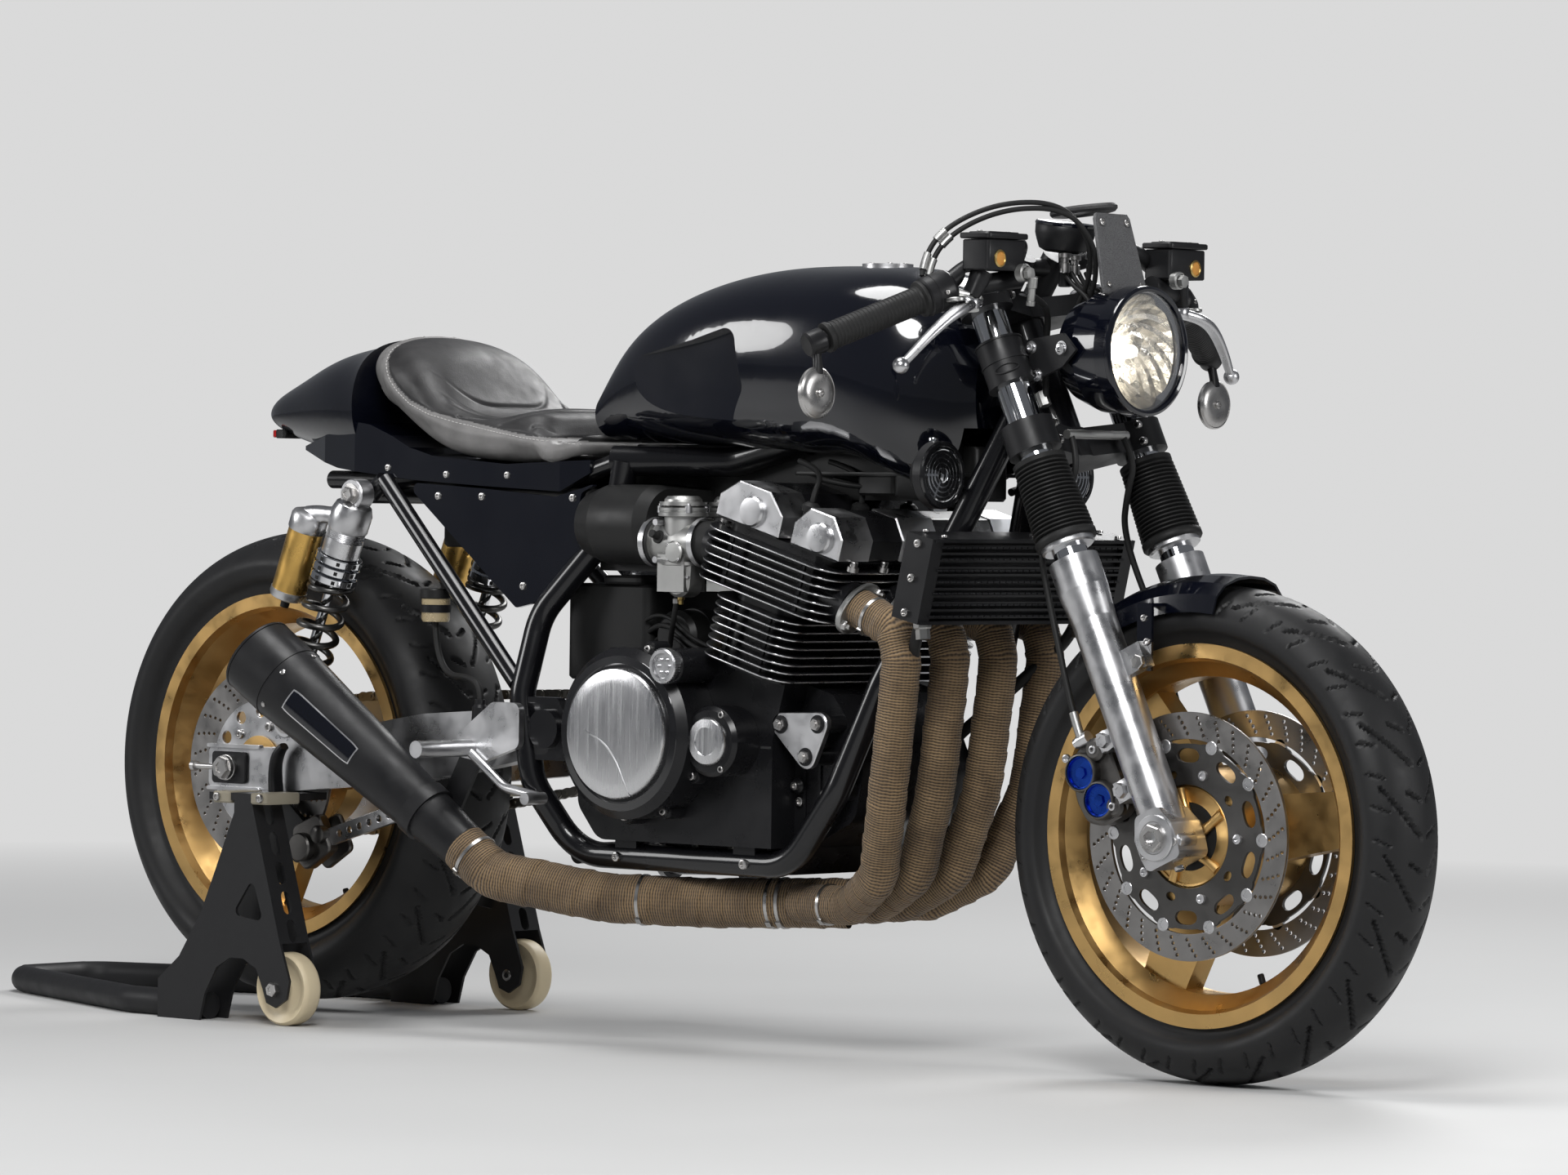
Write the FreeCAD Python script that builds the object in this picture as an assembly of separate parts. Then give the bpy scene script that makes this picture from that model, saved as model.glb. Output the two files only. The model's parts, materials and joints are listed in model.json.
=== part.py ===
"""Cafe racer motorcycle on its rear paddock stand, in millimetres.

X runs forward, Y to the rider's left and Z up.  The layout is drawn from the
rear axle line, and every piece is moved by one offset when it is written, so
that the origin lies on the floor under the middle of the whole machine.
"""
import FreeCAD, Part
import math
import os

V = FreeCAD.Vector
ALONG_X = V(1, 0, 0)
ALONG_Y = V(0, 1, 0)
ALONG_Z = V(0, 0, 1)
RIGHT = -1
LEFT = 1

# Driving dimensions
WHEELBASE = 1540.0
FRONT_TYRE_R = 300.0
FRONT_TYRE_W = 120.0
REAR_TYRE_R = 315.0
REAR_TYRE_W = 180.0
REAR_LIFT = 15.0
RAKE_DEG = 25.0
FORK_SPREAD = 207.0
FORK_OFFSET = 36.0
STEERING_LOCK_DEG = 30.0
CYLINDER_TILT_DEG = 15.7
CYLINDER_PITCH = 93.0
CYLINDERS = 4

# Fits and gaps shared by many pieces
OVERRUN = 5.0
FAR = 2000.0
SEAT_GAP = 0.3
RUNNING_FIT = 0.05
MOVING_GAP = 6.0

# Layout points
REAR_AXLE_Z = REAR_TYRE_R + REAR_LIFT
FRONT_AXLE_X = 1540.0
REAR_AXLE_X = FRONT_AXLE_X - WHEELBASE
FRONT_AXLE = V(FRONT_AXLE_X, 0, FRONT_TYRE_R)
REAR_AXLE = V(REAR_AXLE_X, 0, REAR_AXLE_Z)
CRANK_X = 885.0
CRANK_Z = 394.0
CRANK = V(CRANK_X, 0, CRANK_Z)
PIVOT_X = 589.0
PIVOT_Z = 400.0
PIVOT = V(PIVOT_X, 0, PIVOT_Z)
OUTPUT_SHAFT_X = 668.0
OUTPUT_SHAFT_Z = 402.0
OUTPUT_SHAFT = V(OUTPUT_SHAFT_X, 0, OUTPUT_SHAFT_Z)
CHAIN_LINE_Y = 108.0


# Helpers
def side(y_sign, point):
    return V(point.x, y_sign * point.y, point.z)


def mirrored(shape):
    return shape.mirror(V(0, 0, 0), ALONG_Y)


def pair(shape):
    return Part.makeCompound([shape, mirrored(shape)])


def fused(shapes):
    whole = shapes[0]
    if len(shapes) > 1:
        whole = whole.fuse(shapes[1:])
    return whole.removeSplitter()


def rod(start, end, radius):
    run = end.sub(start)
    return Part.makeCylinder(radius, run.Length, start, run)


def pipe(start, end, outer_r, inner_r):
    return rod(start, end, outer_r).cut(rod(start, end, inner_r))


def block(x_from, x_to, y_from, y_to, z_from, z_to):
    corner = V(x_from, y_from, z_from)
    return Part.makeBox(x_to - x_from, y_to - y_from, z_to - z_from, corner)


def disc(centre, radius, y_from, y_to):
    start = V(centre.x, y_from, centre.z)
    return Part.makeCylinder(radius, y_to - y_from, start, ALONG_Y)


def ring(centre, outer_r, inner_r, y_from, y_to):
    hole = disc(centre, inner_r, y_from - OVERRUN, y_to + OVERRUN)
    return disc(centre, outer_r, y_from, y_to).cut(hole)


def bent_wire(points, bend_r, closed=False):
    """Straight runs joined by tangent arcs, with smaller arcs where runs are short."""
    count = len(points)
    corners = range(count) if closed else range(1, count - 1)
    radii = bend_r if isinstance(bend_r, list) else [bend_r] * count
    starts = {}
    ends = {}
    arcs = {}
    for index in corners:
        here = points[index]
        back = points[index - 1].sub(here)
        ahead = points[(index + 1) % count].sub(here)
        turn = math.pi - back.getAngle(ahead)
        room = min(back.Length, ahead.Length) / 2.05
        reach = min(radii[index] * math.tan(turn / 2), room)
        if turn < 0.01 or reach < 0.01:
            starts[index] = here
            ends[index] = here
            continue
        back.normalize()
        ahead.normalize()
        first = here.add(back.multiply(reach))
        last = here.add(ahead.multiply(reach))
        radius = reach / math.tan(turn / 2)
        chord_mid = first.add(last).multiply(0.5)
        inward = chord_mid.sub(here)
        centre_reach = math.sqrt(reach ** 2 + radius ** 2)
        inward.normalize()
        middle = here.add(inward.multiply(centre_reach - radius))
        starts[index] = first
        ends[index] = last
        arcs[index] = Part.Arc(first, middle, last).toShape()
    edges = []
    last_run = count if closed else count - 1
    for index in range(last_run):
        following = (index + 1) % count
        run_start = ends.get(index, points[index])
        run_end = starts.get(following, points[following])
        if run_start.sub(run_end).Length > 0.001:
            edges.append(Part.LineSegment(run_start, run_end).toShape())
        if following in arcs:
            edges.append(arcs[following])
    return Part.Wire(Part.__sortEdges__(edges))


def bar(points, radius, bend_r):
    """A round bar swept along a bent route."""
    route = bent_wire(points, bend_r)
    heading = points[1].sub(points[0])
    section = Part.Wire([Part.makeCircle(radius, points[0], heading)])
    return route.makePipeShell([section], True, True)


def outline(points, corner_r=0.0):
    if corner_r:
        return bent_wire(points, corner_r, closed=True)
    return Part.makePolygon(points + [points[0]])


def plate(points_xz, y_from, y_to, corner_r=0.0):
    """A flat plate drawn in side view and given its thickness along Y."""
    corners = [V(x, y_from, z) for x, z in points_xz]
    face = Part.Face(outline(corners, corner_r))
    return face.extrude(V(0, y_to - y_from, 0))


def spread(shares, x_from, length, z_from, height):
    """Turn shares of a side-view box into places in it."""
    return [(x_from + length * x, z_from + height * z) for x, z in shares]


def turned(profile, centre, axis=ALONG_Y):
    """Turn a closed (radius, along) profile round an axis through the centre."""
    corners = [V(radius, along, 0) for radius, along in profile]
    face = Part.Face(Part.makePolygon(corners + [corners[0]]))
    solid = face.revolve(V(0, 0, 0), ALONG_Y, 360)
    solid.Placement = FreeCAD.Placement(centre, FreeCAD.Rotation(ALONG_Y, axis))
    return solid


def smooth_section(points):
    curve = Part.BSplineCurve()
    curve.interpolate(Points=points, PeriodicFlag=True)
    return Part.Wire([curve.toShape()])


def oval_section(x, half_width, z_low, z_high, squareness, count=16):
    """A closed curve across the machine, from an ellipse towards a box."""
    points = []
    z_mid = (z_low + z_high) / 2
    half_height = (z_high - z_low) / 2
    for step in range(count):
        angle = 2 * math.pi * (step + 0.5) / count
        across = math.copysign(abs(math.cos(angle)) ** squareness, math.cos(angle))
        up = math.copysign(abs(math.sin(angle)) ** squareness, math.sin(angle))
        points.append(V(x, half_width * across, z_mid + half_height * up))
    return smooth_section(points)


def largest(shape):
    """The main piece, without the offcuts that a cut has left."""
    return sorted(shape.Solids, key=lambda solid: solid.Volume)[-1]


def ring_of(shape, centre, count, first_deg=0.0, axis=ALONG_Y):
    copies = []
    for step in range(count):
        copy = shape.copy()
        copy.rotate(centre, axis, first_deg + 360.0 * step / count)
        copies.append(copy)
    return copies


# Fork frame: x forward across the fork, z up along it, from the front axle
def fork_placement():
    lean = FreeCAD.Rotation(ALONG_Y, -RAKE_DEG)
    return FreeCAD.Placement(FRONT_AXLE, lean)


def from_fork(x, y, s):
    return fork_placement().multVec(V(x, y, s))


def placed_on_fork(shape):
    shape.Placement = fork_placement().multiply(shape.Placement)
    return shape


# Cylinder frame: x forward across the cylinders, z up along them, from the crank
def cylinder_placement():
    lean = FreeCAD.Rotation(ALONG_Y, CYLINDER_TILT_DEG)
    return FreeCAD.Placement(CRANK, lean)


def from_crank(x, y, s):
    return cylinder_placement().multVec(V(x, y, s))


def placed_on_crank(shape):
    shape.Placement = cylinder_placement().multiply(shape.Placement)
    return shape


# Fork and steering head stations, measured up the fork from the axle
FORK_Y = FORK_SPREAD / 2
FORK_TUBE_R = 21.5
SLIDER_R = 27.5
SLIDER_TOP_R = 31.0
SLIDER_BOTTOM_S = -34.0
SLIDER_TOP_S = 361.0
SLIDER_FLARE = 40.0
GAITER_TOP_S = 493.0
LOWER_YOKE_S = 503.0
LOWER_YOKE_T = 38.0
LAMP_CLAMP_S = 592.0
LAMP_CLAMP_T = 58.0
UPPER_YOKE_S = 690.0
UPPER_YOKE_T = 27.0
TUBE_ABOVE_YOKE = 6.0
STEM_R = 15.0
STEM_BORE_R = 9.0
HEAD_TUBE_R = 30.0
YOKE_BOSS_R = 33.0
YOKE_STEM_BOSS_R = 34.0
STEERING_X = -FORK_OFFSET
HEAD_BOTTOM_S = LOWER_YOKE_S + LOWER_YOKE_T + SEAT_GAP
HEAD_TOP_S = UPPER_YOKE_S - SEAT_GAP


def fork_leg(profile, y_sign):
    """Turn a (radius, station) profile about one fork leg."""
    leg = turned(profile, V(0, y_sign * FORK_Y, 0), ALONG_Z)
    return placed_on_fork(leg)


# Front axle
AXLE_R = 12.5
AXLE_BORE_R = 8.0
AXLE_END_Y = 137.0
AXLE_HEAD_R = 17.0
AXLE_HEAD_T = 8.0
AXLE_LUG_HALF_X = 30.0
AXLE_LUG_OUT = 28.0
AXLE_LUG_TOP_S = 34.0
AXLE_LUG_CORNER_R = 9.0
AXLE_LUG_SHARES = [
    (0.06, 0.0), (0.94, 0.0), (1.0, 0.30), (1.0, 0.62), (0.80, 1.0), (0.20, 1.0), (0.0, 0.62),
    (0.0, 0.30),
]
HUB_HALF_W = 56.0


def fork_sliders():
    profile = [
        (0, SLIDER_BOTTOM_S + SLIDER_R / 2),
        (SLIDER_R, SLIDER_BOTTOM_S + SLIDER_R / 2),
        (SLIDER_R, SLIDER_TOP_S - 2 * SLIDER_FLARE),
        (SLIDER_TOP_R, SLIDER_TOP_S - SLIDER_FLARE),
        (SLIDER_TOP_R, SLIDER_TOP_S),
        (0, SLIDER_TOP_S),
    ]
    leg = fork_leg(profile, RIGHT)
    lug_points = spread(AXLE_LUG_SHARES, -AXLE_LUG_HALF_X, 2 * AXLE_LUG_HALF_X,
                        SLIDER_BOTTOM_S, AXLE_LUG_TOP_S - SLIDER_BOTTOM_S)
    lug = placed_on_fork(plate(lug_points, -FORK_Y - AXLE_LUG_OUT, -FORK_Y + SLIDER_R,
                               AXLE_LUG_CORNER_R))
    caliper_lugs = []
    for low, high in CALIPER_LUG_STATIONS:
        caliper_lugs.append(placed_on_fork(block(
            CALIPER_FACE_X + SEAT_GAP, 0,
            -FORK_Y - CALIPER_LUG_T / 2, -FORK_Y + CALIPER_LUG_T / 2,
            low, high)))
    fender_lug = placed_on_fork(block(
        0, FENDER_LUG_X,
        -FORK_Y - FENDER_LUG_T / 2, -FORK_Y + FENDER_LUG_T / 2,
        FENDER_LUG_S - FENDER_LUG_T, FENDER_LUG_S + FENDER_LUG_T))
    leg = fused([leg, lug, fender_lug] + caliper_lugs)
    axle_hole = disc(FRONT_AXLE, AXLE_R, -2 * FORK_SPREAD, 0)
    return pair(leg.cut(axle_hole))


def front_axle():
    half = [
        rod(FRONT_AXLE, V(FRONT_AXLE_X, -AXLE_END_Y, FRONT_TYRE_R), AXLE_R),
        disc(FRONT_AXLE, AXLE_HEAD_R, -FORK_Y + SLIDER_R + SEAT_GAP, -HUB_HALF_W - SEAT_GAP),
        disc(FRONT_AXLE, AXLE_HEAD_R, -FORK_Y - AXLE_LUG_OUT - AXLE_HEAD_T,
             -FORK_Y - AXLE_LUG_OUT - SEAT_GAP),
    ]
    shaft = fused(half + [mirrored(piece) for piece in half])
    bore = disc(FRONT_AXLE, AXLE_BORE_R, -FORK_SPREAD, FORK_SPREAD)
    return shaft.cut(bore)


def fork_tubes():
    start = SLIDER_TOP_S
    end = UPPER_YOKE_S + UPPER_YOKE_T + TUBE_ABOVE_YOKE
    profile = [(0, start), (FORK_TUBE_R, start), (FORK_TUBE_R, end), (0, end)]
    return pair(fork_leg(profile, RIGHT))


GAITER_RIBS = 10
GAITER_TOP_R = 32.0
GAITER_BOTTOM_R = 37.5
GAITER_FOLD = 6.5
GAITER_CUFF = 12.0


def fork_gaiters():
    bore = FORK_TUBE_R + SEAT_GAP
    low = SLIDER_TOP_S + SEAT_GAP
    profile = [(bore, low), (GAITER_BOTTOM_R, low), (GAITER_BOTTOM_R, low + GAITER_CUFF)]
    fold_length = (GAITER_TOP_S - low - 2 * GAITER_CUFF) / GAITER_RIBS
    for rib in range(GAITER_RIBS):
        share = (rib + 0.5) / GAITER_RIBS
        crest = GAITER_BOTTOM_R + (GAITER_TOP_R - GAITER_BOTTOM_R) * share
        start = low + GAITER_CUFF + fold_length * rib
        profile.append((crest - GAITER_FOLD, start))
        profile.append((crest - GAITER_FOLD, start + fold_length * 0.2))
        profile.append((crest, start + fold_length * 0.4))
        profile.append((crest, start + fold_length * 0.8))
    profile.append((GAITER_TOP_R - GAITER_FOLD, GAITER_TOP_S - GAITER_CUFF))
    profile.append((GAITER_TOP_R - GAITER_FOLD, GAITER_TOP_S))
    profile.append((bore, GAITER_TOP_S))
    return pair(fork_leg(profile, RIGHT))


def yoke_web(s_low, thickness, gap=0.0):
    base = [
        (YOKE_BOSS_R * 0.6 + gap, FORK_Y), (-gap, FORK_Y + YOKE_BOSS_R * 0.4 + gap),
        (STEERING_X - YOKE_STEM_BOSS_R - gap, YOKE_STEM_BOSS_R * 0.6 + gap),
    ]
    right_half = [V(x, -y, s_low - gap) for x, y in base]
    left_half = [V(x, y, s_low - gap) for x, y in reversed(base)]
    front = V(-FORK_OFFSET * 0.2, 0, s_low - gap)
    face = Part.Face(outline(right_half + left_half + [front]))
    return face.extrude(V(0, 0, thickness + 2 * gap))


def yoke(s_low, thickness):
    """A plate that clamps both fork tubes and carries the stem."""
    web = yoke_web(s_low, thickness)
    lift = V(0, 0, thickness)
    pieces = [web]
    for y in (-FORK_Y, FORK_Y):
        pieces.append(rod(V(0, y, s_low), V(0, y, s_low).add(lift), YOKE_BOSS_R))
    stem = V(STEERING_X, 0, s_low)
    pieces.append(rod(stem, stem.add(lift), YOKE_STEM_BOSS_R))
    return pieces


STEM_NUT_R = 20.0
STEM_NUT_T = 14.0


def triple_clamps():
    pieces = yoke(LOWER_YOKE_S, LOWER_YOKE_T) + yoke(UPPER_YOKE_S, UPPER_YOKE_T)
    stem_low = V(STEERING_X, 0, LOWER_YOKE_S)
    stem_top = V(STEERING_X, 0, UPPER_YOKE_S + UPPER_YOKE_T)
    nut_top = stem_top.add(V(0, 0, STEM_NUT_T))
    pieces.append(rod(stem_low, stem_top, STEM_R))
    pieces.append(rod(stem_top, nut_top, STEM_NUT_R))
    clamps = fused(pieces)
    for y in (-FORK_Y, FORK_Y):
        low = V(0, y, LOWER_YOKE_S - OVERRUN)
        high = V(0, y, UPPER_YOKE_S + UPPER_YOKE_T + OVERRUN)
        clamps = clamps.cut(rod(low, high, FORK_TUBE_R + RUNNING_FIT))
    bore_low = stem_low.sub(V(0, 0, OVERRUN))
    bore_high = nut_top.add(V(0, 0, OVERRUN))
    clamps = clamps.cut(rod(bore_low, bore_high, STEM_BORE_R))
    return placed_on_fork(clamps)


# Headlamp
LAMP_R = 80.0
LAMP_WALL = 3.0
LAMP_FACE_X = 1411.0
LAMP_Z = 881.0
LAMP_DEPTH = 108.0
LAMP_RIM_DEPTH = 16.0
LENS_R = 72.0
LENS_DOME = 7.0
LENS_T = 6.0
LAMP_BRACKET_T = 5.0
LAMP_BRACKET_Y = LAMP_R + SEAT_GAP
LAMP_CLAMP_R = 29.0
LAMP_BOLT_X = 1350.0
LAMP_BOLT_R = 7.0
LAMP_BOLT_IN_Y = 74.8


def headlamp_shell():
    bowl_r = LAMP_R - LAMP_WALL
    profile = [
        (0, -LAMP_DEPTH), (bowl_r * 0.45, -LAMP_DEPTH * 0.97), (bowl_r * 0.8, -LAMP_DEPTH * 0.8),
        (bowl_r * 0.97, -LAMP_DEPTH * 0.5), (bowl_r, -LAMP_RIM_DEPTH), (LAMP_R, -LAMP_RIM_DEPTH),
        (LAMP_R, 0), (LENS_R + SEAT_GAP, 0), (LENS_R + SEAT_GAP, -LAMP_RIM_DEPTH / 2),
        (LENS_R - OVERRUN, -LAMP_RIM_DEPTH / 2), (bowl_r * 0.6, -LAMP_DEPTH * 0.6),
        (0, -LAMP_DEPTH * 0.7),
    ]
    face_centre = V(LAMP_FACE_X, 0, LAMP_Z)
    return turned(profile, face_centre, ALONG_X)


def headlamp_lens():
    back = -LAMP_RIM_DEPTH / 2 + SEAT_GAP
    profile = [
        (0, back), (LENS_R, back), (LENS_R, 0), (LENS_R * 0.7, LENS_DOME * 0.6), (0, LENS_DOME),
    ]
    return turned(profile, V(LAMP_FACE_X, 0, LAMP_Z), ALONG_X)


def headlamp_brackets():
    """A clamp round each fork tube with a flat ear beside the lamp."""
    low = V(0, -FORK_Y, LAMP_CLAMP_S)
    high = V(0, -FORK_Y, LAMP_CLAMP_S + LAMP_CLAMP_T)
    clamp = placed_on_fork(pipe(low, high, LAMP_CLAMP_R, FORK_TUBE_R + RUNNING_FIT))
    root_low = from_fork(0, 0, LAMP_CLAMP_S)
    root_high = from_fork(0, 0, LAMP_CLAMP_S + LAMP_CLAMP_T)
    tip = (LAMP_FACE_X - LAMP_DEPTH * 0.55, LAMP_Z)
    ear = plate([
        (root_low.x, root_low.z), (root_high.x, root_high.z),
        (tip[0], tip[1] + LAMP_CLAMP_R * 0.7), (tip[0] + LAMP_CLAMP_R * 0.7, tip[1]),
        (tip[0], tip[1] - LAMP_CLAMP_R * 0.7),
    ], -LAMP_BRACKET_Y - LAMP_BRACKET_T, -LAMP_BRACKET_Y)
    tube = placed_on_fork(rod(low.sub(V(0, 0, LAMP_CLAMP_T)), high.add(V(0, 0, LAMP_CLAMP_T)),
                              FORK_TUBE_R + RUNNING_FIT))
    boss = disc(V(LAMP_BOLT_X, 0, LAMP_Z), LAMP_BOLT_R, -LAMP_BRACKET_Y - LAMP_BRACKET_T,
                -LAMP_BOLT_IN_Y)
    return pair(fused([clamp, ear, boss]).cut(tube))


# Handlebar and what is on it
BAR_R = 11.0
BAR_CENTRE_X = 1236.0
BAR_CENTRE_Z = 985.0
BAR_FLAT_Y = 40.0
BAR_SHOULDER = V(1300, 105, 1012)
BAR_ELBOW = V(1290, 200, 974)
GRIP_INNER = V(1269, 250, 939)
GRIP_OUTER = V(1218, 370, 888)
BAR_BEND_R = 45.0
GRIP_R = 16.5
GRIP_FLANGE_R = 22.0
GRIP_FLANGE_T = 5.0
RISER_R = 17.0


def bar_axis():
    heading = GRIP_OUTER.sub(GRIP_INNER)
    heading.normalize()
    return heading


def along_grip(distance, y_sign=LEFT):
    point = GRIP_INNER.add(bar_axis().multiply(distance))
    return side(y_sign, point)


GRIP_LENGTH = GRIP_OUTER.sub(GRIP_INNER).Length
BAR_END_OVERHANG = 4.0


def handlebar_route():
    left_half = [
        V(BAR_CENTRE_X, BAR_FLAT_Y, BAR_CENTRE_Z), BAR_SHOULDER, BAR_ELBOW, GRIP_INNER,
        along_grip(GRIP_LENGTH + BAR_END_OVERHANG),
    ]
    left_half[3] = along_grip(-BAR_BEND_R * 0.4)
    right_half = [side(RIGHT, point) for point in reversed(left_half)]
    return right_half + left_half


def riser_solids(radius):
    pieces = []
    for y_sign in (RIGHT, LEFT):
        base = from_fork(STEERING_X, 0, UPPER_YOKE_S + UPPER_YOKE_T + SEAT_GAP)
        foot = V(base.x, y_sign * BAR_FLAT_Y * 0.8, base.z)
        top = V(BAR_CENTRE_X, y_sign * BAR_FLAT_Y * 0.8, BAR_CENTRE_Z)
        up = top.sub(foot)
        up.normalize()
        pieces.append(rod(foot, top.add(up.multiply(BAR_R + OVERRUN)), radius))
    return pieces


def handlebar():
    tube = bar(handlebar_route(), BAR_R, BAR_BEND_R)
    yoke_top = block(-FORK_SPREAD, FORK_SPREAD, -FORK_SPREAD, FORK_SPREAD,
                     UPPER_YOKE_S, UPPER_YOKE_S + UPPER_YOKE_T + SEAT_GAP)
    nut_room = rod(V(STEERING_X, 0, UPPER_YOKE_S),
                   V(STEERING_X, 0, UPPER_YOKE_S + UPPER_YOKE_T + STEM_NUT_T + SEAT_GAP),
                   STEM_NUT_R + SEAT_GAP)
    whole = fused([tube] + riser_solids(RISER_R))
    whole = whole.cut(placed_on_fork(yoke_top))
    return whole.cut(placed_on_fork(nut_room))


def grips():
    fit = BAR_R + RUNNING_FIT
    body = pipe(along_grip(0), along_grip(GRIP_LENGTH), GRIP_R, fit)
    flange = pipe(along_grip(0), along_grip(GRIP_FLANGE_T), GRIP_FLANGE_R, fit)
    return pair(fused([body, flange]))


MIRROR_R = 31.0
MIRROR_T = 9.0
MIRROR_DROP = 62.0
MIRROR_ARM_R = 6.0
END_CAP_R = 15.0
END_CAP_T = 22.0


def bar_end_mirrors():
    start = along_grip(GRIP_LENGTH + BAR_END_OVERHANG + SEAT_GAP)
    end = along_grip(GRIP_LENGTH + BAR_END_OVERHANG + END_CAP_T)
    cap = rod(start, end, END_CAP_R)
    middle = start.add(end).multiply(0.5)
    glass_centre = middle.sub(V(0, 0, MIRROR_DROP))
    arm = rod(middle, glass_centre, MIRROR_ARM_R)
    glass = rod(glass_centre.sub(V(MIRROR_T / 2, 0, 0)), glass_centre.add(V(MIRROR_T / 2, 0, 0)),
                MIRROR_R)
    return pair(fused([cap, arm, glass]))


LEVER_PIVOT = V(1303, 204, 934)
LEVER_KNUCKLE = V(1314, 246, 922)
LEVER_REACH = V(1306, 292, 886)
LEVER_TIP = V(1296, 321, 857)
LEVER_R = 6.0
LEVER_BALL_R = 10.0
LEVER_BEND_R = 60.0
LEVER_HUB_R = 13.0
LEVER_HUB_T = 12.0
PERCH_INBOARD = 22.0
PERCH_R = 17.0
PERCH_T = 20.0
PERCH_ARM_R = 9.0
SWITCH_R = 24.0
SWITCH_LENGTH = 13.0


def levers():
    """A cranked finger lever with a ball end, on its pivot hub."""
    blade = bar([LEVER_PIVOT, LEVER_KNUCKLE, LEVER_REACH, LEVER_TIP], LEVER_R, LEVER_BEND_R)
    ball = Part.makeSphere(LEVER_BALL_R, LEVER_TIP)
    half = V(0, 0, LEVER_HUB_T / 2)
    hub = rod(LEVER_PIVOT.sub(half), LEVER_PIVOT.add(half), LEVER_HUB_R)
    return pair(fused([blade, ball, hub]))


FLUID_BOX_LENGTH = 72.0
FLUID_BOX_DEPTH = 42.0
FLUID_BOX_HEIGHT = 40.0
FLUID_BOX_LID = 6.0
FLUID_BOX_X = 1296.0
FLUID_BOX_Y = 140.0
FLUID_BOX_Z = 972.0
PUMP_R = 11.0
BANJO_R = 9.0
BANJO_Y = 150.0
BANJO_Z = 974.0


def master_cylinders():
    """The perch clamped on the bar, the pump beside it and the fluid box above."""
    centre = along_grip(-PERCH_INBOARD)
    half = bar_axis().multiply(PERCH_T / 2)
    clamp = rod(centre.sub(half), centre.add(half), PERCH_R)
    switch = rod(along_grip(-SWITCH_LENGTH), along_grip(-SEAT_GAP), SWITCH_R)
    ear_low = V(LEVER_PIVOT.x, LEVER_PIVOT.y, LEVER_PIVOT.z - LEVER_HUB_T / 2 - SEAT_GAP)
    ear_high = V(LEVER_PIVOT.x, LEVER_PIVOT.y, LEVER_PIVOT.z + LEVER_HUB_T / 2 + SEAT_GAP)
    ear = rod(ear_high, ear_high.add(V(0, 0, PERCH_ARM_R)), LEVER_HUB_R)
    arm = rod(centre, ear_high.add(V(0, 0, PERCH_ARM_R / 2)), PERCH_ARM_R / 2)
    box_low = V(FLUID_BOX_X, FLUID_BOX_Y, FLUID_BOX_Z)
    fluid_box = Part.makeBox(FLUID_BOX_DEPTH, FLUID_BOX_LENGTH, FLUID_BOX_HEIGHT, box_low)
    lid_low = box_low.add(V(-FLUID_BOX_LID / 2, -FLUID_BOX_LID / 2, FLUID_BOX_HEIGHT))
    lid = Part.makeBox(FLUID_BOX_DEPTH + FLUID_BOX_LID, FLUID_BOX_LENGTH + FLUID_BOX_LID,
                       FLUID_BOX_LID, lid_low)
    pump_start = V(FLUID_BOX_X + FLUID_BOX_DEPTH / 2, FLUID_BOX_Y - BANJO_R,
                   FLUID_BOX_Z - PUMP_R / 2)
    pump_end = V(LEVER_PIVOT.x, LEVER_PIVOT.y, FLUID_BOX_Z - PUMP_R)
    pump = rod(pump_start, pump_end, PUMP_R)
    neck = rod(pump_end, ear_high.add(V(0, 0, PERCH_ARM_R / 2)), PERCH_ARM_R)
    banjo = rod(V(FLUID_BOX_X + FLUID_BOX_DEPTH - BANJO_R, BANJO_Y, BANJO_Z),
                V(FLUID_BOX_X + FLUID_BOX_DEPTH + 2 * BANJO_R, BANJO_Y, BANJO_Z), BANJO_R)
    whole = fused([banjo, clamp, switch, ear, arm, fluid_box, lid, pump, neck])
    slot = rod(ear_low, ear_high, LEVER_HUB_R * 2)
    whole = whole.cut(slot)
    bar_hole = bar(handlebar_route(), BAR_R + RUNNING_FIT, BAR_BEND_R)
    return pair(whole.cut(bar_hole))


GAUGE_R = 37.0
GAUGE_T = 34.0
GAUGE_X = 1285.0
GAUGE_Z = 1036.0
HOOD_LENGTH = 92.0
HOOD_WIDTH = 58.0
HOOD_T = 10.0
HOOD_X = 1268.0
DASH_T = 4.0
DASH_WIDTH = 84.0
DASH_TOP_X = 1352.0
DASH_FOOT_X = 1376.0
DASH_FOOT_Z = LAMP_Z + LAMP_R * 0.84
GAUGE_STALK_R = 8.0


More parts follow.
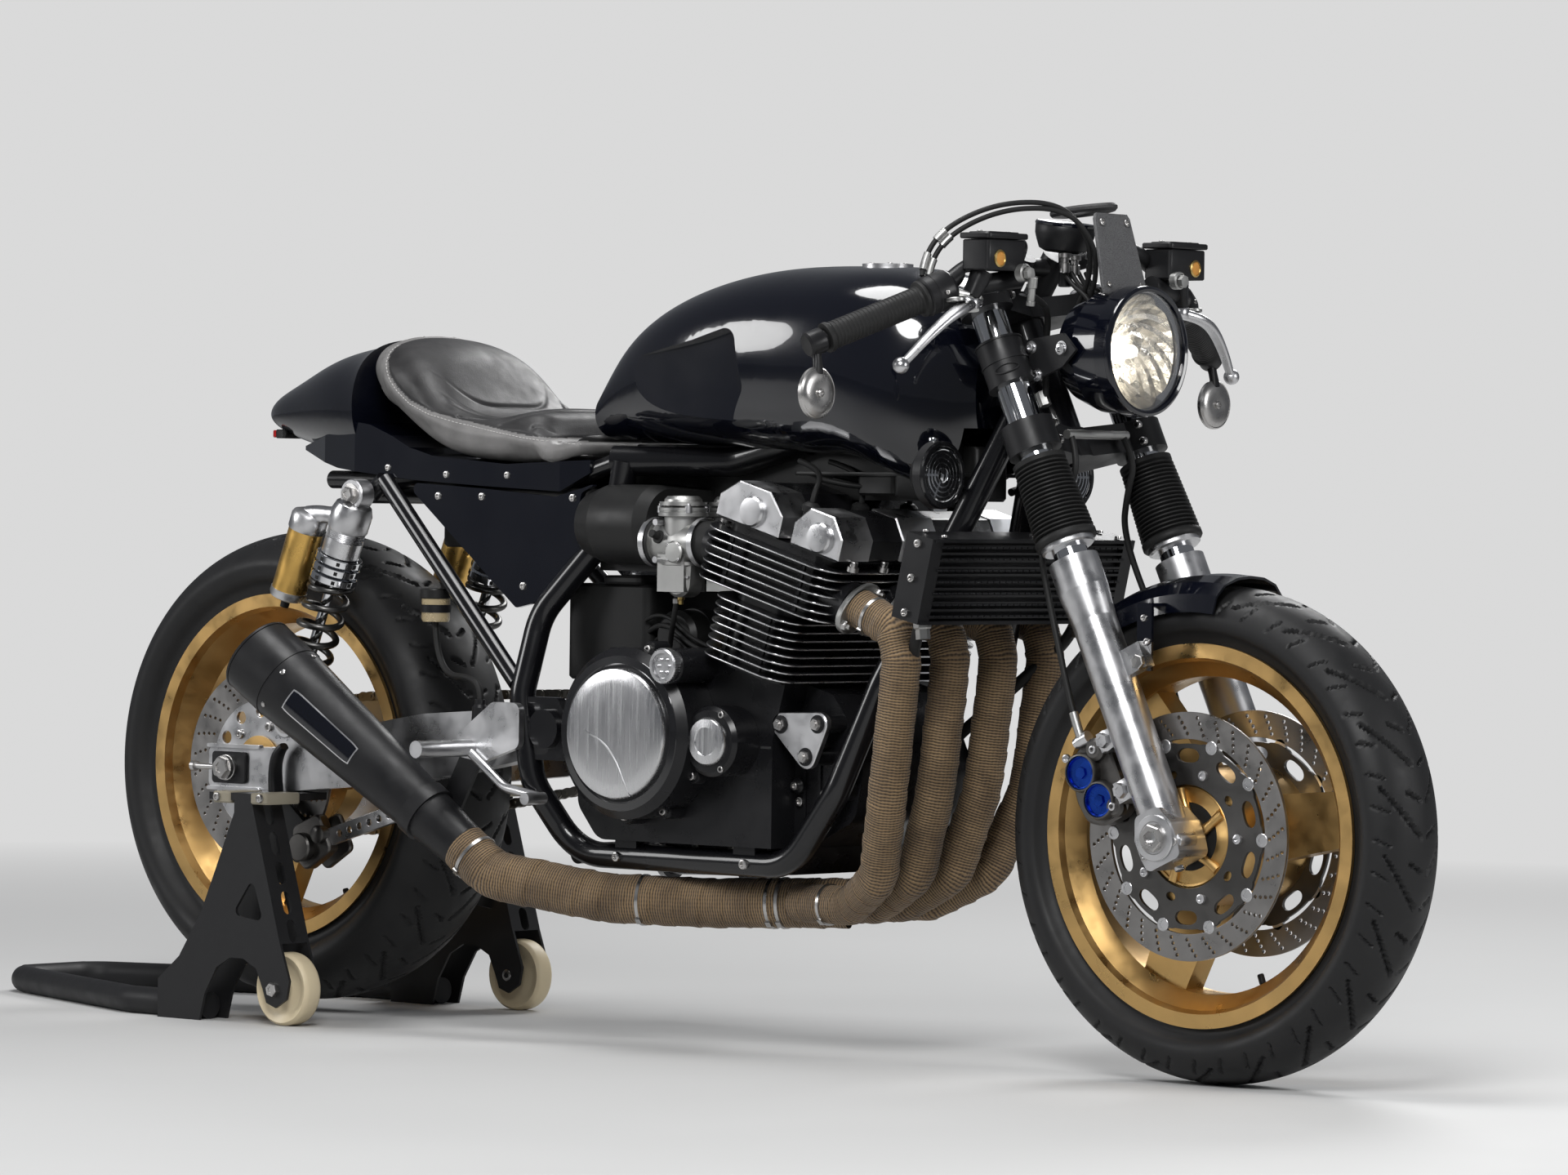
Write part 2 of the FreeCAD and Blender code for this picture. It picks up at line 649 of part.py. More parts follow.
def instrument():
    """A round gauge on a folded plate that stands on the lamp and the top yoke."""
    base = V(GAUGE_X, 0, GAUGE_Z - GAUGE_T)
    gauge = rod(base, V(GAUGE_X, 0, GAUGE_Z), GAUGE_R)
    hood = plate([
        (HOOD_X, GAUGE_Z), (HOOD_X + HOOD_LENGTH, GAUGE_Z + HOOD_T),
        (HOOD_X + HOOD_LENGTH, GAUGE_Z + 2 * HOOD_T), (HOOD_X, GAUGE_Z + HOOD_T * 1.6),
    ], -HOOD_WIDTH / 2, HOOD_WIDTH / 2, HOOD_T / 3)
    dash = plate([
        (DASH_TOP_X, GAUGE_Z + HOOD_T), (DASH_TOP_X + DASH_T, GAUGE_Z + HOOD_T),
        (DASH_FOOT_X + DASH_T, DASH_FOOT_Z), (DASH_FOOT_X, DASH_FOOT_Z),
    ], -DASH_WIDTH / 2, DASH_WIDTH / 2)
    stalk = rod(V(GAUGE_X, 0, BAR_CENTRE_Z), V(GAUGE_X, 0, GAUGE_Z - GAUGE_T + OVERRUN),
                GAUGE_STALK_R)
    foot = rod(V(BAR_CENTRE_X, 0, BAR_CENTRE_Z), V(GAUGE_X, 0, BAR_CENTRE_Z), GAUGE_STALK_R)
    neck = rod(base, V(GAUGE_X, 0, GAUGE_Z + HOOD_T), GAUGE_R * 0.4)
    whole = fused([gauge, hood, dash, stalk, foot, neck])
    whole = whole.cut(bar(handlebar_route(), BAR_R + RUNNING_FIT, BAR_BEND_R))
    lamp_room = rod(V(LAMP_FACE_X - LAMP_DEPTH, 0, LAMP_Z), V(LAMP_FACE_X, 0, LAMP_Z),
                    LAMP_R - LAMP_WALL - SEAT_GAP)
    return whole.cut(lamp_room)


# Front fender
FENDER_PROFILE = [
    (268.0, -69.0), (290.0, -65.0), (304.0, -50.0), (312.0, -26.0), (314.0, 0.0),
    (312.0, 26.0), (304.0, 50.0), (290.0, 65.0), (268.0, 69.0),
    (268.0, 66.0), (288.5, 62.0), (301.8, 48.0), (309.0, 25.0), (311.0, 0.0),
    (309.0, -25.0), (301.8, -48.0), (288.5, -62.0), (268.0, -66.0),
]
FENDER_FIRST_DEG = 83.0
FENDER_SPAN_DEG = 42.0
FENDER_STAY_T = 4.0
FENDER_STAY_REAR_X = 1480.0
FENDER_STAY_FRONT_X = 1502.0
FENDER_STAY_LOW_Z = 497.0
FENDER_STAY_TOP_Z = 578.0


def front_fender():
    """Short rear-set guard with a stay to the lug on each slider."""
    face = Part.Face(Part.makePolygon([V(r, y, 0) for r, y in FENDER_PROFILE + FENDER_PROFILE[:1]]))
    face.rotate(V(0, 0, 0), ALONG_Y, -FENDER_FIRST_DEG)
    guard = face.revolve(V(0, 0, 0), V(0, -1, 0), FENDER_SPAN_DEG)
    guard.translate(FRONT_AXLE)
    outer_y = -FORK_Y + FENDER_LUG_T / 2 + SEAT_GAP
    upright = block(FENDER_STAY_REAR_X, FENDER_STAY_FRONT_X, outer_y,
                    outer_y + FENDER_STAY_T, FENDER_STAY_LOW_Z, FENDER_STAY_TOP_Z)
    shelf_inner_y = FENDER_PROFILE[0][1] + FENDER_STAY_T / 2
    shelf = block(FENDER_STAY_REAR_X, FENDER_STAY_FRONT_X, outer_y,
                  shelf_inner_y, FENDER_STAY_TOP_Z - FENDER_STAY_T, FENDER_STAY_TOP_Z)
    stay = fused([upright, shelf])
    return fused([guard, stay, mirrored(stay)])


# Hoses and cables
HOSE_R = 4.0
CABLE_R = 3.2
HOSE_BEND_R = 40.0
SPLITTER_R = 9.0
THROTTLE_ROUTE = [
    V(1262, -244, 966), V(1260, -230, 1004), V(1292, -176, 1046), V(1345, -88, 1042),
    V(1338, -22, 992), V(1320, -10, 962), V(1296, -4, 918), V(1286, -2, 884),
]
FRONT_HOSE_ROUTE = [
    V(1349, -150, 964), V(1349, -149, 950), V(1330, -94, 938), V(1312, -64, 924),
    V(1303, -58, 868), V(1304, -58, 824),
]
SPLITTER = from_fork(19.5, -56, 520.0)


def leg_hose():
    """From the splitter under the yoke down behind a leg to its caliper."""
    return [
        SPLITTER, from_fork(22.0, -56, LOWER_YOKE_S - 18.0), from_fork(-6.0, -56, 455.0),
        from_fork(-54.0, -84, 420.0), from_fork(-60.0, -100, 300.0),
        from_fork(-76.0, -FORK_Y, CALIPER_HIGH_S + 2 * SPLITTER_R),
        from_fork(-76.0, -FORK_Y, CALIPER_HIGH_S + SEAT_GAP),
    ]


def brake_hoses():
    """Throttle cable over the gauge, hose to the splitter and hoses to both calipers."""
    throttle = bar(THROTTLE_ROUTE, CABLE_R, HOSE_BEND_R)
    main_hose = bar(FRONT_HOSE_ROUTE + [from_fork(19.5, -56, 545.0), SPLITTER], HOSE_R, HOSE_BEND_R)
    splitter = rod(V(SPLITTER.x, -abs(SPLITTER.y) - SPLITTER_R, SPLITTER.z),
                   V(SPLITTER.x, abs(SPLITTER.y) + SPLITTER_R, SPLITTER.z), SPLITTER_R)
    down = bar(leg_hose(), HOSE_R, HOSE_BEND_R)
    whole = fused([main_hose, splitter, down, mirrored(down)])
    return Part.makeCompound([throttle, whole])


# Front brakes
FRONT_DISC_Y = 67.0
DISC_T = 5.0
FRONT_DISC_R = 149.0
FRONT_ROTOR_INNER_R = 116.0
FRONT_CARRIER_R = 113.0
FRONT_CARRIER_HOLE_R = 62.0
BOBBIN_RING_R = 112.0
BOBBIN_R = 8.0
BOBBINS = 10
CARRIER_WINDOW_R = 13.0
CARRIER_WINDOW_RING_R = 94.0
DISC_HOLE_R = 3.2
DISC_HOLE_ROWS_SHARES = [0.22, 0.5, 0.78]
DISC_HOLES_A_ROW = 15
CALIPER_FACE_X = -45.0
CALIPER_BACK_X = -118.0
CALIPER_LOW_S = 52.0
CALIPER_HIGH_S = 156.0
CALIPER_OUTER_Y = 115.0
CALIPER_INNER_Y = 28.0
CALIPER_BRIDGE_DISTANCE = FRONT_DISC_R + MOVING_GAP
CALIPER_LUG_T = 24.0
CALIPER_LUG_STATIONS = [(62.0, 88.0), (128.0, 152.0)]
BOBBIN_RISE = 1.0
CALIPER_CAP_R = 17.0
CALIPER_CAP_T = 6.0
FENDER_LUG_X = 57.0
FENDER_LUG_S = 214.0
FENDER_LUG_T = 16.0


def brake_disc(centre_y, outer_r, inner_r, axle, holes):
    rotor = ring(axle, outer_r, inner_r, centre_y - DISC_T / 2, centre_y + DISC_T / 2)
    drills = []
    for row, share in enumerate(DISC_HOLE_ROWS_SHARES):
        radius = inner_r + (outer_r - inner_r) * share
        spot = V(axle.x + radius, 0, axle.z)
        drill = disc(spot, DISC_HOLE_R, centre_y - DISC_T, centre_y + DISC_T)
        turn = 360.0 / holes * row / len(DISC_HOLE_ROWS_SHARES)
        drills += ring_of(drill, axle, holes, turn)
    return rotor.cut(Part.makeCompound(drills))


def front_discs():
    rotor = brake_disc(-FRONT_DISC_Y, FRONT_DISC_R, FRONT_ROTOR_INNER_R, FRONT_AXLE,
                       DISC_HOLES_A_ROW)
    return pair(rotor)


def front_disc_carriers():
    """The dark inner carrier with its bobbins, bolted on the hub."""
    low = -FRONT_DISC_Y - DISC_T / 2
    high = -FRONT_DISC_Y + DISC_T / 2
    body = ring(FRONT_AXLE, FRONT_CARRIER_R, FRONT_CARRIER_HOLE_R, low, high)
    window = disc(FRONT_AXLE.add(V(CARRIER_WINDOW_RING_R, 0, 0)), CARRIER_WINDOW_R,
                  low - OVERRUN, high + OVERRUN)
    body = body.cut(Part.makeCompound(ring_of(window, FRONT_AXLE, BOBBINS, 180.0 / BOBBINS)))
    bobbin = disc(FRONT_AXLE.add(V(BOBBIN_RING_R, 0, 0)), BOBBIN_R, low - BOBBIN_RISE, low)
    return pair(fused([body] + ring_of(bobbin, FRONT_AXLE, BOBBINS)))


def front_calipers():
    """Two-piston halves each side of the disc, bridged outside its rim."""
    low_y = -CALIPER_OUTER_Y
    high_y = -CALIPER_INNER_Y
    outline_shares = [
        (0.0, 0.0), (0.62, 0.0), (1.0, 0.30), (1.0, 0.86), (0.80, 1.0), (0.0, 1.0),
    ]
    points = spread(outline_shares, CALIPER_FACE_X, CALIPER_BACK_X - CALIPER_FACE_X,
                    CALIPER_LOW_S, CALIPER_HIGH_S - CALIPER_LOW_S)
    body = placed_on_fork(plate(points, low_y, high_y, CALIPER_CAP_R / 2))
    slot = ring(FRONT_AXLE, CALIPER_BRIDGE_DISTANCE, AXLE_R,
                -FRONT_DISC_Y - DISC_T / 2 - MOVING_GAP, -FRONT_DISC_Y + DISC_T / 2 + MOVING_GAP)
    body = body.cut(slot)
    body = body.common(disc(FRONT_AXLE, FRONT_RIM_CLEAR_R, low_y, high_y))
    hub_room = disc(FRONT_AXLE, HUB_FLANGE_R + MOVING_GAP, -FRONT_DISC_Y, 0)
    body = body.cut(hub_room)
    spoke_room = disc(FRONT_AXLE, FRONT_DISC_R * 2, -SPOKE_HALF_T - MOVING_GAP, SPOKE_HALF_T)
    return pair(body.cut(spoke_room))


# Wheels
RIM_FLANGE_R = 230.5
RIM_FLANGE_T = 5.0
RIM_BED_R = 216.0
RIM_WELL_R = 198.0
RIM_SKIN = 7.0
FRONT_RIM_W = 100.0
REAR_RIM_W = 152.0
FRONT_RIM_CLEAR_R = RIM_WELL_R - RIM_SKIN - MOVING_GAP
SPOKES = 3
SPOKE_HALF_T = 17.0
SPOKE_ROOT_W = 88.0
SPOKE_TIP_W = 66.0
SPOKE_FIRST_DEG = -8.0
HUB_R = 46.0
HUB_FLANGE_R = 84.0
TYRE_BEAD_T = 7.5
TYRE_WALL_SHARES = [(0.52, 0.98), (0.86, 0.72), (1.0, 0.0)]


def rim_ring(width):
    """Barrel with a drop centre and two flanges."""
    half = width / 2
    inner = RIM_WELL_R - RIM_SKIN
    right = [
        (inner, 0), (inner, -half * 0.45), (RIM_BED_R - RIM_SKIN, -half * 0.85),
        (RIM_BED_R - RIM_SKIN * 0.4, -half), (RIM_FLANGE_R, -half),
        (RIM_FLANGE_R, -half + RIM_FLANGE_T), (RIM_BED_R, -half + RIM_FLANGE_T),
        (RIM_BED_R, -half * 0.62), (RIM_WELL_R, -half * 0.36),
    ]
    left = [(radius, -along) for radius, along in reversed(right[1:])]
    return turned(right + left, V(0, 0, 0))


def spoke(root_r):
    """One broad spoke that narrows towards the rim."""
    tip_r = RIM_WELL_R - RIM_SKIN / 2
    points = [
        (root_r * 0.6, -SPOKE_ROOT_W / 2), (tip_r, -SPOKE_TIP_W / 2),
        (tip_r, SPOKE_TIP_W / 2), (root_r * 0.6, SPOKE_ROOT_W / 2),
    ]
    return plate(points, -SPOKE_HALF_T, SPOKE_HALF_T)


def wheel(width, hub_low_y, hub_high_y, flange_low_y, flange_high_y):
    origin = V(0, 0, 0)
    pieces = [rim_ring(width)]
    pieces += ring_of(spoke(HUB_R), origin, SPOKES, SPOKE_FIRST_DEG)
    pieces.append(disc(origin, HUB_R, hub_low_y, hub_high_y))
    pieces.append(disc(origin, HUB_FLANGE_R, flange_low_y, flange_high_y))
    return fused(pieces)


def front_rim():
    flange = FRONT_DISC_Y - DISC_T / 2
    body = wheel(FRONT_RIM_W, -HUB_HALF_W, HUB_HALF_W, -SPOKE_HALF_T, SPOKE_HALF_T)
    collar = ring(V(0, 0, 0), HUB_FLANGE_R, HUB_R - OVERRUN, -flange, flange)
    body = fused([body, collar])
    body.translate(FRONT_AXLE)
    return body.cut(disc(FRONT_AXLE, AXLE_R + RUNNING_FIT, -FRONT_RIM_W, FRONT_RIM_W))


def tyre(outer_r, width, rim_width):
    """A round-crowned carcass whose beads sit inside the rim flanges."""
    bead_y = rim_width / 2 - RIM_FLANGE_T - TYRE_BEAD_T
    bead_r = RIM_BED_R + SEAT_GAP
    rise = outer_r - bead_r
    right = [(bead_r, -bead_y)]
    right += [(bead_r + rise * up, -width / 2 * across) for up, across in TYRE_WALL_SHARES]
    left = [(radius, -along) for radius, along in reversed(right[:-1])]
    return turned(right + left, V(0, 0, 0))


def front_tyre():
    body = tyre(FRONT_TYRE_R, FRONT_TYRE_W, FRONT_RIM_W)
    body.translate(FRONT_AXLE)
    return body


def rear_tyre():
    body = tyre(REAR_TYRE_R, REAR_TYRE_W, REAR_RIM_W)
    body.translate(REAR_AXLE)
    return body


# Rear wheel and axle
REAR_SHAFT_R = 10.0
REAR_DISC_Y = -97.0
REAR_DISC_R = 133.0
REAR_DISC_INNER_R = 58.0
REAR_HUB_RIGHT_Y = REAR_DISC_Y + DISC_T / 2
SPROCKET_TEETH = 36
CHAIN_PITCH = 15.875
SPROCKET_T = 7.0
SPROCKET_BORE_R = 34.0
ARM_INNER_Y = 126.0
ARM_T = 34.0
REAR_SPACER_R = 16.0


def rear_rim():
    body = wheel(REAR_RIM_W, REAR_HUB_RIGHT_Y, CHAIN_LINE_Y - SPROCKET_T / 2,
                 -SPOKE_HALF_T, SPOKE_HALF_T)
    body.translate(REAR_AXLE)
    return body.cut(disc(REAR_AXLE, REAR_SHAFT_R + RUNNING_FIT, -REAR_TYRE_W, REAR_TYRE_W))


def rear_disc():
    rotor = brake_disc(REAR_DISC_Y - DISC_T, REAR_DISC_R, REAR_DISC_INNER_R, REAR_AXLE,
                       DISC_HOLES_A_ROW)
    boss = ring(REAR_AXLE, REAR_DISC_INNER_R, REAR_SPACER_R + MOVING_GAP,
                REAR_DISC_Y - DISC_T * 1.5, REAR_DISC_Y + DISC_T / 2)
    return fused([rotor, boss])


def pitch_radius(teeth):
    return CHAIN_PITCH / 2 / math.sin(math.pi / teeth)


ROLLER_R = 5.1
LINK_HALF_H = 7.5
CHAIN_HALF_W = 9.5
FRONT_SPROCKET_TEETH = 17


def sprocket(teeth, centre, bore_r):
    """Toothed plate with round roots on the chain's pitch circle."""
    ring_r = pitch_radius(teeth)
    tooth_r = ring_r + ROLLER_R * 0.75
    low = CHAIN_LINE_Y - SPROCKET_T / 2
    high = CHAIN_LINE_Y + SPROCKET_T / 2
    body = ring(centre, tooth_r, bore_r, low, high)
    root = disc(centre.add(V(ring_r, 0, 0)), ROLLER_R + SEAT_GAP, low - OVERRUN, high + OVERRUN)
    return body.cut(Part.makeCompound(ring_of(root, centre, teeth, 180.0 / teeth)))


def rear_sprocket():
    return sprocket(SPROCKET_TEETH, REAR_AXLE, SPROCKET_BORE_R)


def chain_path(offset):
    """The chain loop's outline, moved out or in from its pitch line."""
    rear_r = pitch_radius(SPROCKET_TEETH) + offset
    front_r = pitch_radius(FRONT_SPROCKET_TEETH) + offset
    span = OUTPUT_SHAFT.sub(REAR_AXLE)
    slope = math.atan2(span.z, span.x)
    lean = math.acos((rear_r - front_r) / span.Length)
    edges = []
    touches = []
    for sign in (1, -1):
        angle = slope + sign * lean
        out = V(math.cos(angle), 0, math.sin(angle))
        touches.append((REAR_AXLE.add(V(out).multiply(rear_r)),
                        OUTPUT_SHAFT.add(V(out).multiply(front_r))))
    back = V(-math.cos(slope), 0, -math.sin(slope))
    front = V(math.cos(slope), 0, math.sin(slope))
    edges.append(Part.LineSegment(touches[0][0], touches[0][1]).toShape())
    edges.append(Part.Arc(touches[0][1], OUTPUT_SHAFT.add(front.multiply(front_r)),
                          touches[1][1]).toShape())
    edges.append(Part.LineSegment(touches[1][1], touches[1][0]).toShape())
    edges.append(Part.Arc(touches[1][0], REAR_AXLE.add(back.multiply(rear_r)),
                          touches[0][0]).toShape())
    return Part.Wire(edges)


def chain():
    """Two rows of side plates joined by a band of rollers between them."""
    loop_faces = Part.Face([chain_path(LINK_HALF_H), chain_path(-LINK_HALF_H)])
    loop_faces.validate()
    plates = []
    plate_t = CHAIN_HALF_W - SPROCKET_T / 2 - SEAT_GAP - RUNNING_FIT
    for low in (CHAIN_LINE_Y - CHAIN_HALF_W, CHAIN_LINE_Y + CHAIN_HALF_W - plate_t):
        side_plates = loop_faces.extrude(V(0, plate_t, 0))
        side_plates.translate(V(0, low, 0))
        plates.append(side_plates)
    return Part.makeCompound(plates)


AXLE_NUT_R = 16.0
AXLE_NUT_T = 14.0
ARM_OUTER_Y = ARM_INNER_Y + ARM_T


def rear_axle():
    """The spindle with its nuts, and the spacers that carry the wheel between the arms."""
    end = ARM_OUTER_Y + AXLE_NUT_T
    pieces = [disc(REAR_AXLE, REAR_SHAFT_R, -end, end)]
    pieces.append(disc(REAR_AXLE, AXLE_NUT_R, -end, -ARM_OUTER_Y - SEAT_GAP))
    pieces.append(disc(REAR_AXLE, AXLE_NUT_R, ARM_OUTER_Y + SEAT_GAP, end))
    pieces.append(disc(REAR_AXLE, REAR_SPACER_R, -ARM_INNER_Y + SEAT_GAP,
                       REAR_HUB_RIGHT_Y - SEAT_GAP))
    pieces.append(disc(REAR_AXLE, REAR_SPACER_R, CHAIN_LINE_Y - SPROCKET_T / 2 + SEAT_GAP,
                       ARM_INNER_Y - SEAT_GAP))
    return fused(pieces)


# Swingarm
ARM_REAR_X = REAR_AXLE_X - 40.0
ARM_END_HALF_H = 28.0
ARM_MID_X = REAR_AXLE_X + 110.0
ARM_FRONT_HALF_H = 29.0
ARM_NARROW_Y = 142.0
ARM_WAIST_X = 300.0
ARM_NECK_X = 470.0
PIVOT_TUBE_R = 25.0
PIVOT_HALF_W = 146.0
CROSS_FRONT_X = 520.0
CROSS_REAR_X = 430.0
ARM_BRACE_X = 350.0
ARM_BRACE_RISE = 26.0
SHOCK_LOWER = V(104, 160, 392)
SHOCK_UPPER = V(222, 160, 695)
SHOCK_PIN_R = 8.0
SHOCK_Y = 150.0


def swingarm():
    """Two deep arms with a cross box behind the engine, from the pivot to the axle."""
    shares = [
        (ARM_REAR_X, REAR_AXLE_Z - ARM_END_HALF_H),
        (ARM_MID_X, REAR_AXLE_Z - ARM_END_HALF_H),
        (ARM_BRACE_X, REAR_AXLE_Z - ARM_END_HALF_H * 0.2),
        (PIVOT_X, PIVOT_Z - ARM_FRONT_HALF_H),
        (PIVOT_X + PIVOT_TUBE_R, PIVOT_Z - PIVOT_TUBE_R / 2),
        (PIVOT_X + PIVOT_TUBE_R, PIVOT_Z + PIVOT_TUBE_R / 2),
        (PIVOT_X, PIVOT_Z + ARM_FRONT_HALF_H),
        (ARM_BRACE_X, PIVOT_Z + ARM_FRONT_HALF_H * 0.4),
        (ARM_MID_X, REAR_AXLE_Z + ARM_END_HALF_H * 1.4),
        (ARM_MID_X - ARM_END_HALF_H, REAR_AXLE_Z + ARM_END_HALF_H),
        (ARM_REAR_X, REAR_AXLE_Z + ARM_END_HALF_H),
    ]
    arm = plate(shares, -ARM_OUTER_Y, -ARM_NARROW_Y + ARM_T, ARM_END_HALF_H / 3)
    plan = [
        (ARM_REAR_X - OVERRUN, -ARM_OUTER_Y), (ARM_WAIST_X, -ARM_OUTER_Y),
        (ARM_NECK_X, -ARM_NARROW_Y), (PIVOT_X + 2 * PIVOT_TUBE_R, -ARM_NARROW_Y),
        (PIVOT_X + 2 * PIVOT_TUBE_R, -ARM_NARROW_Y + ARM_T), (ARM_NECK_X, -ARM_NARROW_Y + ARM_T),
        (ARM_WAIST_X, -ARM_INNER_Y), (ARM_REAR_X - OVERRUN, -ARM_INNER_Y),
    ]
    plan_face = Part.Face(outline([V(x, y, 0) for x, y in plan]))
    arm = arm.common(plan_face.extrude(V(0, 0, FAR)))
    eye_low = -SHOCK_Y - SHOCK_EYE_T
    stud = rod(V(SHOCK_LOWER.x, -ARM_INNER_Y, SHOCK_LOWER.z),
               V(SHOCK_LOWER.x, eye_low, SHOCK_LOWER.z), SHOCK_PIN_R)
    boss = plate([
        (SHOCK_LOWER.x - ARM_END_HALF_H, REAR_AXLE_Z + ARM_END_HALF_H / 2),
        (SHOCK_LOWER.x - SHOCK_PIN_R * 1.6, SHOCK_LOWER.z + SHOCK_PIN_R * 1.6),
        (SHOCK_LOWER.x + SHOCK_PIN_R * 1.6, SHOCK_LOWER.z + SHOCK_PIN_R * 1.6),
        (SHOCK_LOWER.x + ARM_END_HALF_H * 1.4, REAR_AXLE_Z + ARM_END_HALF_H),
    ], -SHOCK_Y + SHOCK_EYE_T + SEAT_GAP, -ARM_INNER_Y)
    lug_x, lug_z = TORQUE_ARM_END
    lug = block(lug_x - TORQUE_LUG_HALF_L, lug_x + TORQUE_LUG_HALF_L, -ARM_INNER_Y - CARRIER_T,
                -ARM_INNER_Y, lug_z - TORQUE_ARM_HALF_H, PIVOT_Z - ARM_FRONT_HALF_H)
    right = fused([arm, stud, boss])
    cross = plate([
        (CROSS_REAR_X, PIVOT_Z - ARM_FRONT_HALF_H * 0.7),
        (CROSS_FRONT_X, PIVOT_Z - ARM_FRONT_HALF_H * 0.7),
        (CROSS_FRONT_X, PIVOT_Z + ARM_FRONT_HALF_H * 0.7),
        (CROSS_REAR_X, PIVOT_Z + ARM_FRONT_HALF_H * 0.55),
    ], -ARM_NARROW_Y + ARM_T / 2, ARM_NARROW_Y - ARM_T / 2)
    pivot_tube = disc(PIVOT, PIVOT_TUBE_R, -PIVOT_HALF_W, PIVOT_HALF_W)
    whole = fused([right, mirrored(right), cross, pivot_tube, lug])
    whole = whole.cut(disc(PIVOT, SHOCK_PIN_R + RUNNING_FIT, -ARM_OUTER_Y, ARM_OUTER_Y))
    return whole.cut(disc(REAR_AXLE, REAR_SHAFT_R + RUNNING_FIT, -ARM_OUTER_Y * 2, ARM_OUTER_Y * 2))


SHOCK_EYE_R = 20.0
SHOCK_EYE_T = 13.0
SHOCK_BODY_R = 26.0
SPRING_R = 32.0
SPRING_WIRE_R = 4.5
SPRING_TURNS = 5
COIL_CORNERS_A_TURN = 12
WIRE_SIDES = 8
LOW_SEAT_SHARE = 0.16
SPRING_LOW_SHARE = 0.20
SPRING_HIGH_SHARE = 0.62
HIGH_SEAT_SHARE = 0.74
BODY_TOP_SHARE = 0.96
RESERVOIR_BRIDGE_SHARE = 0.77
RESERVOIR_TOP_SHARE = 0.80
DAMPER_ROD_R = 12.5
COLLAR_T = 7.0
RESERVOIR_R = 24.0
RESERVOIR_LENGTH = 110.0
RESERVOIR_BACK = 70.0
RESERVOIR_DROP = 24.0


def along_shock(share):
    run = SHOCK_UPPER.sub(SHOCK_LOWER)
    low = V(SHOCK_LOWER.x, -SHOCK_Y, SHOCK_LOWER.z)
    return low.add(V(run.x, 0, run.z).multiply(share))


def rear_shocks():
    """Damper with end eyes, spring seats, top body and a remote reservoir."""
    pieces = []
    for centre in (along_shock(0.0), along_shock(1.0)):
        half = V(0, SHOCK_EYE_T, 0)
        pieces.append(rod(centre.sub(half), centre.add(half), SHOCK_EYE_R))
    pieces.append(rod(along_shock(0.0), along_shock(SPRING_HIGH_SHARE), DAMPER_ROD_R))
    pieces.append(rod(along_shock(LOW_SEAT_SHARE), along_shock(SPRING_LOW_SHARE), SPRING_R))
    pieces.append(rod(along_shock(SPRING_HIGH_SHARE), along_shock(HIGH_SEAT_SHARE), SPRING_R))
    pieces.append(rod(along_shock(HIGH_SEAT_SHARE), along_shock(BODY_TOP_SHARE), SHOCK_BODY_R))
    run = SHOCK_UPPER.sub(SHOCK_LOWER)
    back = V(-run.z, 0, run.x)
    back.normalize()
    top = along_shock(RESERVOIR_TOP_SHARE).add(V(back).multiply(RESERVOIR_BACK))
    down = V(-run.x, 0, -run.z)
    down.normalize()
    bottom = top.add(V(down).multiply(RESERVOIR_LENGTH))
    pieces.append(rod(top, bottom, RESERVOIR_R))
    bridge_start = along_shock(RESERVOIR_BRIDGE_SHARE)
    bridge_end = top.add(V(down).multiply(RESERVOIR_DROP / 2))
    pieces.append(rod(bridge_start, bridge_end, RESERVOIR_DROP / 2))
    body = fused(pieces)
    for centre in (along_shock(0.0), along_shock(1.0)):
        half = V(0, SHOCK_EYE_T + OVERRUN, 0)
        body = body.cut(rod(centre.sub(half), centre.add(half), SHOCK_PIN_R + RUNNING_FIT))
    return pair(body)


def coil_path(radius, height, turns):
    """Corner points of an open coil standing on the origin."""
    corners = turns * COIL_CORNERS_A_TURN
    points = []
    for index in range(corners + 1):
        angle = 2 * math.pi * index / COIL_CORNERS_A_TURN
        points.append(V(radius * math.cos(angle), radius * math.sin(angle), height * index / corners))
    return points


def coil_section(radius, wire_r):
    corners = []
    for index in range(WIRE_SIDES + 1):
        angle = 2 * math.pi * index / WIRE_SIDES
        corners.append(V(radius + wire_r * math.cos(angle), 0, wire_r * math.sin(angle)))
    return Part.Wire(Part.makePolygon(corners))


def shock_springs():
    """Open coils between the spring seats."""
    low = along_shock(SPRING_LOW_SHARE)
    high = along_shock(SPRING_HIGH_SHARE)
    run = high.sub(low)
    height = run.Length - 2 * SPRING_WIRE_R - 2 * SEAT_GAP
    centre_r = SPRING_R - SPRING_WIRE_R
    path = Part.Wire(Part.makePolygon(coil_path(centre_r, height, SPRING_TURNS)))
    coil = path.makePipeShell([coil_section(centre_r, SPRING_WIRE_R)], True, True, 1)
    coil.translate(V(0, 0, SPRING_WIRE_R + SEAT_GAP))
    coil.Placement = FreeCAD.Placement(low, FreeCAD.Rotation(ALONG_Z, run)).multiply(coil.Placement)
    return pair(coil)


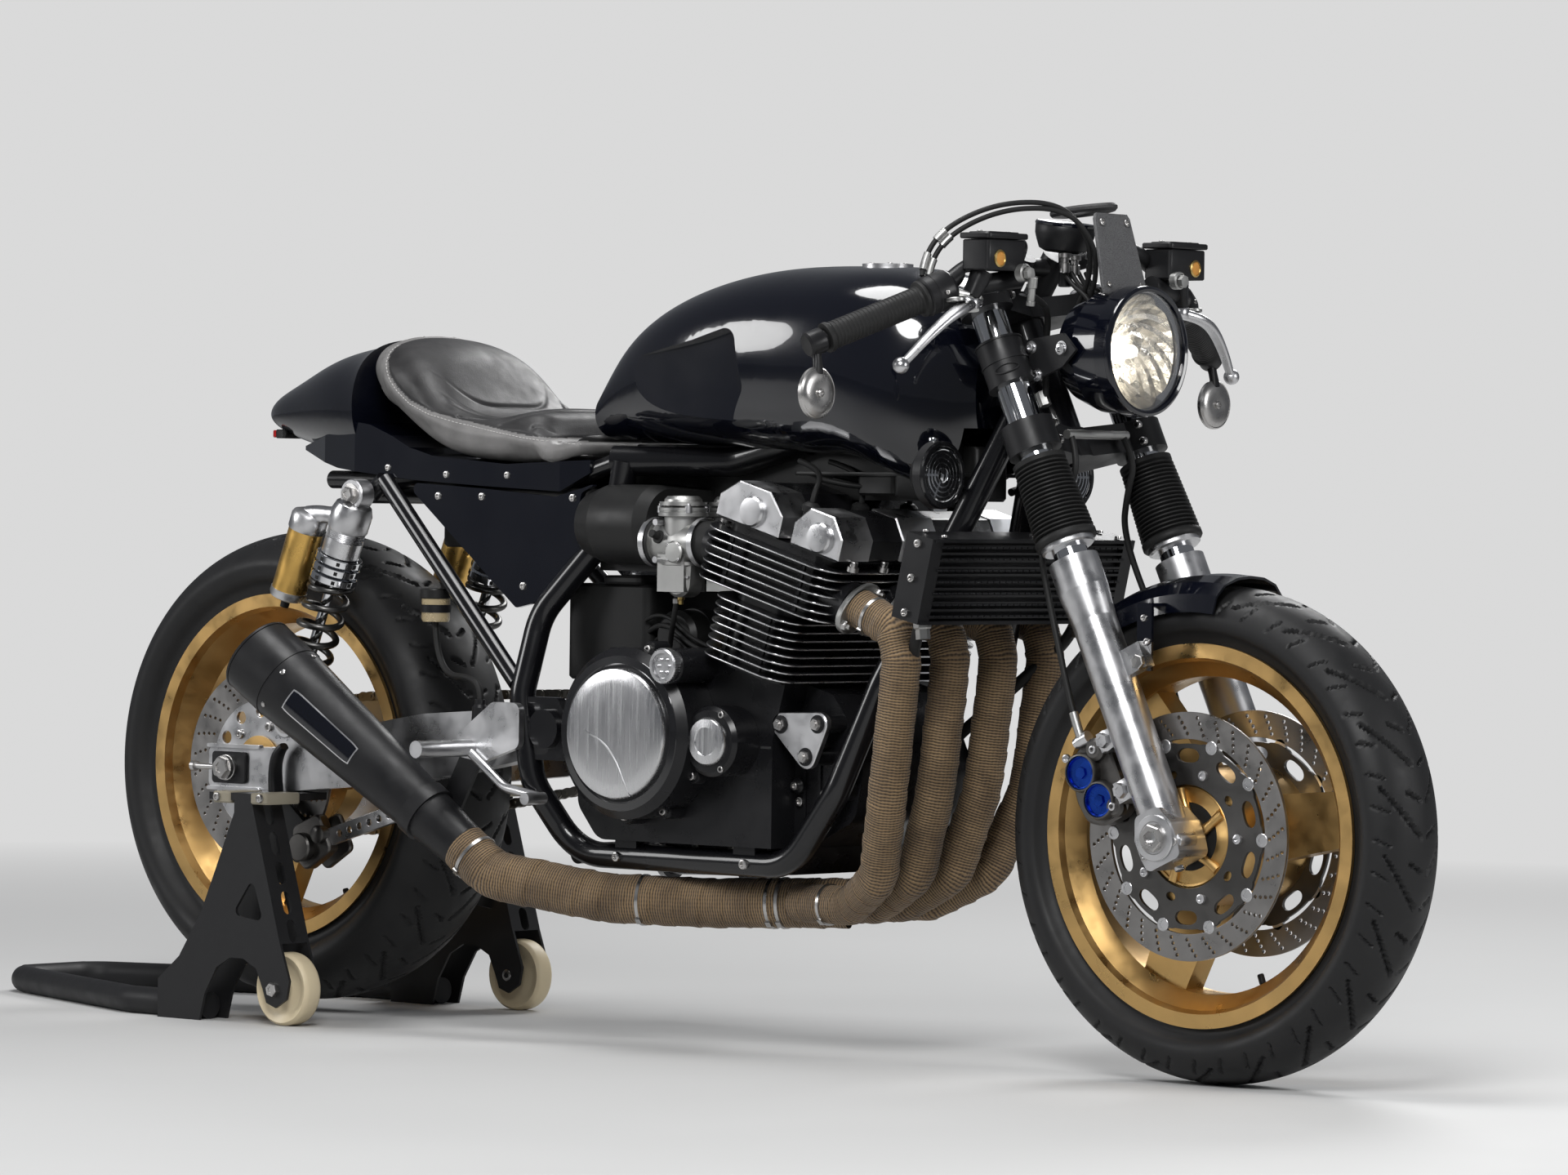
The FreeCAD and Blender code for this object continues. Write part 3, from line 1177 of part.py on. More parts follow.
# Frame
RAIL_R = 16.5
RAIL_Y = 132.0
RAIL_Z = 241.0
RAIL_FRONT_X = 968.0
RAIL_REAR_X = 607.0
RAIL_BEND_R = 70.0
CRADLE_EASY_R = 80.0
CRADLE_TIGHT_R = 30.0
DOWN_TUBE_FOOT = V(1040, 130, 335)
DOWN_TUBE_KNEE = V(1094, 112, 470)
UPRIGHT_LOW = V(558, 165, 330)
UPRIGHT_MID = V(536, 165, 440)
UPRIGHT_KNEE = V(545, 140, 545)
UPRIGHT_TOP = V(640, 105, 662)
BACKBONE_R = 19.0
BACKBONE_Y = 45.0
BACKBONE_REAR_X = 655.0
BACKBONE_Z = 742.0
TANK_TUBE_GAP = 3.0
TANK_PAD_SHARES = [0.2, 0.6]
TANK_PAD_LENGTH_SHARE = 0.06
PIVOT_PLATE_T = 14.0
PIVOT_PLATE_R = 40.0
PIVOT_CAP_R = 25.0
PIVOT_CAP_T = 10.0
HEAD_GUSSET_Y = 26.0
SIDE_STAND_X = 655.0
SIDE_STAND_Y = 176.0
SIDE_STAND_Z = 214.0
SIDE_STAND_LENGTH = 180.0
SIDE_STAND_R = 10.0
SIDE_STAND_EYE_HALF_T = 12.5
MOUNT_XS = [700.0, 900.0]
MOUNT_HALF_L = 18.0
MOUNT_HALF_W = 12.0
FRONT_MOUNT = V(1040, 0, 338)
FRONT_MOUNT_R = 14.0


def head_point(share, back=0.0, y=0.0):
    """A place on the steering axis between the bottom and top of the head tube."""
    s = HEAD_BOTTOM_S + (HEAD_TOP_S - HEAD_BOTTOM_S) * share
    return from_fork(STEERING_X - back, y, s)


def cradle_route():
    head_low = head_point(0.35, HEAD_TUBE_R * 0.8, HEAD_GUSSET_Y * 0.85)
    return [
        V(BACKBONE_REAR_X, UPRIGHT_TOP.y, BACKBONE_Z), UPRIGHT_TOP, UPRIGHT_KNEE, UPRIGHT_MID,
        UPRIGHT_LOW, V(RAIL_REAR_X, RAIL_Y, RAIL_Z), V(RAIL_FRONT_X, RAIL_Y, RAIL_Z),
        DOWN_TUBE_FOOT, DOWN_TUBE_KNEE, head_low,
    ]


def backbone_route():
    return [
        V(BACKBONE_REAR_X - BACKBONE_R, UPRIGHT_TOP.y, BACKBONE_Z),
        V(BACKBONE_REAR_X + BACKBONE_Y * 3, BACKBONE_Y, BACKBONE_Z),
        head_point(0.66, HEAD_TUBE_R * 0.4, HEAD_GUSSET_Y * 0.6),
    ]


def tank_pads():
    """Collars on the backbone tubes that the tank's tunnel rests on."""
    knee, head = backbone_route()[1:]
    run = head.sub(knee)
    pads = []
    for share in TANK_PAD_SHARES:
        start = knee.add(V(run).multiply(share))
        end = knee.add(V(run).multiply(share + TANK_PAD_LENGTH_SHARE))
        pads.append(rod(start, end, BACKBONE_R + TANK_TUBE_GAP - SEAT_GAP))
    return pads + [mirrored(pad) for pad in pads]


def cradle_tubes(gap):
    """The left loop, the left backbone and the cross tubes, made thicker by a gap."""
    bends = [CRADLE_TIGHT_R, CRADLE_EASY_R, CRADLE_EASY_R, CRADLE_EASY_R, CRADLE_EASY_R,
             RAIL_BEND_R, RAIL_BEND_R, CRADLE_EASY_R, CRADLE_EASY_R, CRADLE_TIGHT_R]
    loop = bar(cradle_route(), RAIL_R + gap, bends)
    backbone = bar(backbone_route(), BACKBONE_R + gap, RAIL_BEND_R)
    crosses = [
        rod(V(RAIL_REAR_X, -RAIL_Y, RAIL_Z), V(RAIL_REAR_X, RAIL_Y, RAIL_Z), RAIL_R * 0.8 + gap),
        rod(V(BACKBONE_REAR_X, -UPRIGHT_TOP.y, BACKBONE_Z),
            V(BACKBONE_REAR_X, UPRIGHT_TOP.y, BACKBONE_Z), RAIL_R + gap),
    ]
    return [loop, backbone], crosses


def frame_cradle():
    """Head tube, twin backbone, down tubes, rails and the pivot plates."""
    head = placed_on_fork(rod(V(STEERING_X, 0, HEAD_BOTTOM_S), V(STEERING_X, 0, HEAD_TOP_S),
                              HEAD_TUBE_R))
    left_tubes, crosses = cradle_tubes(0)
    plate_points = [
        (PIVOT_X + PIVOT_PLATE_R, PIVOT_Z - PIVOT_PLATE_R), (PIVOT_X + PIVOT_PLATE_R, PIVOT_Z),
        (PIVOT_X + PIVOT_PLATE_R * 0.4, PIVOT_Z + PIVOT_PLATE_R),
        (UPRIGHT_MID.x, PIVOT_Z + PIVOT_PLATE_R), (UPRIGHT_LOW.x, PIVOT_Z - PIVOT_PLATE_R),
    ]
    plate_y = UPRIGHT_MID.y - PIVOT_PLATE_T / 2
    pivot_plate = plate(plate_points, -plate_y - PIVOT_PLATE_T, -plate_y, PIVOT_PLATE_R / 4)
    cap = disc(PIVOT, PIVOT_CAP_R, -plate_y - PIVOT_PLATE_T - PIVOT_CAP_T, -plate_y)
    right = fused([mirrored(tube) for tube in left_tubes] + [pivot_plate, cap])
    spindle = disc(PIVOT, SHOCK_PIN_R, -plate_y - OVERRUN, plate_y + OVERRUN)
    whole = fused([head, right, mirrored(right), spindle] + crosses + engine_mounts()
                  + side_stand_lug() + tank_pads())
    bore = placed_on_fork(rod(V(STEERING_X, 0, HEAD_BOTTOM_S - OVERRUN),
                              V(STEERING_X, 0, HEAD_TOP_S + OVERRUN), STEM_R + RUNNING_FIT))
    return whole.cut(bore)


def engine_mounts():
    """Saddles on both lower rails and bosses on the down tubes."""
    mounts = []
    for x in MOUNT_XS:
        mounts.append(block(x - MOUNT_HALF_L, x + MOUNT_HALF_L, -RAIL_Y - MOUNT_HALF_W,
                            -RAIL_Y + MOUNT_HALF_W, RAIL_Z, CASE_LOW_Z - SEAT_GAP))
    mounts.append(disc(FRONT_MOUNT, FRONT_MOUNT_R, -DOWN_TUBE_FOOT.y, -CASE_FRONT_HALF_W - SEAT_GAP))
    return mounts + [mirrored(mount) for mount in mounts]


def side_stand_lug():
    """The lug under the left rail and the pivot bolt through it."""
    pivot = V(SIDE_STAND_X, 0, SIDE_STAND_Z)
    eye_r = SIDE_STAND_R * 1.7
    inner_y = RAIL_Y + RAIL_R / 3
    outer_y = SIDE_STAND_Y - SIDE_STAND_EYE_HALF_T - SEAT_GAP
    lug = plate([
        (pivot.x - eye_r, pivot.z), (pivot.x - eye_r * 0.6, pivot.z - eye_r),
        (pivot.x + eye_r * 0.6, pivot.z - eye_r), (pivot.x + eye_r, pivot.z),
        (pivot.x + eye_r * 1.4, RAIL_Z + RAIL_R / 2), (pivot.x - eye_r * 1.4, RAIL_Z + RAIL_R / 2),
    ], inner_y, outer_y)
    end_y = SIDE_STAND_Y + SIDE_STAND_EYE_HALF_T + SEAT_GAP
    bolt = disc(pivot, SHOCK_PIN_R, inner_y, end_y + OVERRUN)
    head = disc(pivot, SHOCK_PIN_R * 1.6, end_y, end_y + OVERRUN)
    return [fused([lug, bolt, head])]


SEAT_RAIL_R = 12.0
SEAT_RAIL_Y = 96.0
SEAT_RAIL_Z = 714.0
SEAT_RAIL_REAR_X = 95.0
DIAGONAL_R = 11.5
SHOCK_STUD_Y = 136.0


def subframe_solids(gap):
    """The left half of the rear frame, made thicker by a gap."""
    front = V(BACKBONE_REAR_X - RAIL_R, SEAT_RAIL_Y, BACKBONE_Z)
    rail = bar([front, V(front.x - SEAT_RAIL_Y, SEAT_RAIL_Y, SEAT_RAIL_Z),
                V(SEAT_RAIL_REAR_X, SEAT_RAIL_Y * 0.7, SEAT_RAIL_Z)], SEAT_RAIL_R + gap,
               RAIL_BEND_R)
    loop_x = SEAT_RAIL_REAR_X + SEAT_RAIL_R
    loop = rod(V(loop_x, 0, SEAT_RAIL_Z), V(loop_x, SEAT_RAIL_Y * 0.7, SEAT_RAIL_Z),
               SEAT_RAIL_R + gap)
    top = V(SHOCK_UPPER.x + 2 * SEAT_RAIL_R, SHOCK_STUD_Y - SEAT_RAIL_R, SEAT_RAIL_Z)
    foot = V(UPRIGHT_MID.x - RAIL_R / 2, UPRIGHT_MID.y, UPRIGHT_MID.z + RAIL_R)
    diagonal = rod(top, foot, DIAGONAL_R + gap)
    stud_x = SHOCK_UPPER.x
    stud_z = SHOCK_UPPER.z
    cross = rod(V(stud_x, 0, stud_z), V(stud_x, SHOCK_STUD_Y, stud_z), SEAT_RAIL_R + gap)
    tie = rod(top, V(stud_x, SHOCK_STUD_Y - SEAT_RAIL_R, stud_z), SEAT_RAIL_R + gap)
    stud = rod(V(stud_x, SHOCK_STUD_Y - OVERRUN, stud_z),
               V(stud_x, SHOCK_Y + SHOCK_EYE_T, stud_z), SHOCK_PIN_R)
    return [rail, loop, diagonal, cross, tie, stud]


def frame_subframe():
    """Seat rails, rear loop, diagonals and the studs that carry the shocks."""
    left = fused(subframe_solids(0))
    whole = fused([left, mirrored(left)])
    return whole.cut(cut_rooms_for_tubes(0))


def rails_room(gap):
    left = subframe_solids(gap)
    return Part.makeCompound(left + [mirrored(piece) for piece in left])


# Engine
CASE_HALF_W = 150.0
CASE_LENGTH = 440.0
CASE_REAR_X = 622.0
CASE_FRONT_HALF_W = 106.0
CASE_SHOULDER_X = 950.0
CASE_LOW_Z = 262.0
CASE_HEIGHT = 238.0
CLUTCH_X = 750.0
CLUTCH_Z = 400.0
CLUTCH_R = 108.0
CLUTCH_OUT_Y = 214.0
CLUTCH_FACE_R = 82.0
CLUTCH_FACE_Y = 225.0
FILLER_X = 836.0
FILLER_Z = 487.0
FILLER_R = 22.0
SUMP_HALF_W = 108.0
SUMP_DEPTH = 34.0
BLOCK_HALF_W = 192.0
BLOCK_FOOT_S = 92.0
BLOCK_REAR = -60.0
BLOCK_FRONT = 84.0
FIN_T = 2.6
FIN_PITCH = 10.6
FIN_CORNER_R = 34.0
FIN_DEPTH = 22.0
BLOCK_FINS = 8
HEAD_FOOT_S = BLOCK_FOOT_S + 8.0 + FIN_PITCH * BLOCK_FINS
HEAD_REAR = -96.0
HEAD_FRONT = 126.0
HEAD_FINS = 7
CAM_FOOT_S = HEAD_FOOT_S + FIN_PITCH * HEAD_FINS + 8.0
CAM_HEIGHT = 52.0


def case_outline():
    shares = [
        (0.0, 0.18), (0.08, 0.0), (0.80, 0.0), (0.97, 0.16), (1.0, 0.42), (0.93, 0.70),
        (0.86, 0.86), (0.60, 1.0), (0.20, 0.98), (0.04, 0.76), (0.0, 0.55),
    ]
    return spread(shares, CASE_REAR_X, CASE_LENGTH, CASE_LOW_Z, CASE_HEIGHT)


def above_case():
    """The room above the slanted joint that carries the cylinders."""
    return placed_on_crank(block(BLOCK_REAR * 3, BLOCK_FRONT * 3, -CASE_HALF_W * 2,
                                 CASE_HALF_W * 2, BLOCK_FOOT_S, BLOCK_FOOT_S * 4))


def crankcase():
    body = plate(case_outline(), -CASE_HALF_W, CASE_HALF_W, CASE_HEIGHT * 0.12)
    for low_y, high_y in ((-CASE_HALF_W * 2, -CASE_FRONT_HALF_W), (CASE_FRONT_HALF_W, CASE_HALF_W * 2)):
        body = body.cut(block(CASE_SHOULDER_X, FAR, low_y, high_y, 0, FAR))
    neck = placed_on_crank(block(BLOCK_REAR + FIN_DEPTH, BLOCK_FRONT - FIN_DEPTH,
                                 -CASE_HALF_W, CASE_HALF_W, 0, BLOCK_FOOT_S))
    sump = plate([
        (CASE_REAR_X + CASE_LENGTH * 0.25, CASE_LOW_Z + OVERRUN),
        (CASE_REAR_X + CASE_LENGTH * 0.28, CASE_LOW_Z - SUMP_DEPTH),
        (CASE_REAR_X + CASE_LENGTH * 0.74, CASE_LOW_Z - SUMP_DEPTH),
        (CASE_REAR_X + CASE_LENGTH * 0.80, CASE_LOW_Z + OVERRUN),
    ], -SUMP_HALF_W, SUMP_HALF_W)
    whole = fused([body, neck, sump])
    room = disc(OUTPUT_SHAFT, pitch_radius(FRONT_SPROCKET_TEETH) + LINK_HALF_H * 2,
                CHAIN_LINE_Y - CHAIN_HALF_W - MOVING_GAP, CASE_HALF_W * 2)
    back = block(0, OUTPUT_SHAFT_X, CHAIN_LINE_Y - CHAIN_HALF_W - MOVING_GAP, CASE_HALF_W * 2,
                 OUTPUT_SHAFT_Z - pitch_radius(FRONT_SPROCKET_TEETH) - LINK_HALF_H * 4,
                 OUTPUT_SHAFT_Z + pitch_radius(FRONT_SPROCKET_TEETH) + LINK_HALF_H * 2)
    whole = whole.cut(room).cut(back)
    return whole.cut(above_case())


def clutch_cover():
    centre = V(CLUTCH_X, 0, CLUTCH_Z)
    profile = [
        (0, CASE_HALF_W + SEAT_GAP), (CLUTCH_R, CASE_HALF_W + SEAT_GAP),
        (CLUTCH_R, CLUTCH_OUT_Y - 2 * OVERRUN), (CLUTCH_R - OVERRUN * 2, CLUTCH_OUT_Y),
        (0, CLUTCH_OUT_Y),
    ]
    cover = turned([(radius, -along) for radius, along in profile], centre)
    filler = disc(V(FILLER_X, 0, FILLER_Z), FILLER_R, -CLUTCH_OUT_Y, -CASE_HALF_W - SEAT_GAP)
    return fused([cover, filler])


def clutch_face():
    centre = V(CLUTCH_X, 0, CLUTCH_Z)
    start = CLUTCH_OUT_Y + SEAT_GAP
    profile = [
        (0, start), (CLUTCH_FACE_R, start), (CLUTCH_FACE_R * 0.96, CLUTCH_FACE_Y),
        (0, CLUTCH_FACE_Y),
    ]
    face = turned([(radius, -along) for radius, along in profile], centre)
    cap = disc(V(FILLER_X, 0, FILLER_Z), FILLER_R * 0.9, -CLUTCH_OUT_Y - FILLER_R,
               -CLUTCH_OUT_Y - SEAT_GAP)
    return Part.makeCompound([face, cap.cut(face)])


IGNITION_R = 44.0
IGNITION_OUT_Y = 196.0
STATOR_R = 78.0
STATOR_OUT_Y = 205.0
SPROCKET_COVER_OUT_Y = 176.0


def engine_side_covers():
    """Ignition cover on the right, generator and sprocket covers on the left."""
    ignition = turned([
        (0, -CASE_HALF_W - SEAT_GAP), (IGNITION_R, -CASE_HALF_W - SEAT_GAP),
        (IGNITION_R, -IGNITION_OUT_Y + OVERRUN), (IGNITION_R - OVERRUN, -IGNITION_OUT_Y),
        (0, -IGNITION_OUT_Y),
    ], CRANK)
    clutch = V(CLUTCH_X, 0, CLUTCH_Z)
    ignition = ignition.cut(disc(clutch, CLUTCH_R + SEAT_GAP, -CLUTCH_OUT_Y, 0))
    stator = turned([
        (0, CASE_HALF_W + SEAT_GAP), (STATOR_R, CASE_HALF_W + SEAT_GAP),
        (STATOR_R, STATOR_OUT_Y - 3 * OVERRUN), (STATOR_R - 3 * OVERRUN, STATOR_OUT_Y),
        (0, STATOR_OUT_Y),
    ], CRANK)
    cover_points = [
        (CASE_REAR_X + 4 * OVERRUN, OUTPUT_SHAFT_Z - STATOR_R),
        (CRANK_X - STATOR_R - 2 * OVERRUN, OUTPUT_SHAFT_Z - STATOR_R),
        (CRANK_X - STATOR_R - 2 * OVERRUN, OUTPUT_SHAFT_Z + STATOR_R),
        (CASE_REAR_X + 4 * OVERRUN, OUTPUT_SHAFT_Z + STATOR_R * 0.8),
    ]
    sprocket_cover = plate(cover_points, CASE_HALF_W + SEAT_GAP, SPROCKET_COVER_OUT_Y,
                           IGNITION_R / 2)
    return Part.makeCompound([ignition, stator, sprocket_cover])


def front_sprocket():
    shaft = disc(OUTPUT_SHAFT, REAR_SPACER_R, CHAIN_LINE_Y - CHAIN_HALF_W - MOVING_GAP + SEAT_GAP,
                 CHAIN_LINE_Y + CHAIN_HALF_W)
    return fused([sprocket(FRONT_SPROCKET_TEETH, OUTPUT_SHAFT, REAR_SPACER_R), shaft])


def fin(rear, front, half_w, s, thickness, corner_r):
    corners = [V(rear, -half_w, s), V(front, -half_w, s), V(front, half_w, s), V(rear, half_w, s)]
    face = Part.Face(outline(corners, corner_r))
    return face.extrude(V(0, 0, thickness))


def cylinder_block():
    """Core with cooling fins square to the cylinders."""
    core = fin(BLOCK_REAR + FIN_DEPTH, BLOCK_FRONT - FIN_DEPTH, BLOCK_HALF_W - FIN_DEPTH,
               BLOCK_FOOT_S + SEAT_GAP, HEAD_FOOT_S - BLOCK_FOOT_S - 2 * SEAT_GAP, FIN_DEPTH)
    pieces = [core]
    for step in range(BLOCK_FINS):
        s = BLOCK_FOOT_S + FIN_PITCH * (step + 0.8)
        pieces.append(fin(BLOCK_REAR, BLOCK_FRONT, BLOCK_HALF_W, s, FIN_T, FIN_CORNER_R))
    return placed_on_crank(fused(pieces))


PORT_S = 215.0
PORT_FLANGE_R = 36.0
HEADER_R = 24.0


def cylinder_head():
    core = fin(HEAD_REAR + FIN_DEPTH, HEAD_FRONT - FIN_DEPTH, BLOCK_HALF_W - FIN_DEPTH,
               HEAD_FOOT_S, CAM_FOOT_S - HEAD_FOOT_S - SEAT_GAP, FIN_DEPTH)
    pieces = [core]
    for step in range(HEAD_FINS):
        s = HEAD_FOOT_S + FIN_PITCH * (step + 0.5)
        pieces.append(fin(HEAD_REAR, HEAD_FRONT, BLOCK_HALF_W, s, FIN_T, FIN_CORNER_R))
    for y in cylinder_lines():
        front = V(HEAD_FRONT + 2 * OVERRUN, y, PORT_S)
        pieces.append(rod(V(0, y, PORT_S), front, PORT_FLANGE_R * 0.8))
        rear = V(HEAD_REAR - 2 * OVERRUN, y, PORT_S + FIN_PITCH)
        pieces.append(rod(V(0, y, PORT_S + FIN_PITCH), rear, PORT_FLANGE_R * 0.8))
    return placed_on_crank(fused(pieces))


def cylinder_lines():
    first = -CYLINDER_PITCH * (CYLINDERS - 1) / 2
    return [first + CYLINDER_PITCH * step for step in range(CYLINDERS)]


CAM_REAR = (-84.0, 20.0)
CAM_FRONT = (44.0, 122.0)
CAM_HALF_W = 176.0


def cam_covers():
    """Twin covers with rounded tops over the two camshafts."""
    covers = []
    for rear, front in (CAM_REAR, CAM_FRONT):
        foot = CAM_FOOT_S
        width = front - rear
        points = [
            (rear, foot), (front, foot), (front, foot + CAM_HEIGHT * 0.55),
            (front - width * 0.25, foot + CAM_HEIGHT), (rear + width * 0.25, foot + CAM_HEIGHT),
            (rear, foot + CAM_HEIGHT * 0.55),
        ]
        corners = plate(points, -CAM_HALF_W, CAM_HALF_W, OVERRUN)
        covers.append(placed_on_crank(corners))
    return Part.makeCompound(covers)


CARB_REAR_X = 752.0
CARB_FRONT_X = 822.0
CARB_Z = 640.0
CARB_R = 25.0
CARB_BOWL_H = 62.0
CARB_TOP_H = 46.0
CARB_BODY_HALF_W = 30.0


def carburettors():
    """Four carburettors on one rail, each with a dome above and a bowl below."""
    carbs = []
    for y in cylinder_lines():
        intake = V(CARB_REAR_X, y, CARB_Z)
        outlet = V(CARB_FRONT_X, y, CARB_Z)
        barrel = rod(intake, outlet, CARB_R)
        mid = (CARB_REAR_X + CARB_FRONT_X) / 2
        dome = rod(V(mid, y, CARB_Z), V(mid, y, CARB_Z + CARB_TOP_H), CARB_R * 0.95)
        lid = rod(V(mid, y, CARB_Z + CARB_TOP_H), V(mid, y, CARB_Z + CARB_TOP_H + OVERRUN),
                  CARB_BODY_HALF_W)
        bowl = block(mid - CARB_R, mid + CARB_R * 0.8, y - CARB_R * 0.8, y + CARB_R * 0.8,
                     CARB_Z - CARB_BOWL_H, CARB_Z)
        carbs += [barrel, dome, lid, bowl]
    rail = block(CARB_REAR_X + OVERRUN, CARB_REAR_X + 2 * OVERRUN, cylinder_lines()[0],
                 cylinder_lines()[-1], CARB_Z - CARB_R * 0.5, CARB_Z + CARB_R * 0.5)
    return fused(carbs + [rail])


def intake_manifolds():
    """Rubber stubs from the carburettors to the head and to the airbox."""
    stubs = []
    for y in cylinder_lines():
        ahead = from_crank(HEAD_REAR - 2 * OVERRUN, y, PORT_S + FIN_PITCH)
        behind = V(CARB_FRONT_X + SEAT_GAP, y, CARB_Z)
        stubs.append(rod(behind, V(ahead.x + OVERRUN, y, ahead.z), CARB_R * 1.1))
        stubs.append(rod(V(AIRBOX_FRONT_X + SEAT_GAP, y, CARB_Z),
                         V(CARB_REAR_X - SEAT_GAP, y, CARB_Z), CARB_R * 1.2))
    port_room = cylinder_head()
    return Part.makeCompound([stub.cut(port_room) for stub in stubs])


AIRBOX_REAR_X = 596.0
AIRBOX_FRONT_X = 740.0
AIRBOX_HALF_W = 104.0
AIRBOX_LOW_Z = 602.0
AIRBOX_HIGH_Z = 712.0
AIRBOX_POD_Y = 112.0
AIRBOX_POD_Z = 661.0
AIRBOX_POD_R = 51.0
AIRBOX_POD_SHARES = [
    (0.0, 0.0), (0.50, 0.02), (0.80, 0.11), (1.0, 0.32), (1.0, 0.86), (0.90, 1.0), (0.0, 1.0),
]


def airbox():
    """A low box behind the carburettors with a bullet-shaped pod at each end."""
    shares = [
        (0.12, 0.0), (1.0, 0.0), (1.0, 0.94), (0.6, 1.0), (0.12, 0.86),
    ]
    length = AIRBOX_FRONT_X - AIRBOX_REAR_X
    points = spread(shares, AIRBOX_REAR_X, length, AIRBOX_LOW_Z, AIRBOX_HIGH_Z - AIRBOX_LOW_Z)
    body = plate(points, -AIRBOX_HALF_W, AIRBOX_HALF_W)
    profile = [(AIRBOX_POD_R * out, length * along) for out, along in AIRBOX_POD_SHARES]
    pod = turned(profile, V(AIRBOX_REAR_X, -AIRBOX_POD_Y, AIRBOX_POD_Z), ALONG_X)
    whole = fused([body, pod, mirrored(pod)])
    return whole.cut(cut_rooms_for_tubes(SEAT_GAP))


def cut_rooms_for_tubes(gap):
    """Room for the frame's tubes in what is fitted round them."""
    left_tubes, crosses = cradle_tubes(gap)
    return Part.makeCompound(left_tubes + [mirrored(tube) for tube in left_tubes] + crosses)


# Tank, seat and tail
TANK_REAR_X = 604.0
TANK_LENGTH = 590.0
TANK_BASE_Z = 712.0
TANK_HEIGHT = 276.0
TANK_HALF_W = 152.0
TANK_TUNNEL_HALF_W = 66.0
TANK_TUNNEL_H = 74.0
KNEE_DEPTH = 20.0
TANK_STATION_SHARES = [
    (0.00, 0.70, 0.19, 0.46, 0.75),
    (0.10, 0.80, 0.18, 0.74, 0.75),
    (0.24, 0.93, 0.17, 0.89, 0.72),
    (0.42, 0.99, 0.16, 0.98, 0.70),
    (0.60, 1.00, 0.14, 1.00, 0.68),
    (0.76, 0.96, 0.08, 0.99, 0.66),
    (0.88, 0.80, 0.00, 0.93, 0.66),
    (0.96, 0.54, 0.06, 0.80, 0.70),
    (1.00, 0.38, 0.14, 0.68, 0.75),
]
KNEE_SHARES = [
    (0.02, 0.19), (0.15, 0.58), (0.34, 0.66), (0.46, 0.73), (0.49, 0.44), (0.40, 0.19),
]


def fuel_tank():
    """Long tank lofted through cross sections, with knee hollows and a tunnel below."""
    sections = []
    for along, width, low, high, squareness in TANK_STATION_SHARES:
        sections.append(oval_section(
            TANK_REAR_X + TANK_LENGTH * along, TANK_HALF_W * width,
            TANK_BASE_Z + TANK_HEIGHT * low, TANK_BASE_Z + TANK_HEIGHT * high, squareness))
    body = Part.makeLoft(sections, True)
    knee = spread(KNEE_SHARES, TANK_REAR_X, TANK_LENGTH, TANK_BASE_Z, TANK_HEIGHT)
    hollow = plate(knee, -TANK_HALF_W * 1.5, -TANK_HALF_W + KNEE_DEPTH, KNEE_DEPTH)
    body = body.cut(pair(hollow))
    tunnel = block(0, FAR, -TANK_TUNNEL_HALF_W, TANK_TUNNEL_HALF_W,
                   0, TANK_BASE_Z + TANK_TUNNEL_H)
    body = body.cut(tunnel)
    body = body.cut(cut_rooms_for_tubes(TANK_TUBE_GAP)).cut(head_room())
    return body.cut(fuel_cap_room(SEAT_GAP))


def head_room():
    """Room round the head tube, and dents where the fork legs come at full lock."""
    low = V(STEERING_X, 0, LOWER_YOKE_S)
    high = V(STEERING_X, 0, UPPER_YOKE_S + UPPER_YOKE_T + STEM_NUT_T)
    rooms = [rod(low, high, YOKE_STEM_BOSS_R + MOVING_GAP)]
    legs = [rod(V(0, y, LOWER_YOKE_S), V(0, y, UPPER_YOKE_S + UPPER_YOKE_T + STEM_NUT_T),
                YOKE_BOSS_R + MOVING_GAP) for y in (-FORK_Y, FORK_Y)]
    legs.append(yoke_web(UPPER_YOKE_S, UPPER_YOKE_T, MOVING_GAP))
    turns = [STEERING_LOCK_DEG * share for share in (-1.0, -0.5, 0.0, 0.5, 1.0)]
    for leg in legs:
        for turn in turns:
            turned_leg = leg.copy()
            turned_leg.rotate(V(STEERING_X, 0, 0), ALONG_Z, turn)
            rooms.append(turned_leg)
    return placed_on_fork(Part.makeCompound(rooms))


FUEL_CAP_R = 32.0
FUEL_CAP_T = 7.0
FUEL_CAP_X = 1000.0


def fuel_cap_room(gap):
    top = TANK_BASE_Z + TANK_HEIGHT
    low = V(FUEL_CAP_X, 0, top - 2 * FUEL_CAP_T - gap)
    return rod(low, V(FUEL_CAP_X, 0, top + FUEL_CAP_T / 2), FUEL_CAP_R + gap)


def fuel_cap():
    return fuel_cap_room(0)


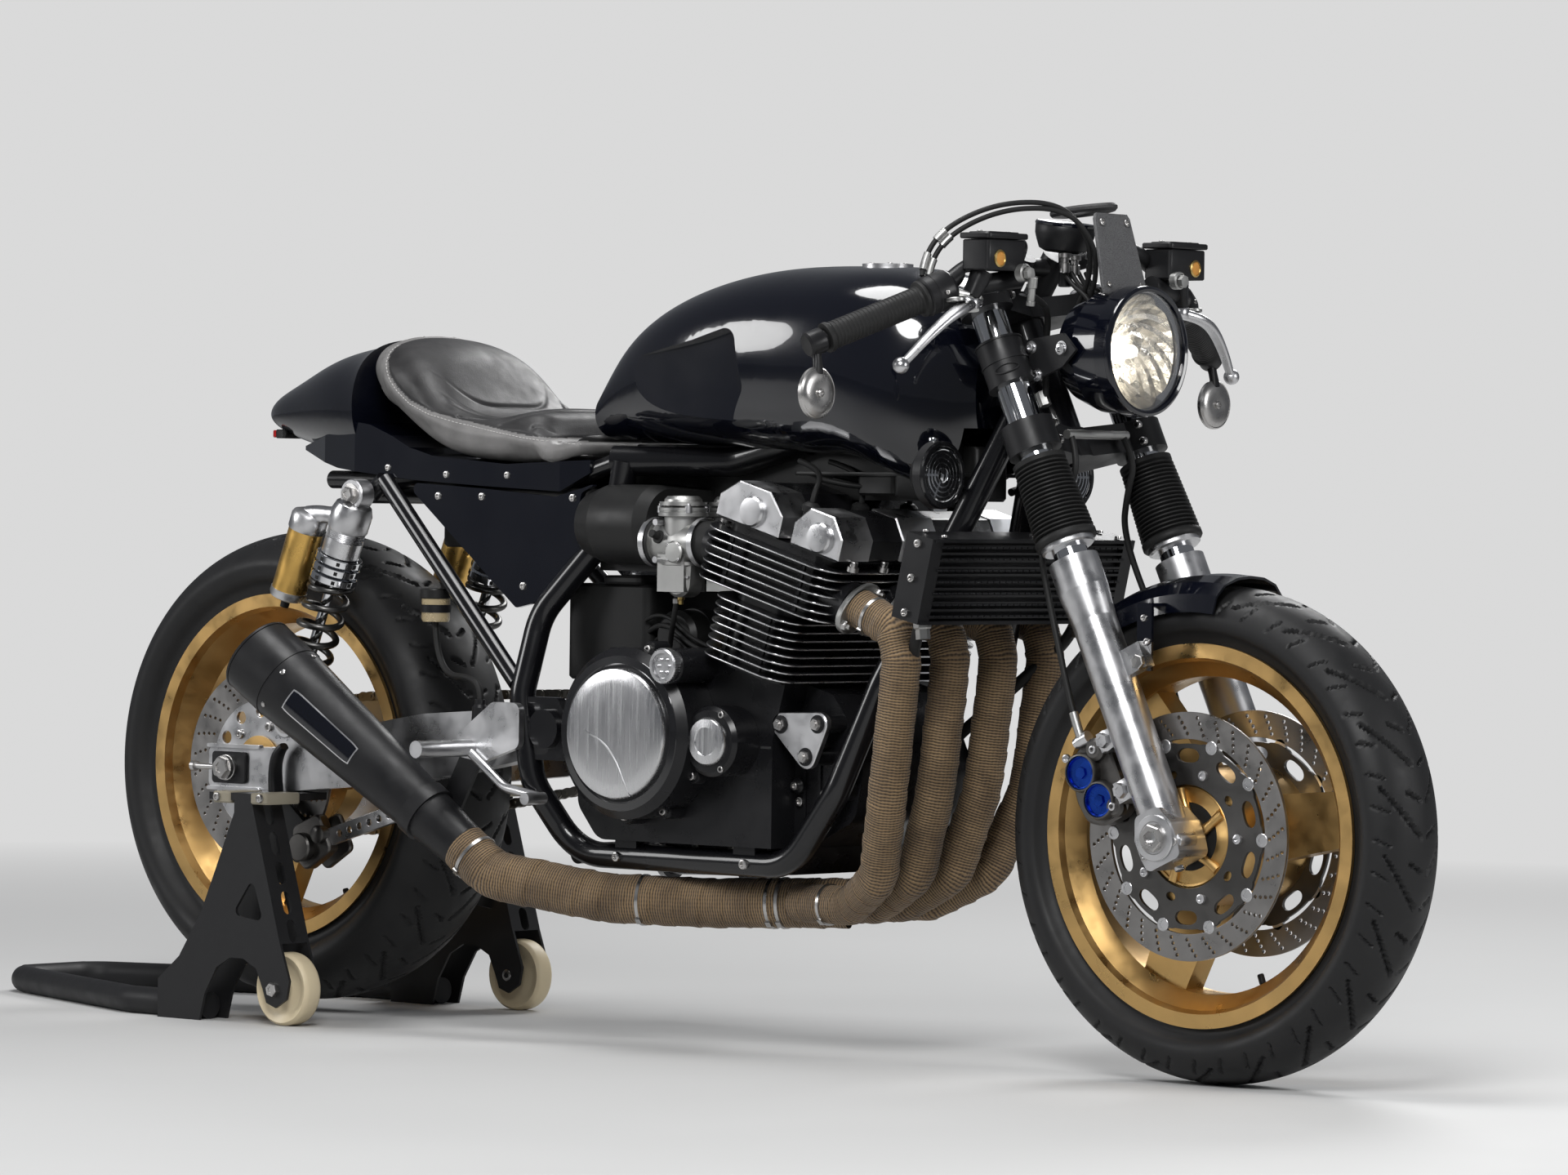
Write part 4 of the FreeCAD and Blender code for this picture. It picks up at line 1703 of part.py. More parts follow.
SEAT_REAR_X = 188.0
SEAT_LENGTH = 404.0
SEAT_BASE_Z = 722.0
SEAT_HEIGHT = 184.0
SEAT_HALF_W = 134.0
SEAT_STATION_SHARES = [
    (0.00, 0.62, 0.62, 0.90, 0.80),
    (0.06, 0.78, 0.50, 0.99, 0.80),
    (0.16, 0.90, 0.36, 0.98, 0.80),
    (0.28, 0.96, 0.22, 0.84, 0.75),
    (0.42, 1.00, 0.14, 0.50, 0.65),
    (0.62, 1.00, 0.105, 0.40, 0.60),
    (0.82, 1.00, 0.10, 0.36, 0.60),
    (1.00, 0.92, 0.13, 0.36, 0.70),
]
TAIL_TIP_X = -76.0
COWL_STATION_SHARES = [
    (0.00, 0.10, 0.43, 0.485, 1.0),
    (0.10, 0.30, 0.35, 0.600, 0.95),
    (0.35, 0.53, 0.25, 0.740, 0.90),
    (0.67, 0.76, 0.15, 0.895, 0.85),
    (0.86, 0.87, 0.09, 0.945, 0.85),
    (1.00, 0.94, 0.06, 0.990, 0.80),
]
COWL_LENGTH = 262.0
COWL_BASE_Z = 712.0
COWL_HEIGHT = 190.0
TRAY_REAR_X = 24.0
TRAY_LENGTH = 576.0
TRAY_LOW_Z = 702.0
TRAY_HEIGHT = 88.0
TRAY_UNDER_SHARES = [(0.0, 0.58), (0.20, 0.31), (0.48, 0.14), (0.72, 0.06), (0.93, 0.0), (1.0, 0.27)]
TRAY_TOP_SHARES = [
    (1.0, 0.46), (0.77, 0.39), (0.54, 0.50), (0.46, 0.625), (0.40, 0.80), (0.33, 0.96),
    (0.28, 1.0), (0.20, 0.86), (0.0, 0.64),
]
TRAY_RECESS_REAR_X = 335.0
TRAY_RECESS_FRONT_X = 566.0
TRAY_RECESS_HALF_W = 64.0
TRAY_RECESS_FLOOR_Z = 724.0
TRAY_PLAN_SHARES = [
    (0.0, 0.37), (0.14, 0.70), (0.28, 0.89), (0.70, 0.96), (0.93, 0.93), (1.0, 0.83),
]


def lofted(station_shares, x_from, length, z_from, height, half_w):
    sections = []
    for along, width, low, high, squareness in station_shares:
        sections.append(oval_section(
            x_from + length * along, half_w * width,
            z_from + height * low, z_from + height * high, squareness))
    return Part.makeLoft(sections, True)


def seat_solid():
    return lofted(SEAT_STATION_SHARES, SEAT_REAR_X, SEAT_LENGTH, SEAT_BASE_Z, SEAT_HEIGHT,
                  SEAT_HALF_W)


def seat_pad():
    """The solo seat, which lies on the tray."""
    pad = seat_solid().cut(fuel_tank())
    return pad.cut(rails_room(SEAT_GAP)).cut(cut_rooms_for_tubes(SEAT_GAP))


def tail_cowl():
    """Pointed cowl behind the seat with the tray that the seat lies on."""
    shell = lofted(COWL_STATION_SHARES, TAIL_TIP_X, COWL_LENGTH, COWL_BASE_Z, COWL_HEIGHT,
                   SEAT_HALF_W)
    half_plan = [(TRAY_REAR_X + TRAY_LENGTH * along, SEAT_HALF_W * across)
                 for along, across in TRAY_PLAN_SHARES]
    corners = half_plan + [(x, -y) for x, y in reversed(half_plan)]
    plan = Part.Face(outline([V(x, y, TRAY_LOW_Z) for x, y in corners]))
    points = spread(TRAY_UNDER_SHARES + TRAY_TOP_SHARES, TRAY_REAR_X, TRAY_LENGTH,
                    TRAY_LOW_Z, TRAY_HEIGHT)
    tray = plate(points, -SEAT_HALF_W, SEAT_HALF_W)
    tray = tray.common(plan.extrude(V(0, 0, TRAY_HEIGHT)))
    tray = tray.cut(block(TRAY_RECESS_REAR_X, TRAY_RECESS_FRONT_X, -TRAY_RECESS_HALF_W,
                          TRAY_RECESS_HALF_W, TRAY_RECESS_FLOOR_Z, FAR))
    whole = fused([shell, tray.cut(fuel_tank())])
    return largest(whole.cut(rails_room(SEAT_GAP)).cut(cut_rooms_for_tubes(SEAT_GAP)))


TAIL_LAMP_T = 6.0
TAIL_LAMP_H = 12.0
TAIL_LAMP_HALF_W = 45.0
TAIL_LAMP_PLACE_SHARES = [0.12, 0.36]


def tail_lamp():
    """Thin red strip under the tail's edge."""
    x = TAIL_TIP_X + COWL_LENGTH * TAIL_LAMP_PLACE_SHARES[0]
    z = COWL_BASE_Z + COWL_HEIGHT * TAIL_LAMP_PLACE_SHARES[1]
    strip = block(x - TAIL_LAMP_T, x + 4 * TAIL_LAMP_T, -TAIL_LAMP_HALF_W, TAIL_LAMP_HALF_W,
                  z - TAIL_LAMP_H, z)
    return strip.cut(tail_cowl())


SIDE_COVER_SHARES = [
    (0.0, 0.89), (0.54, 0.02), (0.61, 0.05), (1.0, 0.39), (0.86, 0.55), (0.82, 0.67),
    (0.84, 0.83), (0.93, 0.91), (0.84, 0.86), (0.72, 0.80), (0.38, 0.85),
]
SIDE_COVER_REAR_X = 290.0
SIDE_COVER_LENGTH = 375.0
SIDE_COVER_LOW_Z = 548.0
SIDE_COVER_HEIGHT = 184.0
SIDE_COVER_T = 8.0
SIDE_COVER_Y = 124.0


def side_covers():
    points = spread(SIDE_COVER_SHARES, SIDE_COVER_REAR_X, SIDE_COVER_LENGTH,
                    SIDE_COVER_LOW_Z, SIDE_COVER_HEIGHT)
    cover = plate(points, -SIDE_COVER_Y - SIDE_COVER_T, -SIDE_COVER_Y, SIDE_COVER_T)
    rooms = [cut_rooms_for_tubes(SEAT_GAP), rails_room(SEAT_GAP), airbox()]
    for room in rooms:
        cover = cover.cut(room)
    return pair(largest(cover))


# Exhaust
LINK_R = 31.0
FLANGE_T = 8.0
SILENCER_LEAD = 60.0
COLLECTOR_Y = 52.0
COLLECTOR_Z = 192.0
HEADER_BEND_R = 75.0
HEADER_LEAD = 50.0
HEADER_ELBOW_X = 26.0
HEADER_ELBOW_DROP = 14.0
HEADER_FRONT_X = 1150.0
HEADER_FRONT_Z = 500.0
HEADER_SHIN_X = 1128.0
HEADER_SHIN_Z = 340.0
HEADER_HEEL_X = 1090.0
HEADER_HEEL_Z = 232.0
HEADER_UNDER_X = 1020.0
HEADER_REAR_X = 930.0
HEADER_OUTER_SHARE = 1.45
HEADER_INNER_SHARE = 0.5
SILENCER_FRONT = V(474, -204, 246)
SILENCER_REAR = V(141, -250, 484)
SILENCER_FRONT_R = 31.0
SILENCER_REAR_R = 53.0
SILENCER_CAP_LENGTH = 62.0
SILENCER_OUTLET_R = 34.0
SILENCER_BAND_SHARE = 0.16
SILENCER_BAND_W = 20.0
SILENCER_BAND_R = 39.0
SILENCER_STRAP_T = 5.0
HANGER_PLATE_Y = UPRIGHT_LOW.y + RAIL_R + SEAT_GAP
PEG_X = 470.0
PEG_Z = 372.0


def header(y):
    """One pipe from its port, down before the engine and back under it."""
    port = from_crank(HEAD_FRONT + 2 * OVERRUN + SEAT_GAP + FLANGE_T, y, PORT_S)
    exit_point = from_crank(HEAD_FRONT + HEADER_LEAD, y, PORT_S)
    outer = abs(y) > CYLINDER_PITCH
    join_y = math.copysign(COLLECTOR_Y, y) * (HEADER_OUTER_SHARE if outer else HEADER_INNER_SHARE)
    points = [
        port,
        V(exit_point.x + HEADER_ELBOW_X, y, exit_point.z - HEADER_ELBOW_DROP),
        V(HEADER_FRONT_X, y, HEADER_FRONT_Z),
        V(HEADER_SHIN_X, y, HEADER_SHIN_Z),
        V(HEADER_HEEL_X, (y + join_y) / 2, HEADER_HEEL_Z),
        V(HEADER_UNDER_X, join_y, COLLECTOR_Z),
        V(HEADER_REAR_X, join_y, COLLECTOR_Z),
    ]
    return bar(points, HEADER_R, HEADER_BEND_R)


def exhaust_headers():
    """Four wrapped downpipes into two collectors, and the link to the silencer."""
    pipes = [header(y) for y in cylinder_lines()]
    flanges = []
    for y in cylinder_lines():
        seat = V(HEAD_FRONT + 2 * OVERRUN + SEAT_GAP, y, PORT_S)
        flanges.append(placed_on_crank(rod(seat, seat.add(V(FLANGE_T, 0, 0)), PORT_FLANGE_R)))
    back = SILENCER_FRONT.sub(SILENCER_REAR)
    back.normalize()
    route = [
        V(960, COLLECTOR_Y * -1.0, COLLECTOR_Z), V(800, -100, COLLECTOR_Z - 6.0),
        V(670, -148, COLLECTOR_Z - 4.0), SILENCER_FRONT.add(back.multiply(SILENCER_LEAD)),
        SILENCER_FRONT,
    ]
    link = bar(route, LINK_R, 110.0)
    joiner = rod(V(950, COLLECTOR_Y * 1.3, COLLECTOR_Z), V(860, -COLLECTOR_Y * 1.3, COLLECTOR_Z),
                 LINK_R * 0.9)
    return fused(pipes + flanges + [link, joiner])


def silencer():
    """Megaphone that widens rearwards to a rolled end cap."""
    run = SILENCER_REAR.sub(SILENCER_FRONT)
    length = run.Length
    profile = [
        (0, 0), (SILENCER_FRONT_R, 0), (SILENCER_REAR_R, length - SILENCER_CAP_LENGTH),
        (SILENCER_REAR_R, length - OVERRUN), (SILENCER_REAR_R - OVERRUN, length),
        (SILENCER_OUTLET_R, length - OVERRUN * 2), (SILENCER_OUTLET_R, length * 0.6), (0, length * 0.6),
    ]
    shifted = [(radius, along + SEAT_GAP) for radius, along in profile]
    body = turned(shifted, SILENCER_FRONT, run)
    band_start = SILENCER_FRONT.add(V(run).multiply(SILENCER_BAND_SHARE))
    along = V(run)
    along.normalize()
    band_end = V(band_start).add(along.multiply(SILENCER_BAND_W))
    band = rod(band_start, band_end, SILENCER_BAND_R)
    hanger = plate([
        (band_start.x - SILENCER_BAND_W, band_start.z), (band_start.x + SILENCER_BAND_W, band_start.z),
        (PEG_X + SILENCER_BAND_W, PEG_Z), (PEG_X - SILENCER_BAND_W, PEG_Z),
    ], -HANGER_PLATE_Y + SEAT_GAP, -HANGER_PLATE_Y + SEAT_GAP + SILENCER_STRAP_T)
    whole = fused([body, band, hanger])
    outlet_start = SILENCER_FRONT.add(V(run).multiply(0.6))
    return whole.cut(rod(outlet_start, SILENCER_REAR.add(V(run).multiply(0.1)), SILENCER_OUTLET_R))


# Oil cooler and horns
COOLER_HALF_W = 196.0
COOLER_T = 42.0
COOLER_HEIGHT = 106.0
COOLER_TILT_DEG = 13.0
COOLER_FOOT = V(1180, 0, 556)
COOLER_GRILLE_T = 4.0
COOLER_SLATS = 11
COOLER_SLAT_T = 3.0
COOLER_STAY_Y = 82.0
COOLER_STAY_HALF_W = 12.0


def oil_cooler():
    """Finned core in a frame behind a louvred cover."""
    core = block(0, COOLER_T - COOLER_GRILLE_T * 2, -COOLER_HALF_W + COOLER_T / 2,
                 COOLER_HALF_W - COOLER_T / 2, COOLER_GRILLE_T, COOLER_HEIGHT - COOLER_GRILLE_T)
    pieces = [core]
    for y in (-COOLER_HALF_W, COOLER_HALF_W - COOLER_T / 2):
        pieces.append(block(0, COOLER_T, y, y + COOLER_T / 2, 0, COOLER_HEIGHT))
    for z in (0, COOLER_HEIGHT - COOLER_GRILLE_T):
        pieces.append(block(0, COOLER_T, -COOLER_HALF_W, COOLER_HALF_W, z, z + COOLER_GRILLE_T))
    pitch = COOLER_HEIGHT / (COOLER_SLATS + 1)
    for step in range(COOLER_SLATS):
        z = pitch * (step + 1) - COOLER_SLAT_T / 2
        pieces.append(block(COOLER_T - COOLER_GRILLE_T, COOLER_T, -COOLER_HALF_W, COOLER_HALF_W,
                            z, z + COOLER_SLAT_T))
    for y_sign in (RIGHT, LEFT):
        y = y_sign * COOLER_STAY_Y
        pieces.append(block(-COOLER_T, OVERRUN, y - COOLER_STAY_HALF_W, y + COOLER_STAY_HALF_W,
                            COOLER_HEIGHT * 0.3, COOLER_HEIGHT * 0.3 + COOLER_STAY_HALF_W))
    whole = fused(pieces)
    whole.Placement = FreeCAD.Placement(COOLER_FOOT, FreeCAD.Rotation(ALONG_Y, COOLER_TILT_DEG))
    return largest(whole.cut(cut_rooms_for_tubes(SEAT_GAP)))


HORN_R = 41.5
HORN_T = 30.0
HORN_X = 1198.0
HORN_Y = 126.0
HORN_Z = 728.0


def horns():
    horn = turned([
        (0, -HORN_T), (HORN_R * 0.6, -HORN_T), (HORN_R, -HORN_T * 0.4), (HORN_R, 0),
        (HORN_R * 0.86, 0), (HORN_R * 0.8, -HORN_T * 0.12), (0, -HORN_T * 0.05),
    ], V(HORN_X, -HORN_Y, HORN_Z), ALONG_X)
    stay = rod(V(HORN_X - HORN_T * 0.9, -HORN_Y, HORN_Z), V(HORN_X - HORN_T * 0.9, -40, HORN_Z - 20),
               OVERRUN)
    return pair(fused([horn, stay]).cut(cut_rooms_for_tubes(SEAT_GAP)))


# Foot controls
PEG_R = 11.0
PEG_OUTER_Y = 290.0
REARSET_T = 10.0
PEDAL_TIP = V(606, 214, 313)


def rearsets():
    """Footrest hangers with pegs and foot levers, bolted outside the pivot plates."""
    plate_y = HANGER_PLATE_Y
    hanger = plate([
        (PIVOT_X - 2 * PIVOT_PLATE_R, PIVOT_Z + PIVOT_PLATE_R * 0.8),
        (PIVOT_X - 0.8 * PIVOT_PLATE_R, PIVOT_Z + PIVOT_PLATE_R * 0.8),
        (PIVOT_X - 0.8 * PIVOT_PLATE_R, PIVOT_Z - PIVOT_PLATE_R * 0.6),
        (PEG_X + PEG_R * 2, PEG_Z - PEG_R * 1.6), (PEG_X - PEG_R * 2, PEG_Z - PEG_R),
        (PEG_X - PEG_R * 2, PEG_Z + PEG_R * 1.5),
    ], -plate_y - REARSET_T, -plate_y, PEG_R)
    peg = rod(V(PEG_X, -plate_y, PEG_Z), V(PEG_X, -PEG_OUTER_Y, PEG_Z), PEG_R)
    lever_y = plate_y + REARSET_T + OVERRUN
    start = V(PEG_X, -lever_y, PEG_Z)
    lever = bar([start, V((PEG_X + PEDAL_TIP.x) / 2, -lever_y, PEDAL_TIP.z + PEG_R),
                 V(PEDAL_TIP.x, -lever_y, PEDAL_TIP.z)], PEG_R * 0.55, PIVOT_PLATE_R)
    toe = rod(V(PEDAL_TIP.x, -lever_y, PEDAL_TIP.z),
              V(PEDAL_TIP.x, -lever_y - 4 * PEG_R * 0.8, PEDAL_TIP.z), PEG_R * 0.7)
    return pair(fused([hanger, peg, lever, toe]))


REAR_CALIPER_X = REAR_AXLE_X + 118.0
REAR_CALIPER_Z = 232.0
REAR_CALIPER_BACK = 36.0
REAR_CALIPER_LENGTH = 80.0
REAR_CALIPER_DROP = 38.0
REAR_CALIPER_HEIGHT = 84.0
REAR_CALIPER_SHARES = [(0.0, 0.76), (0.675, 1.0), (1.0, 0.40), (0.375, 0.0)]
CARRIER_T = 8.0
CARRIER_EYE_R = 28.0
CARRIER_OUT_Y = ARM_INNER_Y - SEAT_GAP
TORQUE_ARM_HALF_H = 12.0
TORQUE_ARM_END = (298.0, 287.0)
TORQUE_ARM_HOLE_R = 6.0
TORQUE_ARM_HOLE_SHARES = [0.25, 0.45, 0.65, 0.85]
TORQUE_LUG_HALF_L = 14.0


def rear_caliper():
    """Underslung caliper on a carrier round the spindle, held by a torque arm."""
    centre = V(REAR_CALIPER_X, 0, REAR_CALIPER_Z)
    disc_y = REAR_DISC_Y - DISC_T
    low_y = disc_y - CALIPER_LUG_T
    high_y = disc_y + CALIPER_LUG_T
    corners = spread(REAR_CALIPER_SHARES, centre.x - REAR_CALIPER_BACK, REAR_CALIPER_LENGTH,
                     centre.z - REAR_CALIPER_DROP, REAR_CALIPER_HEIGHT)
    body = plate(corners, low_y, high_y, REAR_SPACER_R / 2)
    slot = ring(REAR_AXLE, REAR_DISC_R + MOVING_GAP, REAR_SHAFT_R,
                disc_y - DISC_T / 2 - MOVING_GAP, disc_y + DISC_T / 2 + MOVING_GAP)
    body = body.cut(slot)
    rim_room = disc(REAR_AXLE, REAR_DISC_R * 2, disc_y + CALIPER_LUG_T * 0.8, 0)
    body = body.cut(rim_room)
    inner_y = -CARRIER_OUT_Y + CARRIER_T
    eye = disc(REAR_AXLE, CARRIER_EYE_R, -CARRIER_OUT_Y, inner_y)
    carrier = plate([
        (REAR_AXLE_X - CARRIER_EYE_R, REAR_AXLE_Z - CARRIER_EYE_R * 0.2),
        (centre.x - CARRIER_EYE_R, centre.z - CARRIER_EYE_R * 0.4),
        (centre.x + CARRIER_EYE_R, centre.z),
        (REAR_AXLE_X + CARRIER_EYE_R, REAR_AXLE_Z - CARRIER_EYE_R * 0.2),
    ], -CARRIER_OUT_Y, inner_y)
    end_x, end_z = TORQUE_ARM_END
    run = V(end_x - centre.x, 0, end_z - centre.z)
    rise = TORQUE_ARM_HALF_H
    arm = plate([
        (centre.x, centre.z - rise), (end_x, end_z - rise), (end_x, end_z + rise),
        (centre.x, centre.z + rise),
    ], -CARRIER_OUT_Y, inner_y)
    tip = disc(V(end_x, 0, end_z), rise, -CARRIER_OUT_Y, inner_y)
    whole = fused([body, eye, carrier, arm, tip])
    for share in TORQUE_ARM_HOLE_SHARES:
        spot = centre.add(V(run).multiply(share))
        whole = whole.cut(disc(spot, TORQUE_ARM_HOLE_R, -CARRIER_OUT_Y - OVERRUN, inner_y + OVERRUN))
    return whole.cut(disc(REAR_AXLE, REAR_SPACER_R + SEAT_GAP, -CARRIER_OUT_Y * 2, 0))


RESERVOIR_CUP_R = 19.0
RESERVOIR_CUP_H = 42.0
RESERVOIR_CUP_X = 352.0
RESERVOIR_CUP_Z = 530.0


def rear_brake_reservoir():
    cup = rod(V(RESERVOIR_CUP_X, -SEAT_RAIL_Y * 1.4, RESERVOIR_CUP_Z),
              V(RESERVOIR_CUP_X, -SEAT_RAIL_Y * 1.4, RESERVOIR_CUP_Z + RESERVOIR_CUP_H),
              RESERVOIR_CUP_R)
    half = RESERVOIR_CUP_R / 4
    y = -SEAT_RAIL_Y * 1.4
    bracket = block(RESERVOIR_CUP_X - half, RESERVOIR_CUP_X + half, y - half, y + half,
                    RESERVOIR_CUP_Z, RESERVOIR_CUP_Z + 2 * RESERVOIR_CUP_H)
    return largest(fused([cup, bracket]).cut(rails_room(SEAT_GAP)))


# Stands
STAND_OUTER_Y = 247.0
STAND_INNER_Y = 197.0
STAND_PLATE_T = 4.0
CASTOR_R = 48.0
CASTOR_HALF_W = 15.0
CASTOR_X = REAR_AXLE_X + 176.0
CASTOR_SHAFT_R = 6.0
STAND_HEEL_REAR_X = REAR_AXLE_X - 42.0
STAND_TOP_Z = 300.0
STAND_HANDLE_R = 18.0
STAND_HANDLE_REAR_X = REAR_AXLE_X - 525.0
STAND_HANDLE_FRONT_X = REAR_AXLE_X + 30.0
STAND_BOLT_XS = [REAR_AXLE_X - 25.0, REAR_AXLE_X + 12.0]
STAND_HANDLE_KNEE_X = REAR_AXLE_X - 120.0
STAND_HANDLE_HALF_W = 70.0
STAND_HANDLE_BEND_R = 55.0
STAND_LENGTH = 246.0
STAND_SHARES = [
    (0.0, 0.0), (0.32, 0.0), (0.36, 0.12), (0.45, 0.24), (0.55, 0.285), (0.65, 0.285),
    (0.75, 0.245), (0.80, 0.16), (0.83, 0.10), (0.90, 0.08), (0.98, 0.12), (1.0, 0.20),
    (0.927, 0.36), (0.691, 1.0), (0.57, 1.0), (0.57, 0.92), (0.44, 0.68), (0.325, 0.475),
    (0.16, 0.275), (0.0, 0.17),
]
STAND_WINDOW_SHARES = [(0.715, 0.64), (0.565, 0.475), (0.80, 0.45)]
STAND_WEB_SHARES = [(0.691, 1.0), (0.927, 0.36)]
STAND_PAD_SHARES = [0.38, 0.80]
STAND_SLOT_SHARES = [0.13, 0.33, 0.53, 0.73, 0.92]
STAND_SLOT_R = 7.5
STAND_SLOT_REACH = 20.0


def stand_slots(web_high, web_low, middle_y):
    """The row of round-ended slots down the web of one leg."""
    slots = []
    run = web_low.sub(web_high)
    for share in STAND_SLOT_SHARES:
        spot = web_high.add(V(run).multiply(share))
        x_from = spot.x - STAND_SLOT_REACH
        x_to = spot.x + STAND_SLOT_REACH
        low_z = spot.z - STAND_SLOT_R
        high_z = spot.z + STAND_SLOT_R
        slots.append(rod(V(x_from, middle_y, low_z), V(x_to, middle_y, low_z), STAND_SLOT_R))
        slots.append(rod(V(x_from, middle_y, high_z), V(x_to, middle_y, high_z), STAND_SLOT_R))
        slots.append(block(x_from, x_to, middle_y - STAND_SLOT_R, middle_y + STAND_SLOT_R,
                           low_z, high_z))
    return fused(slots)


def stand_leg(middle_y):
    """Outer and inner plates with a window each, folded together at a slotted web."""
    points = spread(STAND_SHARES, STAND_HEEL_REAR_X, STAND_LENGTH, 0, STAND_TOP_Z)
    outer = plate(points, -STAND_OUTER_Y, -STAND_OUTER_Y + STAND_PLATE_T)
    inner = plate(points, -STAND_INNER_Y, -STAND_INNER_Y + STAND_PLATE_T)
    corners = spread(STAND_WINDOW_SHARES, STAND_HEEL_REAR_X, STAND_LENGTH, 0, STAND_TOP_Z)
    window = plate(corners, -STAND_OUTER_Y - OVERRUN, -STAND_INNER_Y + OVERRUN, STAND_SLOT_R)
    (high_x, high_z), (low_x, low_z) = spread(STAND_WEB_SHARES, STAND_HEEL_REAR_X, STAND_LENGTH,
                                              0, STAND_TOP_Z)
    web = plate([
        (low_x, low_z), (high_x, high_z), (high_x - STAND_PLATE_T, high_z),
        (low_x - STAND_PLATE_T, low_z),
    ], -STAND_OUTER_Y, -STAND_INNER_Y + STAND_PLATE_T)
    slots = stand_slots(V(high_x, 0, high_z), V(low_x, 0, low_z), middle_y)
    return fused([outer.cut(window), inner.cut(window), web.cut(slots)])


def paddock_stand():
    """Two folded legs with lifting pads, joined behind the wheel by a bent handle."""
    half = STAND_HANDLE_R
    middle_y = -(STAND_OUTER_Y + STAND_INNER_Y - STAND_PLATE_T) / 2
    pad_from, pad_to = [STAND_HEEL_REAR_X + STAND_LENGTH * share for share in STAND_PAD_SHARES]
    pad = block(pad_from, pad_to, -STAND_OUTER_Y, -ARM_INNER_Y - ARM_T / 5,
                STAND_TOP_Z - STAND_PLATE_T * 2, REAR_AXLE_Z - ARM_END_HALF_H - SEAT_GAP)
    bolts = [disc(V(x, 0, half), CASTOR_SHAFT_R, -STAND_OUTER_Y, -STAND_INNER_Y)
             for x in STAND_BOLT_XS]
    handle = bar([
        V(STAND_HANDLE_FRONT_X, middle_y, half), V(STAND_HANDLE_KNEE_X, middle_y, half),
        V(STAND_HANDLE_REAR_X + half, -STAND_HANDLE_HALF_W, half),
        V(STAND_HANDLE_REAR_X + half, 0, half),
    ], STAND_HANDLE_R, STAND_HANDLE_BEND_R)
    shaft = rod(V(CASTOR_X, -STAND_OUTER_Y, CASTOR_R), V(CASTOR_X, -STAND_INNER_Y, CASTOR_R),
                CASTOR_SHAFT_R)
    right = fused([stand_leg(middle_y), pad, handle, shaft] + bolts)
    return fused([right, mirrored(right)])


def stand_roller(y_sign):
    middle = y_sign * (STAND_OUTER_Y + STAND_INNER_Y - STAND_PLATE_T) / 2
    hub = V(CASTOR_X, 0, CASTOR_R)
    return ring(hub, CASTOR_R, CASTOR_SHAFT_R + RUNNING_FIT, middle - CASTOR_HALF_W,
                middle + CASTOR_HALF_W)




def side_stand_leg():
    """Folded rearwards under the left rail, on its pivot bolt."""
    pivot = V(SIDE_STAND_X, SIDE_STAND_Y, SIDE_STAND_Z)
    foot = V(SIDE_STAND_X - SIDE_STAND_LENGTH, SIDE_STAND_Y + 20.0, SIDE_STAND_Z - 6.0)
    leg = rod(pivot, foot, SIDE_STAND_R)
    eye = disc(pivot, SIDE_STAND_R * 1.7, SIDE_STAND_Y - SIDE_STAND_EYE_HALF_T,
               SIDE_STAND_Y + SIDE_STAND_EYE_HALF_T)
    pad = rod(foot, foot.add(V(-SIDE_STAND_R * 2, SIDE_STAND_R, 0)), SIDE_STAND_R * 1.6)
    whole = fused([leg, eye, pad])
    return whole.cut(disc(pivot, SHOCK_PIN_R + RUNNING_FIT, 0, SIDE_STAND_Y * 2))


NODES = {
    "frame_cradle": frame_cradle,
    "frame_subframe": frame_subframe,
    "swingarm": swingarm,
    "rear_axle": rear_axle,
    "chain": chain,
    "crankcase": crankcase,
    "clutch_cover": clutch_cover,
    "clutch_face": clutch_face,
    "engine_side_covers": engine_side_covers,
    "front_sprocket": front_sprocket,
    "cylinder_block": cylinder_block,
    "cylinder_head": cylinder_head,
    "cam_covers": cam_covers,
    "carburettors": carburettors,
    "intake_manifolds": intake_manifolds,
    "airbox": airbox,
    "side_covers": side_covers,
    "fuel_tank": fuel_tank,
    "fuel_cap": fuel_cap,
    "tail_cowl": tail_cowl,
    "seat_pad": seat_pad,
    "tail_lamp": tail_lamp,
    "exhaust_headers": exhaust_headers,
    "silencer": silencer,
    "oil_cooler": oil_cooler,
    "horns": horns,
    "rear_shocks": rear_shocks,
    "shock_springs": shock_springs,
    "rearsets": rearsets,
    "rear_caliper": rear_caliper,
    "rear_brake_reservoir": rear_brake_reservoir,
    "paddock_stand": paddock_stand,
    "triple_clamps": triple_clamps,
    "fork_tubes": fork_tubes,
    "fork_gaiters": fork_gaiters,
    "fork_sliders": fork_sliders,
    "front_axle": front_axle,
    "front_fender": front_fender,
    "brake_hoses": brake_hoses,
    "front_calipers": front_calipers,
    "headlamp_shell": headlamp_shell,
    "headlamp_lens": headlamp_lens,
    "headlamp_brackets": headlamp_brackets,
    "handlebar": handlebar,
    "grips": grips,
    "levers": levers,
    "master_cylinders": master_cylinders,
    "bar_end_mirrors": bar_end_mirrors,
    "instrument": instrument,
    "front_rim": front_rim,
    "front_tyre": front_tyre,
    "front_discs": front_discs,
    "front_disc_carriers": front_disc_carriers,
    "rear_rim": rear_rim,
    "rear_tyre": rear_tyre,
    "rear_disc": rear_disc,
    "rear_sprocket": rear_sprocket,
    "stand_roller_right": lambda: stand_roller(RIGHT),
    "stand_roller_left": lambda: stand_roller(LEFT),
    "side_stand_leg": side_stand_leg,
}


